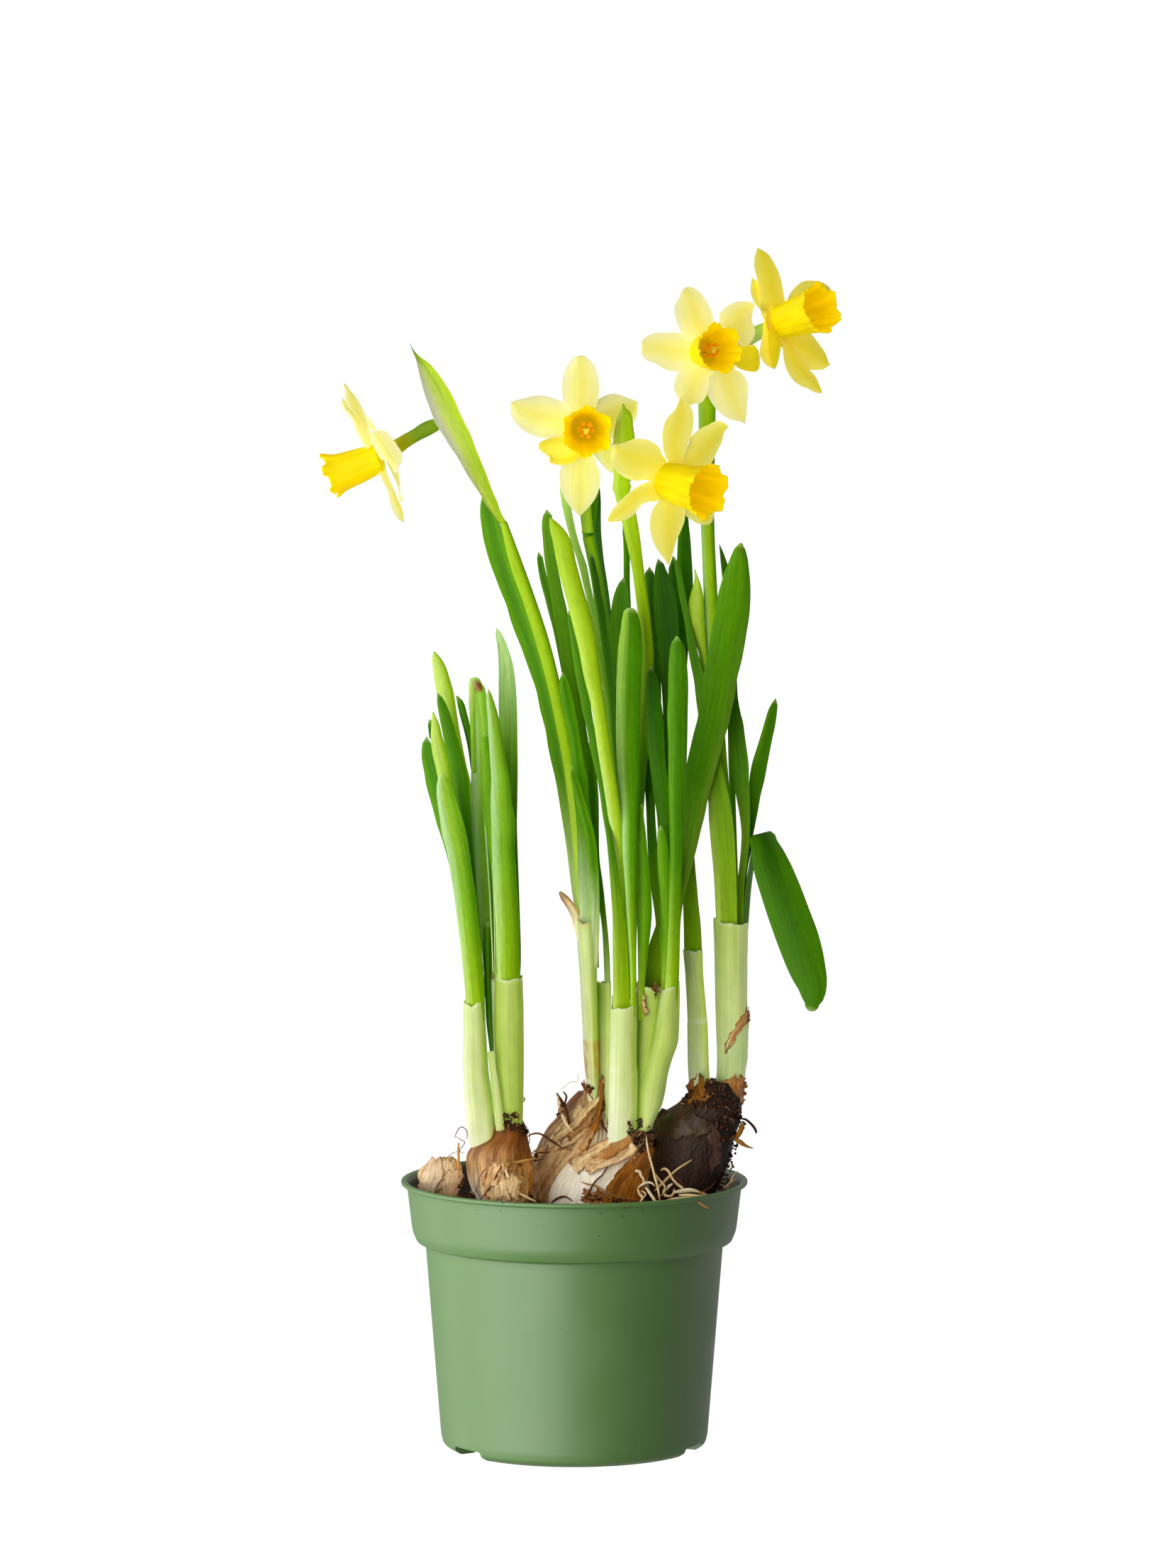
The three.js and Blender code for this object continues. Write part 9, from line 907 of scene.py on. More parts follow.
for name, rows in STEMS.items():
    seed += 1
    bits = Bits()
    bud = name.startswith("bud")
    bits.put(*rod(rows, look_of(name), seed, m=28, ribs=0.018 if not bud else 0.012, ribn=7, step=1.5))
    if name in SPATHES:
        bits.put(*blade(SPATHES[name], 0.75, SPATHE_LOOK[name], seed + 50, m=36, step=1.3, wave=0.05, ribs=0.05, ribn=7, marks=fold_line if name == "stem_1" else None))
    build(name + "_skin", bits, "bud_skin" if bud else "stem_skin", [name])


# ------------------------------------------------------------------ flowers
def axes(a):
    a = unit(np.asarray(a, float))
    u = unit(np.array([0, 0, 1.0]) - a * a[2])
    return a, u, np.cross(a, u)


def petal_look(k):
    # the lighter side columns pale each tepal's margins, painted light shining through the thin edges; the base darkens
    l, m, d = k + "lt", k, k + "dk"
    return [(0, m, m, m), (0.06, l, m, l), (0.35, l, m, l), (0.7, l, m, l), (0.88, m, m, m), (0.95, m, d, m), (1, d, "sulph", d)]


PETALS = {1: "lemon", 2: "lemon", 3: "lemon3", 4: "lemon", 5: "lemon5"}
PALE_BACK = {}
# tube looks: the lighter middle column is a painted highlight down the top of each round tube, and the darker side
# columns are painted shade on its flanks
TUBE = [(0, "ygd", "yg", "ygd"), (0.5, "ygd", "yg", "ygd"), (0.8, "sulph", "lemondk", "sulph"), (1, "lemon", "lemon", "lemon")]
TUBE_5 = [(0, "ygp", "pale", "ygp"), (0.6, "ygp", "pale", "light"), (0.8, "yg", "ygp", "yg"), (1, "lemon5", "lemon5", "lemon5")]
TUBE_1 = [(0, "pedicel", "pedicellt", "pedicel"), (0.55, "pedicel", "pedicellt", "pedicel"), (0.8, "tubeol", "tubeol", "tubeol"), (1, "sulph", "sulph", "tubeol")]


def corona(bits, f, seed):
    a, u, w = axes(f["axis"])
    c = np.array(f["centre"], float)
    r0, r1, L = f["r0"], f["r1"], f["L"]
    K = 156
    q = np.arange(K) / K * 2 * math.pi
    rg = np.random.default_rng(seed)
    ph = rg.uniform(0, 6.28, 8)
    lobe = np.cos(6 * q + ph[7]) + 0.35 * np.cos(5 * q + ph[0])
    frill = 0.6 * np.sin(13 * q + ph[1] + 0.8 * np.sin(3 * q)) + 0.5 * np.sin(19 * q + ph[2] + 0.6 * np.sin(4 * q)) + 0.2 * np.sin(31 * q + ph[3])
    rag = 0.6 * np.sin(17 * q + ph[4] + 0.9 * np.sin(2 * q)) + 0.35 * np.sin(29 * q + ph[5]) + 0.5 * np.cos(6 * q + ph[7])
    ridge = np.cos(12 * q + ph[6] * 0.1) + 0.5 * np.cos(6 * q)
    base = 1.0

    def at(r, d):
        return c + a * d[:, None] + u * (np.cos(q) * r)[:, None] + w * (np.sin(q) * r)[:, None]

    def wall(t, inner):
        e = float(sstep(t, 0.5, 1.0))
        f2 = float(sstep(t, 0.74, 1.0))
        r = r0 + (r1 - r0) * (0.75 * t + 0.25 * t ** 4) - (0.42 if inner else 0.0)
        r = r + 0.40 * e * lobe + 0.38 * f2 * frill + 0.07 * ridge * float(sstep(t, 0.0, 0.3)) * (1 - 0.4 * f2) + 0.55 * f2 ** 2 * (0.7 + 0.3 * lobe)
        r = r + 0.16 * math.sin(t * 3.1) * np.sin(3 * q + ph[3]) + 0.12 * np.sin(t * 7 + ph[2]) * np.sin(4 * q + ph[4])
        d = base + (L - base) * t + 0.55 * e * lobe + 0.42 * f2 * rag
        return at(r, d)

    rows, cols, inn = [], [], []
    outer = [0.0, 0.04, 0.10, 0.18, 0.26, 0.34, 0.42, 0.5, 0.58, 0.66, 0.73, 0.79, 0.84, 0.88, 0.92, 0.95, 0.975, 1.0]
    for d, r in ((0.55, r0 * 0.55), (0.95, r0 * 0.8), (1.0, r0 * 0.93)):
        rows.append(at(np.full(K, r), np.full(K, d)))
        cols.append(np.tile(P("sulph"), (K, 1)))
        inn.append(0)
    for t in outer:
        rows.append(wall(t, False))
        base_c = P("sun") * (1 - t) + P("yolk") * t
        k = 1 + 0.03 * ridge * (1 - t * 0.5) + 0.05 * float(sstep(t, 0.8, 1.0)) * frill - 0.05 * np.cos(6 * q + ph[7]) * float(sstep(t, 0.3, 0.9))
        cols.append(np.clip(base_c[None, :] * k[:, None], 0, 1))
        inn.append(0)
    # inside wall: amber deep down turning to yolk at the rim, partly the cup's own deeper colour and partly painted
    # shade down in the cup
    for t in reversed(outer[2:]):
        rows.append(wall(t, True))
        cc = P("amber") * (1 - t ** 2) + P("yolk") * t ** 2
        cc = np.tile(cc, (K, 1)) * (0.94 + 0.04 * ridge[:, None] + 0.07 * (lobe * t)[:, None])
        cols.append(np.clip(cc, 0, 1))
        inn.append(1)
    # the floor of the cup: amber darkened to 0.72, painted shade at the bottom of the cup
    for d, r in ((base + 1.3, r0 - 1.6), (base + 0.9, r0 - 2.9), (base + 0.7, 1.0)):
        rows.append(at(np.full(K, r), np.full(K, d)))
        cols.append(np.tile(P("amber") * 0.72, (K, 1)))
        inn.append(1)
    n = len(rows)
    G = np.zeros((n, K, 3))
    G[..., 0] = q[None, :] * r1
    G[..., 1] = np.linspace(0, L * 2, n)[:, None]
    G[..., 2] = np.array(inn)[:, None] * 1000.0
    bits.put(np.concatenate(rows), ring_faces(n, K), np.concatenate(cols), G)


def stamens(bits, f, seed, deep=0.0):
    a, u, w = axes(f["axis"])
    c = np.array(f["centre"], float) - a * deep
    rg = np.random.default_rng(seed)
    for k in range(6):
        q = k / 6 * 2 * math.pi + 0.4
        o = u * math.cos(q) + w * math.sin(q)
        h = f["L"] * 0.52 + (0.9 if k % 2 else 0.0) + rg.uniform(-0.4, 0.4)
        p0 = c + a * 1.7 + o * 0.9
        p1 = c + a * (h * 0.6) + o * 1.5
        p2 = c + a * h + o * 1.9
        bits.put(*rod([(*p0, 0.3), (*p1, 0.28), (*p2, 0.22)], [(0, "yolk", "yolk", "yolk"), (1, "yolk", "yolk", "yolk")], seed + k, m=8, step=1.2, nmin=6))
        e0 = c + a * (h - 1.2) + o * 2.1
        e1 = c + a * (h + 0.3) + o * 2.25
        e2 = c + a * (h + 1.7) + o * 2.0
        bits.put(*rod([(*e0, 0.2), (*(e0 * 0.7 + e1 * 0.3), 0.66), (*e1, 0.8), (*(e1 * 0.4 + e2 * 0.6), 0.66), (*e2, 0.15)], [(0, "anther", "anther", "orange"), (0.5, "anther", "anther", "anther"), (1, "orange", "anther", "orange")], seed + 9 + k, m=12, step=0.3, nmin=12, lump=0.14))
    s0, s1 = c + a * 1.7, c + a * (f["L"] * 0.68)
    bits.put(*rod([(*s0, 0.55), (*(s0 * 0.5 + s1 * 0.5), 0.42), (*s1, 0.4)], [(0, "yg", "yg", "yg"), (1, "sun", "sun", "sun")], seed + 30, m=10, step=1.0, nmin=8))
    for k in range(3):
        q = k / 3 * 2 * math.pi + 0.9
        o = u * math.cos(q) + w * math.sin(q)
        blob(bits, s1 + o * 0.6 + a * 0.2, 0.72, "stigma", seed + 40 + k, 2, 0.15)


def veined(dark, strength, seed):
    """Faint long veins with a deeper middle line, and a paler tip painted as light shining through the thin tissue."""
    rg = np.random.default_rng(seed)
    ph = rg.uniform(0, 6.28, 3)

    def f(C, s, t, mm, side):
        k = np.exp(-((t / 0.08) ** 2))[..., None] * strength * sstep(s, 0.06, 0.3)[..., None]
        C = C * (1 - k) + P(dark) * k
        for n, amp, p in ((9, 0.16, ph[0]), (17, 0.12, ph[1])):
            v = (sstep(np.cos(t * math.pi * n * 0.5 + p + 0.5 * np.sin(s * 7 + p)), 0.2, 1.0))[..., None] * amp * sstep(s, 0.05, 0.4)[..., None]
            C = C * (1 - v) + P(dark) * v
        tip = (1 - sstep(mm, 0.1, 0.7))[..., None] * 0.5
        return C * (1 - tip) + P("white") * tip
    return f


for i, f in enumerate(FLOWERS, 1):
    bits = Bits()
    rg = np.random.default_rng(40 + i)
    tone = PETALS[i]
    for k, rows in enumerate(f["tepals"]):
        look = petal_look(tone)
        if (i, k) == (2, 2):
            look = [(0, "lemon3", "lemon3", "lemon3dk"), (0.5, "sulph", "lemon3", "lemon3dk"), (1, "sulph", "sulph", "sulph")]
        if (i, k) in ((4, 4), (5, 2)):
            look = [(0, "sulph", "lemon5dk", "sulph"), (0.5, "lemon5dk", "sulph", "lemon5dk"), (1, "sulph", "sulph", "sulph")]
        bits.put(*blade(rows, 0.42, look, 300 + 10 * i + k, m=50, step=0.7, nmin=40, nmax=52, wave=0.0 if i == 1 and k < 2 else float(rg.uniform(0.3, 0.6)), ribs=0.07 if i > 1 else 0.0, ribn=8, rim=0.2, thin=0.3, keel=-0.12, marks=veined(tone + "dk", 0.4, 500 + 10 * i + k), blunt=0.0))
    bits.put(*rod(f["tube"], {1: TUBE_1, 5: TUBE_5}.get(i, TUBE), 350 + i, m=28, step=0.9, ribs=0.03, ribn=6))
    build("petals_%d_skin" % i, bits, "petal_skin", ["petals_%d" % i])
    bits = Bits()
    corona(bits, f, 70 + i)
    build("corona_%d_skin" % i, bits, "corona_skin", ["corona_%d" % i])
    bits = Bits()
    stamens(bits, f, 90 + i, {1: 2.5, 3: 3.2, 5: 3.2}.get(i, 0.0))
    build("stamens_%d" % i, bits, "anther_skin")


# ------------------------------------------------------------------ papery sheaths
def sheath(rows, look, seed, lip=None, lip_tone="cream", m=96, step=1.3, rings=(), wall=0.42, depth=13.0, flute=0.026, wob=0.18, marks=None, square=1.0):
    """A thin-walled papery sleeve: the outside runs down its whole length, the inside as far as the leaves hide it."""
    r = np.asarray(rows, float)
    q = np.stack([r[:, 0], r[:, 1], r[:, 2], r[:, 3], r[:, 4]], 1)
    L = r[0, 2] - r[-1, 2]
    n = int(np.clip(L / step, 24, 70))
    sm, s = smooth_rows(q, n, True)
    a = (np.arange(m) + 0.5) / m * 2 * math.pi
    front = np.sin(a)            # -1 towards the viewer's side, y negative
    side = np.cos(a)
    drop = np.zeros(m) if lip is None else lip(side, front, a)
    rg = np.random.default_rng(seed)
    ph = rg.uniform(0, 6.28, 6)
    drop = drop + 0.22 * np.sin(5 * a + ph[0]) + 0.09 * np.sin(13 * a + ph[1]) + 0.04 * np.sin(27 * a + ph[2])
    z = sm[:, 2]
    dn = z[0] - z

    def shell(i, grow, inner=False):
        w = math.exp(-(dn[i] / 12.0) ** 2)
        zz = z[i] + drop * w
        rx, ry = sm[i, 3] + grow, sm[i, 4] + grow
        x = sm[i, 0] + np.sign(np.cos(a)) * np.abs(np.cos(a)) ** square * rx
        y = sm[i, 1] + np.sign(np.sin(a)) * np.abs(np.sin(a)) ** square * ry
        P0 = np.stack([x, y, zz], 1)
        nrm = unit(np.stack([np.cos(a) / max(rx, 0.1), np.sin(a) / max(ry, 0.1), np.zeros(m)], 1))
        bump = flute * np.sin(a * 26 + ph[3] + 0.02 * zz) + wob * noise(P0, 0.09, seed, 2)
        for zr, dr, sl in rings:
            bump = bump + dr * (1 - sstep(zz - (zr + sl * side), -0.25, 0.35))
        return P0 + nrm * bump[:, None]

    outer = [shell(i, 0) for i in range(n)]
    lipring = 0.5 * (outer[0] + shell(0, -wall))
    lipring[:, 2] += 0.12
    kin = max(3, int(np.searchsorted(dn, depth)))
    inner = [shell(i, -wall) for i in range(0, kin)]
    down = inner[-1].copy()
    down[:, 0] = sm[kin - 1, 0] + (down[:, 0] - sm[kin - 1, 0]) * 0.4
    down[:, 1] = sm[kin - 1, 1] + (down[:, 1] - sm[kin - 1, 1]) * 0.4
    down[:, 2] -= 1.0
    seq = [down] + inner[::-1] + [lipring] + outer
    V = np.concatenate(seq)
    nn = len(seq)
    sN = np.concatenate([[dn[kin - 1] / L]] + [[d / L] for d in dn[:kin][::-1]] + [[0.0]] + [[d / L] for d in dn])
    tt = np.tile(side, (nn, 1))
    ss = np.repeat(sN[:, None], m, 1)
    C = paint(look, ss, tt)
    X = V.reshape(nn, m, 3)
    nz = noise(V, 0.05, seed + 5, 2).reshape(nn, m)
    C = C * (1 + 0.05 * nz)[..., None]
    isin = np.zeros((nn, 1, 1)); isin[: kin + 1] = 1
    # the inside of the sleeve is painted 35% darker: painted shade within it
    C = C * (1 - 0.35 * isin * (1 - ss[..., None] * 0))
    edge = np.exp(-((ss * L) / 0.8) ** 2)[..., None]
    C = C * (1 - 0.6 * edge) + P(lip_tone) * 0.6 * edge
    for zr, dr, sl in rings:
        line = np.exp(-(((X[..., 2] - (zr + sl * side[None, :])) / 0.35) ** 2))[..., None]
        C = C * (1 - 0.35 * line) + P("white") * 0.35 * line
    if marks is not None:
        C = marks(C, ss, tt, X)
    G = np.stack([np.tile(a * sm[:, 3].mean(), (nn, 1)), X[..., 2], np.full((nn, m), float(seed))], -1)
    return V, ring_faces(nn, m), C.reshape(-1, 3), G


def pz(v):
    """Height of a level line given by its row number v."""
    return 230.3 - (v - 1106) / 4.08


# lip shapes: heights added around the top, from the side (-1 left, +1 right) and the front (-1)
SHEATH_TONES = {
    # columns are left, middle and right; in 'aged' the paler left column is a painted highlight from the side light and
    # the darker right one painted shade
    "aged": [(0, "s1", "s1", "s2"), (0.5, "s5", "s1", "s2"), (1, "s6", "s5", "s1")],
    "greenish": [(0, "s3", "s2", "s3"), (1, "s3", "s3", "s3")],
    "young": [(0, "s1", "s2", "s2"), (0.5, "s2", "s2", "s2"), (1, "s3", "s1", "s1")],
    "dry": [(0, "s2", "s2", "s1"), (0.5, "s1", "s1", "s1"), (1, "s5", "s5", "s1")],
}
SHEATH_SET = {
    "l1": dict(square=0.7, look=SHEATH_TONES["aged"], rings=[(pz(1521), 0.18, 0.3)], lip=lambda c, f, a: 0.5 * c - 0.8 * np.exp(-((c + 0.1) / 0.18) ** 2) * (f < 0)),
    "l2": dict(look=SHEATH_TONES["greenish"], lip=lambda c, f, a: 0.5 * c * c - 0.4),
    "m": dict(look=SHEATH_TONES["aged"], lip=lambda c, f, a: 1.5 * np.abs(c) - 1.0, lip_tone="straw"),
    "c0": dict(look=SHEATH_TONES["dry"], lip=None),
    "c1": dict(look=SHEATH_TONES["aged"], rings=[(pz(1502), 0.2, -0.4)], lip=lambda c, f, a: 0.6 * c * (f < 0) + 0.5),
    "cb": dict(look=SHEATH_TONES["young"], lip=None),
    "cg": dict(look=SHEATH_TONES["greenish"], lip=lambda c, f, a: -0.5 * c),
    "c2": dict(look=SHEATH_TONES["young"], lip=lambda c, f, a: 1.2 * c, wob=0.5),
    "r2": dict(look=SHEATH_TONES["aged"], rings=[(pz(1441), 0.16, 0.2)], lip=None),
    "r1": dict(look=SHEATH_TONES["dry"], lip=lambda c, f, a: 1.1 * np.where(c < -0.6, 1, -0.4 * c), wob=0.22),
}
OWNER = {"l1": "bulb_left", "l2": "bulb_left", "m": "bulb_middle", "c0": "bulb_middle", "cb": "bulb_middle", "cg": "bulb_front", "c1": "bulb_front", "c2": "bulb_front", "r2": "bulb_right", "r1": "bulb_right"}


def tan_patches(C, s, t, X):
    z = X[..., 2]
    k = sstep(z, pz(1523), pz(1518)) * (1 - sstep(z, pz(1470), pz(1466)))
    nz = 0.5 + 0.5 * noise(X.reshape(-1, 3), 0.35, 77, 3).reshape(z.shape)
    side = sstep(np.abs(t + 0.05), 0.25, 0.5)
    k = k * (0.25 + 0.75 * side) * (0.35 + 0.65 * sstep(nz, 0.25, 0.6)) * (X[..., 1] < 2)
    k = k[..., None] * 0.85
    return C * (1 - k) + P("honey") * k


# ------------------------------------------------------------------ small leaves, edges and scraps between the larger ones
EXTRA_LOOK = {
    "darkleaf": [(0, "mid", "fresh", "dark"), (0.5, "dark", "mid", "dark"), (1, "dark", "mid", "dark")],
    "paleedge": [(0, "bloomlt", "dark", "dark"), (0.5, "bloomlt", "dark", "dark"), (1, "pale", "mid", "dark")],
    "innersheath": [(0, "s3", "s2", "s1"), (0.3, "s3", "s1", "s1"), (1, "s1", "s1", "s2")],
    "stalk": [(0, "straw", "straw", "tan"), (0.03, "rust", "rust", "rust"), (0.06, "s1", "s5", "s1"), (0.5, "s1", "s5", "s1"), (1, "s1", "s5", "s1")],
    "smallpale": [(0, "pale", "ygp", "light"), (0.5, "light", "light", "spring"), (1, "light", "spring", "spring")],
    "scar": [(0, "rust", "rust", "tan"), (0.5, "tan", "rust", "rust"), (1, "rust", "tan", "rust")],
    "papertip": [(0, "rust", "tan", "rust"), (0.25, "tan", "paperlt", "tan"), (0.6, "paperlt", "s5", "paper"), (1, "s5", "s5", "s1")],
    "midgreen": [(0, "vivid", "vivid", "fresh"), (0.5, "fresh", "vivid", "fresh"), (1, "fresh", "vivid", "mid")],
}
inner_bits = {}
for i, (kind, slot, thick, rows) in enumerate(EXTRA):
    key = {"leaf": ("leaf_skin", "leaf"), "sheath": ("sheath_skin", "bulb_skin"), "dry": ("tunic_skin", "bulb_skin")}[slot]
    inner_bits.setdefault(key, Bits()).put(*blade(rows, thick, EXTRA_LOOK[kind], 1500 + i, m=26, step=1.2, nmin=12, nmax=80, wave=0.03, ribs=0.02, ribn=4))
for n, (key, b) in enumerate(inner_bits.items()):
    build("inner_pieces_%d" % (n + 1), b, key[0])


# ------------------------------------------------------------------ bulbs
def surface_y(rows, x, z):
    r = np.asarray(sorted(rows, key=lambda q: q[2]), float)
    zz = r[:, 2]
    cx, cy, rx, ry = (np.interp(z, zz, r[:, k]) for k in (0, 1, 3, 4))
    q = 1 - ((x - cx) / rx) ** 2
    return cy - ry * np.sqrt(np.maximum(q, 0.02))


def threads(a, z, k, seed, twist=0.0):
    """Fine lines that run down a bulb and draw together towards its neck: 1 on a line, 0 between them."""
    q = a + twist * np.sin(z * 0.11 + seed)
    p = np.stack([np.cos(q) * k, np.sin(q) * k, z * 0.045 + 0 * q], -1)
    n = noise(p.reshape(-1, 3), 1.0, seed, 2).reshape(q.shape)
    return sstep(np.abs(n), 0.24, 0.02)


def bulb_body(rows, look, seed, m=192, step=0.6, lump=0.5, ribs=0.08, marks=None, line="bark", amount=0.5, patchy=1.0, low=0.35):
    r = np.asarray(rows, float)
    L = r[0, 2] - r[-1, 2]
    n = int(np.clip(L / step, 24, 90))
    sm, s = smooth_rows(r, n, True)
    a = (np.arange(m) + 0.5) / m * 2 * math.pi
    X = np.stack([sm[:, 0, None] + np.cos(a) * sm[:, 3, None], sm[:, 1, None] + np.sin(a) * sm[:, 4, None], np.repeat(sm[:, 2, None], m, 1)], -1)
    nr = unit(np.stack([np.cos(a)[None, :] / sm[:, 3, None], np.sin(a)[None, :] / sm[:, 4, None], np.zeros((n, m))], -1))
    A = np.tile(a, (n, 1))
    l1 = threads(A, X[..., 2], 5.0, seed + 3, 0.10)
    l2 = threads(A, X[..., 2], 11.0, seed + 4, 0.06)
    fold = noise(np.stack([np.cos(A) * 3.2, np.sin(A) * 3.2, X[..., 2] * 0.03], -1).reshape(-1, 3), 1.0, seed + 6, 2).reshape(n, m)
    d = lump * noise(X.reshape(-1, 3), 0.11, seed, 3).reshape(n, m) + 0.42 * fold - 0.16 * l1 - 0.07 * l2
    X = X + nr * d[..., None]
    ss = np.repeat(np.linspace(0, 1, n)[:, None], m, 1)
    tt = np.tile(np.cos(a), (n, 1))
    C = paint(look, ss, tt)
    nz = noise(X.reshape(-1, 3), 0.12, seed + 2, 3).reshape(n, m)
    # raised folds are painted lighter, a painted highlight, over random blotches
    C = C * (1 + patchy * (0.22 * nz + 0.16 * fold))[..., None]
    stain = sstep(0.5 + 0.5 * noise(X.reshape(-1, 3) * np.array([1, 1, 0.4]), 0.22, seed + 9, 3).reshape(n, m), 0.58, 0.8)[..., None] * 0.4 * patchy
    C = C * (1 - stain) + P(line) * stain
    # dark threads: the tunic's veins, painted darker still as shade in the grooves they are pressed into
    k = np.clip(1.0 * l1 + 0.6 * l2, 0, 1)[..., None] * amount * (0.45 + 0.55 * sstep(1 - ss, 0.1, 0.8))[..., None]
    C = C * (1 - k) + P(line) * k
    C = C * (1 - low * (1 - sstep(X[..., 2], 83.0, 90.0)))[..., None]
    if marks is not None:
        C = marks(C, ss, tt, X)
    G = np.stack([np.tile(a * sm[:, 3].mean(), (n, 1)), X[..., 2], np.full((n, m), float(seed % 89))], -1)
    return X.reshape(-1, 3), ring_faces(n, m), np.clip(C.reshape(-1, 3), 0, 1), G


FLAP_TONE = {
    "golden": ("toast", "caramel", "bark", "bark"),
    "brownpaper": ("paper", "toast", "caramel", "bark"),
    "pinktan": ("paperlt", "paper", "caramel", "tan"),
    "strip": ("paperlt", "paper", "bark", "bark"),
    "darkstrip": ("paper", "caramel", "loam", "bark"),
    "papery": ("paperlt", "toast", "bark", "bark"),
    "drape": ("paperlt", "paper", "bark", "caramel"),
    "drapelow": ("paper", "toast", "bark", "caramel"),
    "ruddy": ("rust", "tan", "umber", "umber"),
    "olivepaper": ("olivebr", "earth", "loam", "loam"),
    "earthy": ("earth", "plum", "loam", "loam"),
    "tear": ("toast", "paper", "bark", "caramel"),
    "neckskin": ("toast", "caramel", "loam", "bark"),
    "cup": ("toast", "tan", "caramel", "bark"),
    "scaley": ("pinklt", "paperlt", "caramel", "tan"),
    "outer": ("cream", "ygp", "pale", "rust"),
}


def flap(bits, base, tone, rows, seed, n=30, m=28, thick=0.2):
    """A loose piece of dry skin lying over a bulb, lifted and ragged at its edges."""
    r = np.asarray(rows, float)
    s = np.linspace(0, 1, len(r))
    q = np.linspace(0, 1, n)
    c = np.stack([np.interp(q, s, r[:, k]) for k in range(6)], 1)
    for _ in range(2):
        k3 = c.copy()
        k3[1:-1] = 0.25 * c[:-2] + 0.5 * c[1:-1] + 0.25 * c[2:]
        c = k3
    t = np.linspace(-1, 1, m)
    rg = np.random.default_rng(seed)
    ph = rg.uniform(0, 6.28, 12)
    quiet = {"outer": 0.25, "scaley": 0.5}.get(tone, 1.0)
    zz = np.repeat(c[:, 0, None], m, 1)
    xm, hw = (c[:, 1] + c[:, 2]) / 2, (c[:, 2] - c[:, 1]) / 2
    rag = quiet * (0.42 * np.sin(q * 11 + ph[0]) + 0.3 * np.sin(q * 27 + ph[1]) + 0.16 * np.sin(q * 57 + ph[8]))
    rag2 = quiet * (0.42 * np.sin(q * 13 + ph[2]) + 0.3 * np.sin(q * 31 + ph[3]) + 0.16 * np.sin(q * 61 + ph[9]))
    xx = xm[:, None] + hw[:, None] * t[None, :] + rag[:, None] * (t < 0) * np.abs(t)[None, :] ** 3 + rag2[:, None] * (t > 0) * np.abs(t)[None, :] ** 3
    zz = zz + quiet * (0.9 * np.sin(t * 5 + ph[4]) + 0.5 * np.sin(t * 13 + ph[5]) + 0.25 * np.sin(t * 29 + ph[7]))[None, :] * (np.exp(-(q / 0.12) ** 2) + np.exp(-((1 - q) / 0.12) ** 2))[:, None]
    lift = np.where(t[None, :] < 0, c[:, 4, None] + (c[:, 3] - c[:, 4])[:, None] * (-t)[None, :] ** 2, c[:, 4, None] + (c[:, 5] - c[:, 4])[:, None] * t[None, :] ** 2)
    yy = surface_y(base, xx, zz)
    P0 = np.stack([xx, yy, zz], -1)
    nz = noise(P0.reshape(-1, 3), 0.22, seed, 3).reshape(n, m)
    # folds and threads follow the piece, so they draw together where it narrows
    W = np.stack([np.repeat(t[None, :], n, 0) * 4.2 + 0.5 * np.sin(q * 5 + ph[6])[:, None], np.repeat(q[:, None], m, 1) * 1.1, np.full((n, m), seed * 0.37)], -1).reshape(-1, 3)
    fold = noise(W, 0.55, seed + 3, 2).reshape(n, m)
    line = sstep(np.abs(noise(W, 0.95, seed + 4, 2).reshape(n, m)), 0.22, 0.02)
    fine = sstep(np.abs(noise(W, 2.6, seed + 5, 1).reshape(n, m)), 0.2, 0.0)
    curl = 0.7 * quiet * (sstep(np.abs(t), 0.7, 1.0)[None, :] * (0.5 + 0.5 * np.sin(q * 9 + ph[10]))[:, None])
    lift = lift + quiet * (0.2 * nz + 0.5 * fold - 0.16 * line) + curl + 0.12
    lo, mid, edge, dark = (P(x) for x in FLAP_TONE[tone])
    # raised folds take the lighter tone and hollows the darker: painted light and shade over the folds, mixed with
    # blotches from the noise
    k = np.clip(0.5 + 0.45 * noise(P0.reshape(-1, 3) * np.array([1, 1, 0.5]), 0.3, seed + 1, 3).reshape(n, m) - 0.45 * fold, 0, 1)[..., None]
    C = lo * (1 - k) + mid * k
    ed = np.maximum(sstep(np.abs(t), 0.84, 0.98)[None, :], 0.9 * (np.exp(-(q / 0.04) ** 2) + np.exp(-((1 - q) / 0.04) ** 2))[:, None])
    if tone == "outer":
        ed = (sstep(-t, 0.55, 0.98)[None, :] * (1 - sstep(q, 0.45, 0.7))[:, None] + 0 * ed)
    ed = np.clip(ed, 0, 1)[..., None]
    C = C * (1 - 0.85 * ed) + edge * 0.85 * ed
    # dark threads: the skin's veins, painted darker as shade in the grooves they sit in
    v = np.clip(0.9 * line + 0.35 * fine, 0, 1)[..., None] * {"outer": 0.12, "scaley": 0.4}.get(tone, 0.75)
    C = C * (1 - v) + dark * v
    v = sstep(0.5 + 0.5 * noise(P0.reshape(-1, 3), 0.42, seed + 2, 3).reshape(n, m), 0.62, 0.8)[..., None] * (0.0 if tone == "outer" else 0.5)
    C = C * (1 - v) + edge * v
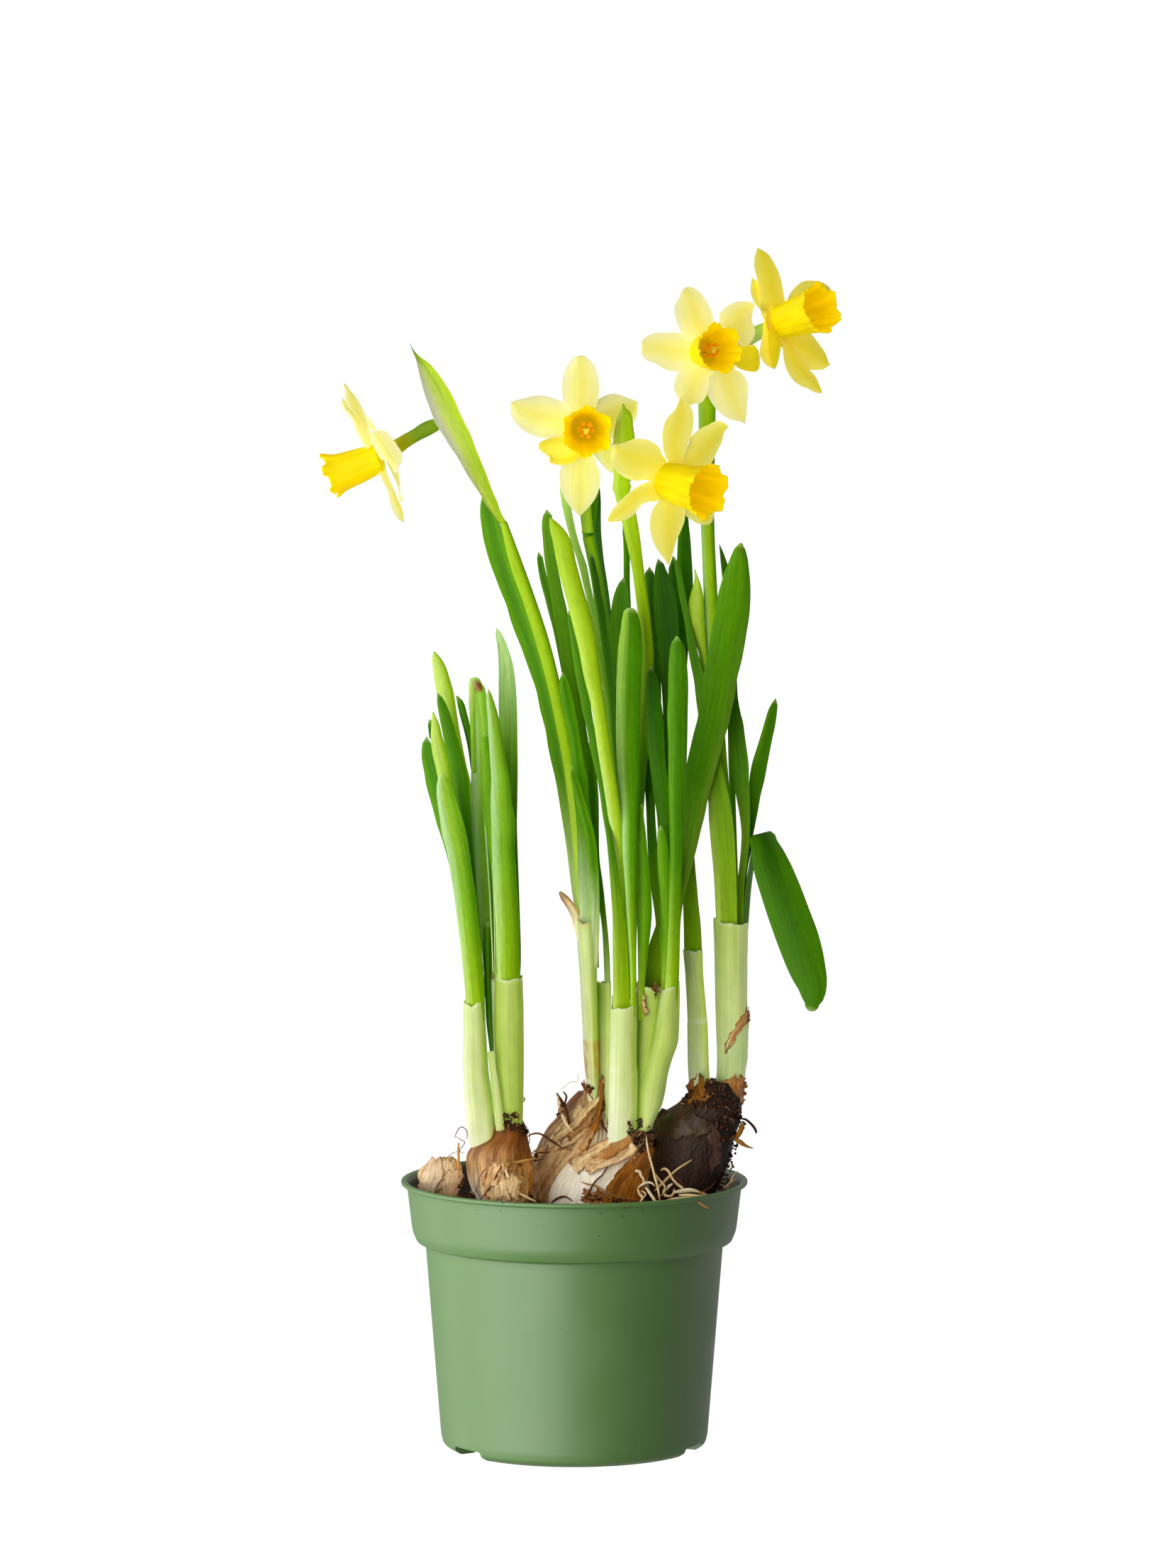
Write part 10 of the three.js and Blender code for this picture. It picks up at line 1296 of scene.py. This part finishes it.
    # raised folds lightened further: a painted highlight
    v = sstep(fold, 0.25, 0.7)[..., None] * (0.0 if tone == "outer" else 0.3)
    C = np.clip(C * (1 + v), 0, 1)
    F0 = P0.copy(); F0[..., 1] -= lift
    B0 = P0.copy(); B0[..., 1] -= lift - thick
    V = np.concatenate([F0.reshape(-1, 3), B0.reshape(-1, 3)])
    F = [(i * m + j, (i + 1) * m + j, (i + 1) * m + j + 1, i * m + j + 1) for i in range(n - 1) for j in range(m - 1)]
    o = n * m
    F += [tuple(reversed(tuple(x + o for x in f))) for f in F]
    ring = [j for j in range(m)] + [i * m + m - 1 for i in range(1, n)] + [(n - 1) * m + j for j in range(m - 2, -1, -1)] + [i * m for i in range(n - 2, 0, -1)]
    for x, y in zip(ring, ring[1:] + ring[:1]):
        F.append((x, y, y + o, x + o))
    G = np.stack([xx, zz, np.full((n, m), float(seed % 89))], -1).reshape(-1, 3)
    # the side facing the bulb is painted 0.7 as dark: painted shade under the flap
    bits.put(V, F, np.concatenate([C.reshape(-1, 3), C.reshape(-1, 3) * 0.7]), np.concatenate([G, G]))


def old_scars(C, s, t, X):
    z = X[..., 2]
    k = np.exp(-(((X[..., 0] + 36.5) / 2.2) ** 2 + ((z - 92.0) / 2.2) ** 2))[..., None] * 0.9
    return C * (1 - k) + P("rust") * k


def veins(tone, amount, fine=1.0):
    def f(C, s, t, X):
        a = noise(X.reshape(-1, 3) * np.array([1.5, 1.5, 0.12]), 0.8 * fine, 321, 2).reshape(s.shape)
        k = sstep(np.abs(a), 0.10, 0.0)[..., None] * amount
        C = C * (1 - k) + P(tone) * k
        return C
    return f


def flesh_patches(C, s, t, X):
    n = 0.5 + 0.5 * noise(X.reshape(-1, 3), 0.10, 555, 2).reshape(s.shape)
    k = (sstep(n, 0.62, 0.8) * 0.35)[..., None]
    return C * (1 - k) + P("honey") * k


BULB_SET = {
    "bulb_left": dict(look=[(0, "bark", "bark", "loam"), (0.2, "caramel", "caramel", "bark"), (0.5, "paper", "paper", "toast"), (0.8, "flesh", "paperlt", "toast"), (1, "paperlt", "toast", "bark")], line="bark", amount=0.8, low=0.1),
    "bulb_front": dict(look=[(0, "loam", "bark", "loam"), (0.2, "paperlt", "paperlt", "bark"), (0.4, "flesh", "flesh", "toast"), (1, "flesh", "flesh", "toast")], marks=flesh_patches, lump=0.2, line="paperlt", amount=0.3, patchy=0.25, low=0.0),
    "bulb_right": dict(look=[(0, "bark", "loam", "loam"), (0.4, "earth", "earth", "loam"), (1, "loam", "loam", "loam")], lump=0.6, line="soot", amount=0.5),
    "bulb_middle": dict(look=[(0, "caramel", "paperlt", "flesh"), (0.5, "paper", "paperlt", "flesh"), (1, "paper", "toast", "toast")], lump=0.4, line="bark", amount=0.8, low=0.1),
    "bulblet_left": dict(look=[(0, "paper", "paperlt", "paper"), (0.6, "paperlt", "pinklt", "paper"), (1, "toast", "toast", "toast")], marks=old_scars, lump=0.35, line="tan", amount=0.4),
    "bulblet_front": dict(look=[(0, "toast", "paper", "toast"), (0.5, "paperlt", "flesh", "paper"), (1, "paper", "toast", "bark")], lump=0.3, line="tan", amount=0.45),
}
for i, (name, rows) in enumerate(BULBS.items()):
    s = BULB_SET[name]
    bits = Bits()
    bits.put(*bulb_body(rows, s["look"], 500 + 7 * i, lump=s.get("lump", 0.5), marks=s.get("marks"), line=s["line"], amount=s["amount"], patchy=s.get("patchy", 1.0), low=s.get("low", 0.2)))
    build(name + "_body", bits, "tunic_skin" if name != "bulb_right" else "mud_skin", [name])
for i, (name, rows) in enumerate(SHEATHS.items()):
    s = SHEATH_SET[name]
    bits = Bits()
    bits.put(*sheath(rows, s["look"], 600 + 5 * i, lip=s.get("lip"), rings=s.get("rings", ()), wob=s.get("wob", 0.15), lip_tone=s.get("lip_tone", "cream"), marks=tan_patches if name == "m" else None, square=s.get("square", 1.0)))
    build("sheath_" + name, bits, "sheath_skin")
bits = Bits()
papers = Bits()
for i, (base, tone, rows) in enumerate(FLAPS):
    b = BULBS.get(base) or SHEATHS.get(base)
    flap(papers if tone == "outer" else bits, b, tone, rows, 700 + 11 * i)
build("tunic_flaps", bits, "tunic_skin")
build("sheath_flaps", papers, "sheath_skin")

bits = Bits()
for i, (rad, tone, pts) in enumerate(FIBRES):
    r0, r1 = rad if isinstance(rad, tuple) else (rad, rad)
    n = len(pts)
    tone = {"cream": "bone", "straw": "paperlt"}.get(tone, tone)
    thin = 0.42 if tone in ("soot", "umber", "rust") else 0.6
    tone = {"soot": "umber", "umber": "bark"}.get(tone, tone)
    rows = [(p[0], p[1], p[2], thin * (r0 + (r1 - r0) * k / (n - 1))) for k, p in enumerate(pts)]
    e = rows[0]; rows[0] = (e[0], e[1], e[2], e[3] * 0.55)
    e = rows[-1]; rows[-1] = (e[0], e[1], e[2], e[3] * 0.45)
    dk = {"bone": "paper", "paperlt": "tan", "straw": "tan", "cream": "straw", "honey": "tan", "tan": "rust", "bark": "umber", "rust": "umber", "umber": "soot", "soot": "soot", "gold": "rust"}[tone]
    # each root is painted darker along its right flank, painted shade from the side light, and darker at both ends
    lk = [(0, dk, tone, dk), (0.12, tone, tone, dk), (0.5, tone, tone, dk), (0.85, tone, tone, dk), (1, dk, dk, dk)]
    bits.put(*rod(rows, lk, 800 + i, m=12, step=0.7, nmin=10, nmax=70, ribs=0.05, ribn=3, lump=0.16))
build("roots", bits, "root_skin")

bits = Bits()
rg = np.random.default_rng(5)
for i, (c, w, h, tone) in enumerate(CLODS):
    cnt = int(14 + 5.0 * w * h)
    for k in range(min(cnt, 110)):
        while True:
            q = rg.uniform(-1, 1, 2)
            if q @ q < 1:
                break
        p = np.array(c) + np.array([q[0] * w * 1.05, rg.uniform(-0.5, 1.1), q[1] * h * 1.05])
        size = rg.uniform(0.16, 0.62) if k % 5 else rg.uniform(0.5, 1.0)
        tn = tone if rg.uniform() < 0.3 else ["loam", "earth", "bark", "umber", "rust"][int(rg.integers(5))]
        blob(bits, p, size, tn, int(rg.integers(1e6)), 1, 0.5, squash=(1, rg.uniform(0.6, 1), rg.uniform(0.4, 1)))
    for k in range(max(2, int(0.35 * w * h))):
        q = rg.uniform(-1, 1, 2)
        p = np.array(c) + np.array([q[0] * w, -0.6, q[1] * h])
        d = rg.uniform(0, 6.28)
        e = p + np.array([math.cos(d), rg.uniform(-0.5, 0.3), math.sin(d)]) * rg.uniform(0.8, 2.4)
        tn = ["tan", "loam", "bark", "paper"][int(rg.integers(4))]
        bits.put(*rod([(*p, 0.07), (*(0.5 * p + 0.5 * e + np.array([0.2, -0.2, 0.2])), 0.12), (*e, 0.05)], [(0, tn, tn, tn), (1, tn, tn, tn)], 1200 + 40 * i + k, m=5, step=0.5, nmin=4, nmax=6))
build("neck_soil", bits, "dirt_stuff")

# ------------------------------------------------------------------ the potting mix
POT = dict(h=93.0, rim=60.0, rim_in=58.1, lip=1.4, band_top=58.0, band_low=56.1, band_z=71.5, body_top=51.6, body_low=46.3, foot=43.2, foot_in=37.6, floor=4.6, wall=1.5)
bits = Bits()
nr, na = 46, 150
rad = np.linspace(0, 1, nr) ** 0.85 * 55.0
ang = np.linspace(0, 2 * math.pi, na, endpoint=False)
X = rad[:, None] * np.cos(ang); Y = rad[:, None] * np.sin(ang)
Z = np.interp(rad, [0, 16, 30, 42, 52, 55], [84.3, 84.3, 83.4, 82.6, 82.4, 81.8])[:, None] + 0 * X
top = np.stack([X, Y, Z], -1)
top[..., 2] += 0.9 * noise(top.reshape(-1, 3), 0.16, 3, 3).reshape(nr, na) * np.minimum(1, (56 - rad) / 6)[:, None]
side = []
for r, z in ((54.2, 75.5), (49.6, 70.3), (44.5, 7.6), (42.2, 5.1)):
    side.append(np.stack([r * np.cos(ang), r * np.sin(ang), np.full(na, z)], -1))
rows = [top[i] for i in range(1, nr)] + side
V = np.concatenate(rows)
F = ring_faces(len(rows), na)
C = P("umber") * (0.62 + 0.25 * noise(V, 0.5, 8, 2)[:, None])
bits.put(V, F, np.clip(C, 0, 1))
for k in range(900):
    r = 54.3 * math.sqrt(rg.uniform()); a = rg.uniform(0, 2 * math.pi)
    x, y = r * math.cos(a), r * math.sin(a)
    z = float(np.interp(r, [0, 16, 30, 42, 52, 55], [84.3, 84.3, 83.4, 82.6, 82.4, 81.8]))
    size = rg.uniform(0.35, 1.3)
    blob(bits, (x, y, z + rg.uniform(-0.1, 0.5)), size, ["umber", "soot", "soot", "umber", "rust"][int(rg.integers(5))], int(rg.integers(1e6)), 1, 0.4, squash=(1, rg.uniform(0.5, 1), rg.uniform(0.4, 0.9)))
build("potting_mix", bits, "soil_stuff", ["soil"])
bits = Bits()
for k in range(46):
    r = 53 * math.sqrt(rg.uniform()); a = rg.uniform(0, 2 * math.pi); d = rg.uniform(0, 6.28)
    x, y = r * math.cos(a), r * math.sin(a)
    ln = rg.uniform(2.5, 7)
    pts = []
    for j in range(5):
        t = j / 4
        pts.append((x + math.cos(d) * ln * (t - 0.5), y + math.sin(d) * ln * (t - 0.5) + math.sin(t * 5 + k) * 0.5, 84.7 - 0.035 * r + 0.9 * math.sin(t * math.pi), 0.28 if 0 < j < 4 else 0.12))
    if any(math.hypot(p[0], p[1]) > 54.2 for p in pts):
        continue
    tone = ["straw", "tan", "rust"][k % 3]
    bits.put(*rod(pts, [(0, tone, tone, tone), (1, tone, tone, tone)], 900 + k, m=7, step=0.6, nmin=8, nmax=14, lump=0.1))
build("soil_fibres", bits, "root_skin")

# ------------------------------------------------------------------ the pot
def rounded(profile):
    out = []
    for i, (r, z, f) in enumerate(profile):
        if f <= 0 or i in (0, len(profile) - 1):
            out.append((r, z))
            continue
        p = np.array([r, z]); a = np.array(profile[i - 1][:2]); b = np.array(profile[i + 1][:2])
        da, db = a - p, b - p
        fa = min(f, 0.49 * np.linalg.norm(da)); fb = min(f, 0.49 * np.linalg.norm(db))
        A = p + da / np.linalg.norm(da) * fa; B = p + db / np.linalg.norm(db) * fb
        for t in np.linspace(0, 1, 6):
            q = (1 - t) ** 2 * A + 2 * t * (1 - t) * p + t * t * B
            out.append((float(q[0]), float(q[1])))
    return out


def subdivide(prof, step=2.5):
    out = [prof[0]]
    for a, b in zip(prof, prof[1:]):
        L = math.hypot(b[0] - a[0], b[1] - a[1])
        k = max(1, int(L / step))
        for j in range(1, k + 1):
            out.append((a[0] + (b[0] - a[0]) * j / k, a[1] + (b[1] - a[1]) * j / k))
    return out


pot_profile = [
    (0.0, 3.2, 0), (37.0, 3.2, 0.3), (37.6, 0.0, 0.3), (43.2, 0.0, 0.5), (45.6, 1.5, 0.8), (46.3, 4.4, 1.0),
    (51.6, 71.5, 0.7), (54.6, 72.0, 0.6), (56.1, 75.5, 1.6),
    (58.0, 91.4, 0.4), (59.6, 91.5, 0.3), (60.0, 91.9, 0.35), (60.0, 92.7, 0.45), (59.5, 93.0, 0.3),
    (58.1, 93.0, 0.5), (57.1, 91.2, 0.5), (54.6, 75.5, 1.2), (50.1, 70.5, 1.2), (44.8, 6.6, 1.2), (43.0, 4.6, 0.8), (0.0, 4.6, 0),
]
prof = subdivide(rounded(pot_profile))
seg = 180
me = bpy.data.meshes.new("pot_shell")
V, F = [], []
ang = np.linspace(0, 2 * math.pi, seg, endpoint=False)
inner = prof[1:-1]
for r, z in inner:
    for a in ang:
        V.append((r * math.cos(a) * MM, r * math.sin(a) * MM, z * MM))
for i in range(len(inner) - 1):
    for k in range(seg):
        k2 = (k + 1) % seg
        F.append((i * seg + k, i * seg + k2, (i + 1) * seg + k2, (i + 1) * seg + k))
b0 = len(V); V.append((0, 0, prof[0][1] * MM)); V.append((0, 0, prof[-1][1] * MM))
for k in range(seg):
    k2 = (k + 1) % seg
    F.append((b0, k2, k))
    o = (len(inner) - 1) * seg
    F.append((b0 + 1, o + k, o + k2))
me.from_pydata(V, [], F)
me.validate()
bm = bmesh.new(); bm.from_mesh(me); bmesh.ops.recalc_face_normals(bm, faces=bm.faces); bm.to_mesh(me); bm.free()
shell = bpy.data.objects.new("pot_shell", me)
scene.collection.objects.link(shell)
cutters = []
for deg in (-54, 66, 186):
    cm = bpy.data.meshes.new("gap")
    wide = 2 * 44 * math.tan(math.radians(19.5 / 2))
    pts = []
    half = wide / 2
    prof2 = [(-half, -1.8), (-half, 3.0), (-half + 0.25, 3.6), (-half + 0.9, 4.0), (half - 0.9, 4.0), (half - 0.25, 3.6), (half, 3.0), (half, -1.8)]
    for y in (-56.2, -36.2):
        for x, z in prof2:
            pts.append((x * MM, y * MM, (z - 0.8) * MM))
    k = len(prof2)
    fs = [tuple(range(k)), tuple(range(2 * k - 1, k - 1, -1))] + [(j, j + k, (j + 1) % k + k, (j + 1) % k) for j in range(k)]
    cm.from_pydata(pts, [], fs)
    cm.validate()
    bm = bmesh.new(); bm.from_mesh(cm); bmesh.ops.recalc_face_normals(bm, faces=bm.faces)
    bmesh.ops.rotate(bm, verts=bm.verts, cent=(0, 0, 0), matrix=Matrix.Rotation(math.radians(deg), 3, "Z"))
    bm.to_mesh(cm); bm.free()
    co = bpy.data.objects.new("gap", cm)
    scene.collection.objects.link(co)
    cutters.append(co)
    md = shell.modifiers.new("gap", "BOOLEAN"); md.operation = "DIFFERENCE"; md.object = co; md.solver = "EXACT"
dg = bpy.context.evaluated_depsgraph_get()
cutmesh = bpy.data.meshes.new_from_object(shell.evaluated_get(dg), depsgraph=dg)
for co in cutters:
    bpy.data.objects.remove(co, do_unlink=True)
bpy.data.objects.remove(shell, do_unlink=True)
pot = bpy.data.objects.new("pot_body", cutmesh)
scene.collection.objects.link(pot)
cutmesh.polygons.foreach_set("use_smooth", [True] * len(cutmesh.polygons))
cutmesh.set_sharp_from_angle(angle=math.radians(38))

nv = len(cutmesh.vertices)
co = np.zeros(nv * 3, np.float32)
cutmesh.vertices.foreach_get("co", co)
co = co.reshape(-1, 3) * 1000.0
rr_ = np.hypot(co[:, 0], co[:, 1])
inner_r = np.interp(co[:, 2], [4.0, 70.5, 75.5, 91.2, 93.0], [44.9, 50.6, 55.2, 57.5, 58.3])
# the pot's inside wall, from floor to rim, is marked for a mottled soil brown: partly dirt and partly painted shade in
# the hollow of the pot
inner_dirt_and_shade = (rr_ < inner_r) * (co[:, 2] > 4.2) * (1 - sstep(co[:, 2], 91.6, 92.9))
da = cutmesh.color_attributes.new("inner_dirt_and_shade", "FLOAT_COLOR", "POINT")
da.data.foreach_set("color", np.stack([inner_dirt_and_shade] * 3 + [np.ones(nv)], 1).astype(np.float32).ravel())

mat = bpy.data.materials.new("pot_plastic_green")
nt, N, L = nodes_of(mat)
out = N.new("ShaderNodeOutputMaterial"); b = N.new("ShaderNodeBsdfPrincipled"); L.new(b.outputs[0], out.inputs[0])
tc = N.new("ShaderNodeTexCoord")
n1 = N.new("ShaderNodeTexNoise"); n1.inputs["Scale"].default_value = 38.0; n1.inputs["Detail"].default_value = 4.0
L.new(tc.outputs["Object"], n1.inputs["Vector"])
cr = N.new("ShaderNodeValToRGB")
g0, g1 = np.array([0.090, 0.200, 0.044]), np.array([0.098, 0.215, 0.050])
cr.color_ramp.elements[0].color = (*g0, 1); cr.color_ramp.elements[1].color = (*g1, 1)
cr.color_ramp.elements[0].position = 0.3; cr.color_ramp.elements[1].position = 0.7
L.new(n1.outputs["Fac"], cr.inputs["Fac"])
n2 = N.new("ShaderNodeTexNoise"); n2.inputs["Scale"].default_value = 520.0; n2.inputs["Detail"].default_value = 5.0
L.new(tc.outputs["Object"], n2.inputs["Vector"])
sx = N.new("ShaderNodeSeparateXYZ"); L.new(tc.outputs["Object"], sx.inputs[0])
hz = N.new("ShaderNodeMapRange"); hz.inputs["From Min"].default_value = 0.084; hz.inputs["From Max"].default_value = 0.0925
hz.inputs["To Min"].default_value = 0.0; hz.inputs["To Max"].default_value = 0.07
L.new(sx.outputs["Z"], hz.inputs["Value"])
ad = N.new("ShaderNodeMath"); ad.operation = "ADD"; L.new(n2.outputs["Fac"], ad.inputs[0]); L.new(hz.outputs[0], ad.inputs[1])
fl = N.new("ShaderNodeMapRange"); fl.inputs["From Min"].default_value = 0.735; fl.inputs["From Max"].default_value = 0.76
L.new(ad.outputs[0], fl.inputs["Value"])
# soil brown on the pot's inside wall: partly dirt and partly painted shade in the hollow of the pot
gm = N.new("ShaderNodeAttribute"); gm.attribute_name = "inner_dirt_and_shade"
n4 = N.new("ShaderNodeTexNoise"); n4.inputs["Scale"].default_value = 160.0; n4.inputs["Detail"].default_value = 5.0
L.new(tc.outputs["Object"], n4.inputs["Vector"])
gr4 = N.new("ShaderNodeMapRange"); gr4.inputs["From Min"].default_value = 0.3; gr4.inputs["From Max"].default_value = 0.55
gr4.inputs["To Min"].default_value = 0.55; gr4.inputs["To Max"].default_value = 1.0
L.new(n4.outputs["Fac"], gr4.inputs["Value"])
gx = N.new("ShaderNodeMath"); gx.operation = "MULTIPLY"; L.new(gm.outputs["Fac"], gx.inputs[0]); L.new(gr4.outputs[0], gx.inputs[1])
gy = N.new("ShaderNodeMath"); gy.operation = "MAXIMUM"; L.new(gx.outputs[0], gy.inputs[0]); L.new(fl.outputs[0], gy.inputs[1])
mx = N.new("ShaderNodeMix"); mx.data_type = "RGBA"
L.new(gy.outputs[0], mx.inputs["Factor"]); L.new(cr.outputs["Color"], mx.inputs["A"]); mx.inputs["B"].default_value = (*lin((46, 38, 26)), 1)
L.new(mx.outputs["Result"], b.inputs["Base Color"])
rr = N.new("ShaderNodeMapRange"); rr.inputs["From Min"].default_value = 0.3; rr.inputs["From Max"].default_value = 0.7
rr.inputs["To Min"].default_value = 0.40; rr.inputs["To Max"].default_value = 0.52
L.new(n1.outputs["Fac"], rr.inputs["Value"]); L.new(rr.outputs[0], b.inputs["Roughness"])
n3 = N.new("ShaderNodeTexNoise"); n3.inputs["Scale"].default_value = 900.0; n3.inputs["Detail"].default_value = 3.0
L.new(tc.outputs["Object"], n3.inputs["Vector"])
bp = N.new("ShaderNodeBump"); bp.inputs["Strength"].default_value = 0.06; bp.inputs["Distance"].default_value = 0.0002
L.new(n3.outputs["Fac"], bp.inputs["Height"]); L.new(bp.outputs[0], b.inputs["Normal"])
b.inputs["Specular IOR Level"].default_value = 1.0
pot.data.materials.clear()
pot.data.materials.append(mat)
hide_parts("pot")
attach(pot, "root")

# ------------------------------------------------------------------ light and ground
world = bpy.data.worlds.new("world")
scene.world = world
world.use_nodes = True
nt = world.node_tree
nt.nodes.clear()
o = nt.nodes.new("ShaderNodeOutputWorld")
lp = nt.nodes.new("ShaderNodeLightPath")
bg1 = nt.nodes.new("ShaderNodeBackground"); bg1.inputs["Color"].default_value = (1, 1, 1, 1)
bg2 = nt.nodes.new("ShaderNodeBackground"); bg2.inputs["Color"].default_value = (1, 1, 1, 1); bg2.inputs["Strength"].default_value = 1.14
ms = nt.nodes.new("ShaderNodeMixShader")
nt.links.new(lp.outputs["Is Camera Ray"], ms.inputs[0])
nt.links.new(bg1.outputs[0], ms.inputs[1]); nt.links.new(bg2.outputs[0], ms.inputs[2])
nt.links.new(ms.outputs[0], o.inputs[0])
tc = nt.nodes.new("ShaderNodeTexCoord"); sx = nt.nodes.new("ShaderNodeSeparateXYZ"); nt.links.new(tc.outputs["Generated"], sx.inputs[0])
mr = nt.nodes.new("ShaderNodeMapRange"); mr.interpolation_type = "SMOOTHSTEP"
mr.inputs["From Min"].default_value = -0.15; mr.inputs["From Max"].default_value = 0.45; mr.inputs["To Min"].default_value = 0.11; mr.inputs["To Max"].default_value = 0.48
nt.links.new(sx.outputs["Y"], mr.inputs["Value"]); nt.links.new(mr.outputs[0], bg1.inputs["Strength"])


def area(name, loc, target, size, size_y, power, color=(1, 1, 1)):
    d = bpy.data.lights.new(name, "AREA")
    d.shape = "RECTANGLE"; d.size = size; d.size_y = size_y; d.energy = power; d.color = color
    ob = bpy.data.objects.new(name, d)
    scene.collection.objects.link(ob)
    ob.location = loc
    v = Vector(target) - Vector(loc)
    ob.rotation_euler = v.to_track_quat("-Z", "Y").to_euler()
    return ob


# two large soft boxes on the left, one of them reaching round towards the camera
area("softbox_front", (-0.771, -0.919, 0.20), (0.0, 0.0, 0.20), 1.68, 1.8, 1.68 * 1.8 * math.pi * 2.8)
area("softbox_side", (-1.20, 0.10, 0.20), (0.0, 0.0, 0.20), 1.5, 1.8, 1.5 * 1.8 * math.pi * 1.25)

me = bpy.data.meshes.new("floor")
me.from_pydata([(-3, -3, -0.0002), (3, -3, -0.0002), (3, 3, -0.0002), (-3, 3, -0.0002)], [], [(0, 1, 2, 3)])
floor = bpy.data.objects.new("floor", me)
scene.collection.objects.link(floor)
fm = bpy.data.materials.new("floor_white")
nt, N, L = nodes_of(fm)
out = N.new("ShaderNodeOutputMaterial"); b = N.new("ShaderNodeBsdfPrincipled"); clear = N.new("ShaderNodeBsdfTransparent"); mix = N.new("ShaderNodeMixShader")
mix.inputs[0].default_value = 0.12
L.new(clear.outputs[0], mix.inputs[1]); L.new(b.outputs[0], mix.inputs[2]); L.new(mix.outputs[0], out.inputs[0])
b.inputs["Base Color"].default_value = (0.9, 0.9, 0.9, 1)
b.inputs["Roughness"].default_value = 0.9
b.inputs["Specular IOR Level"].default_value = 0.1
me.materials.append(fm)
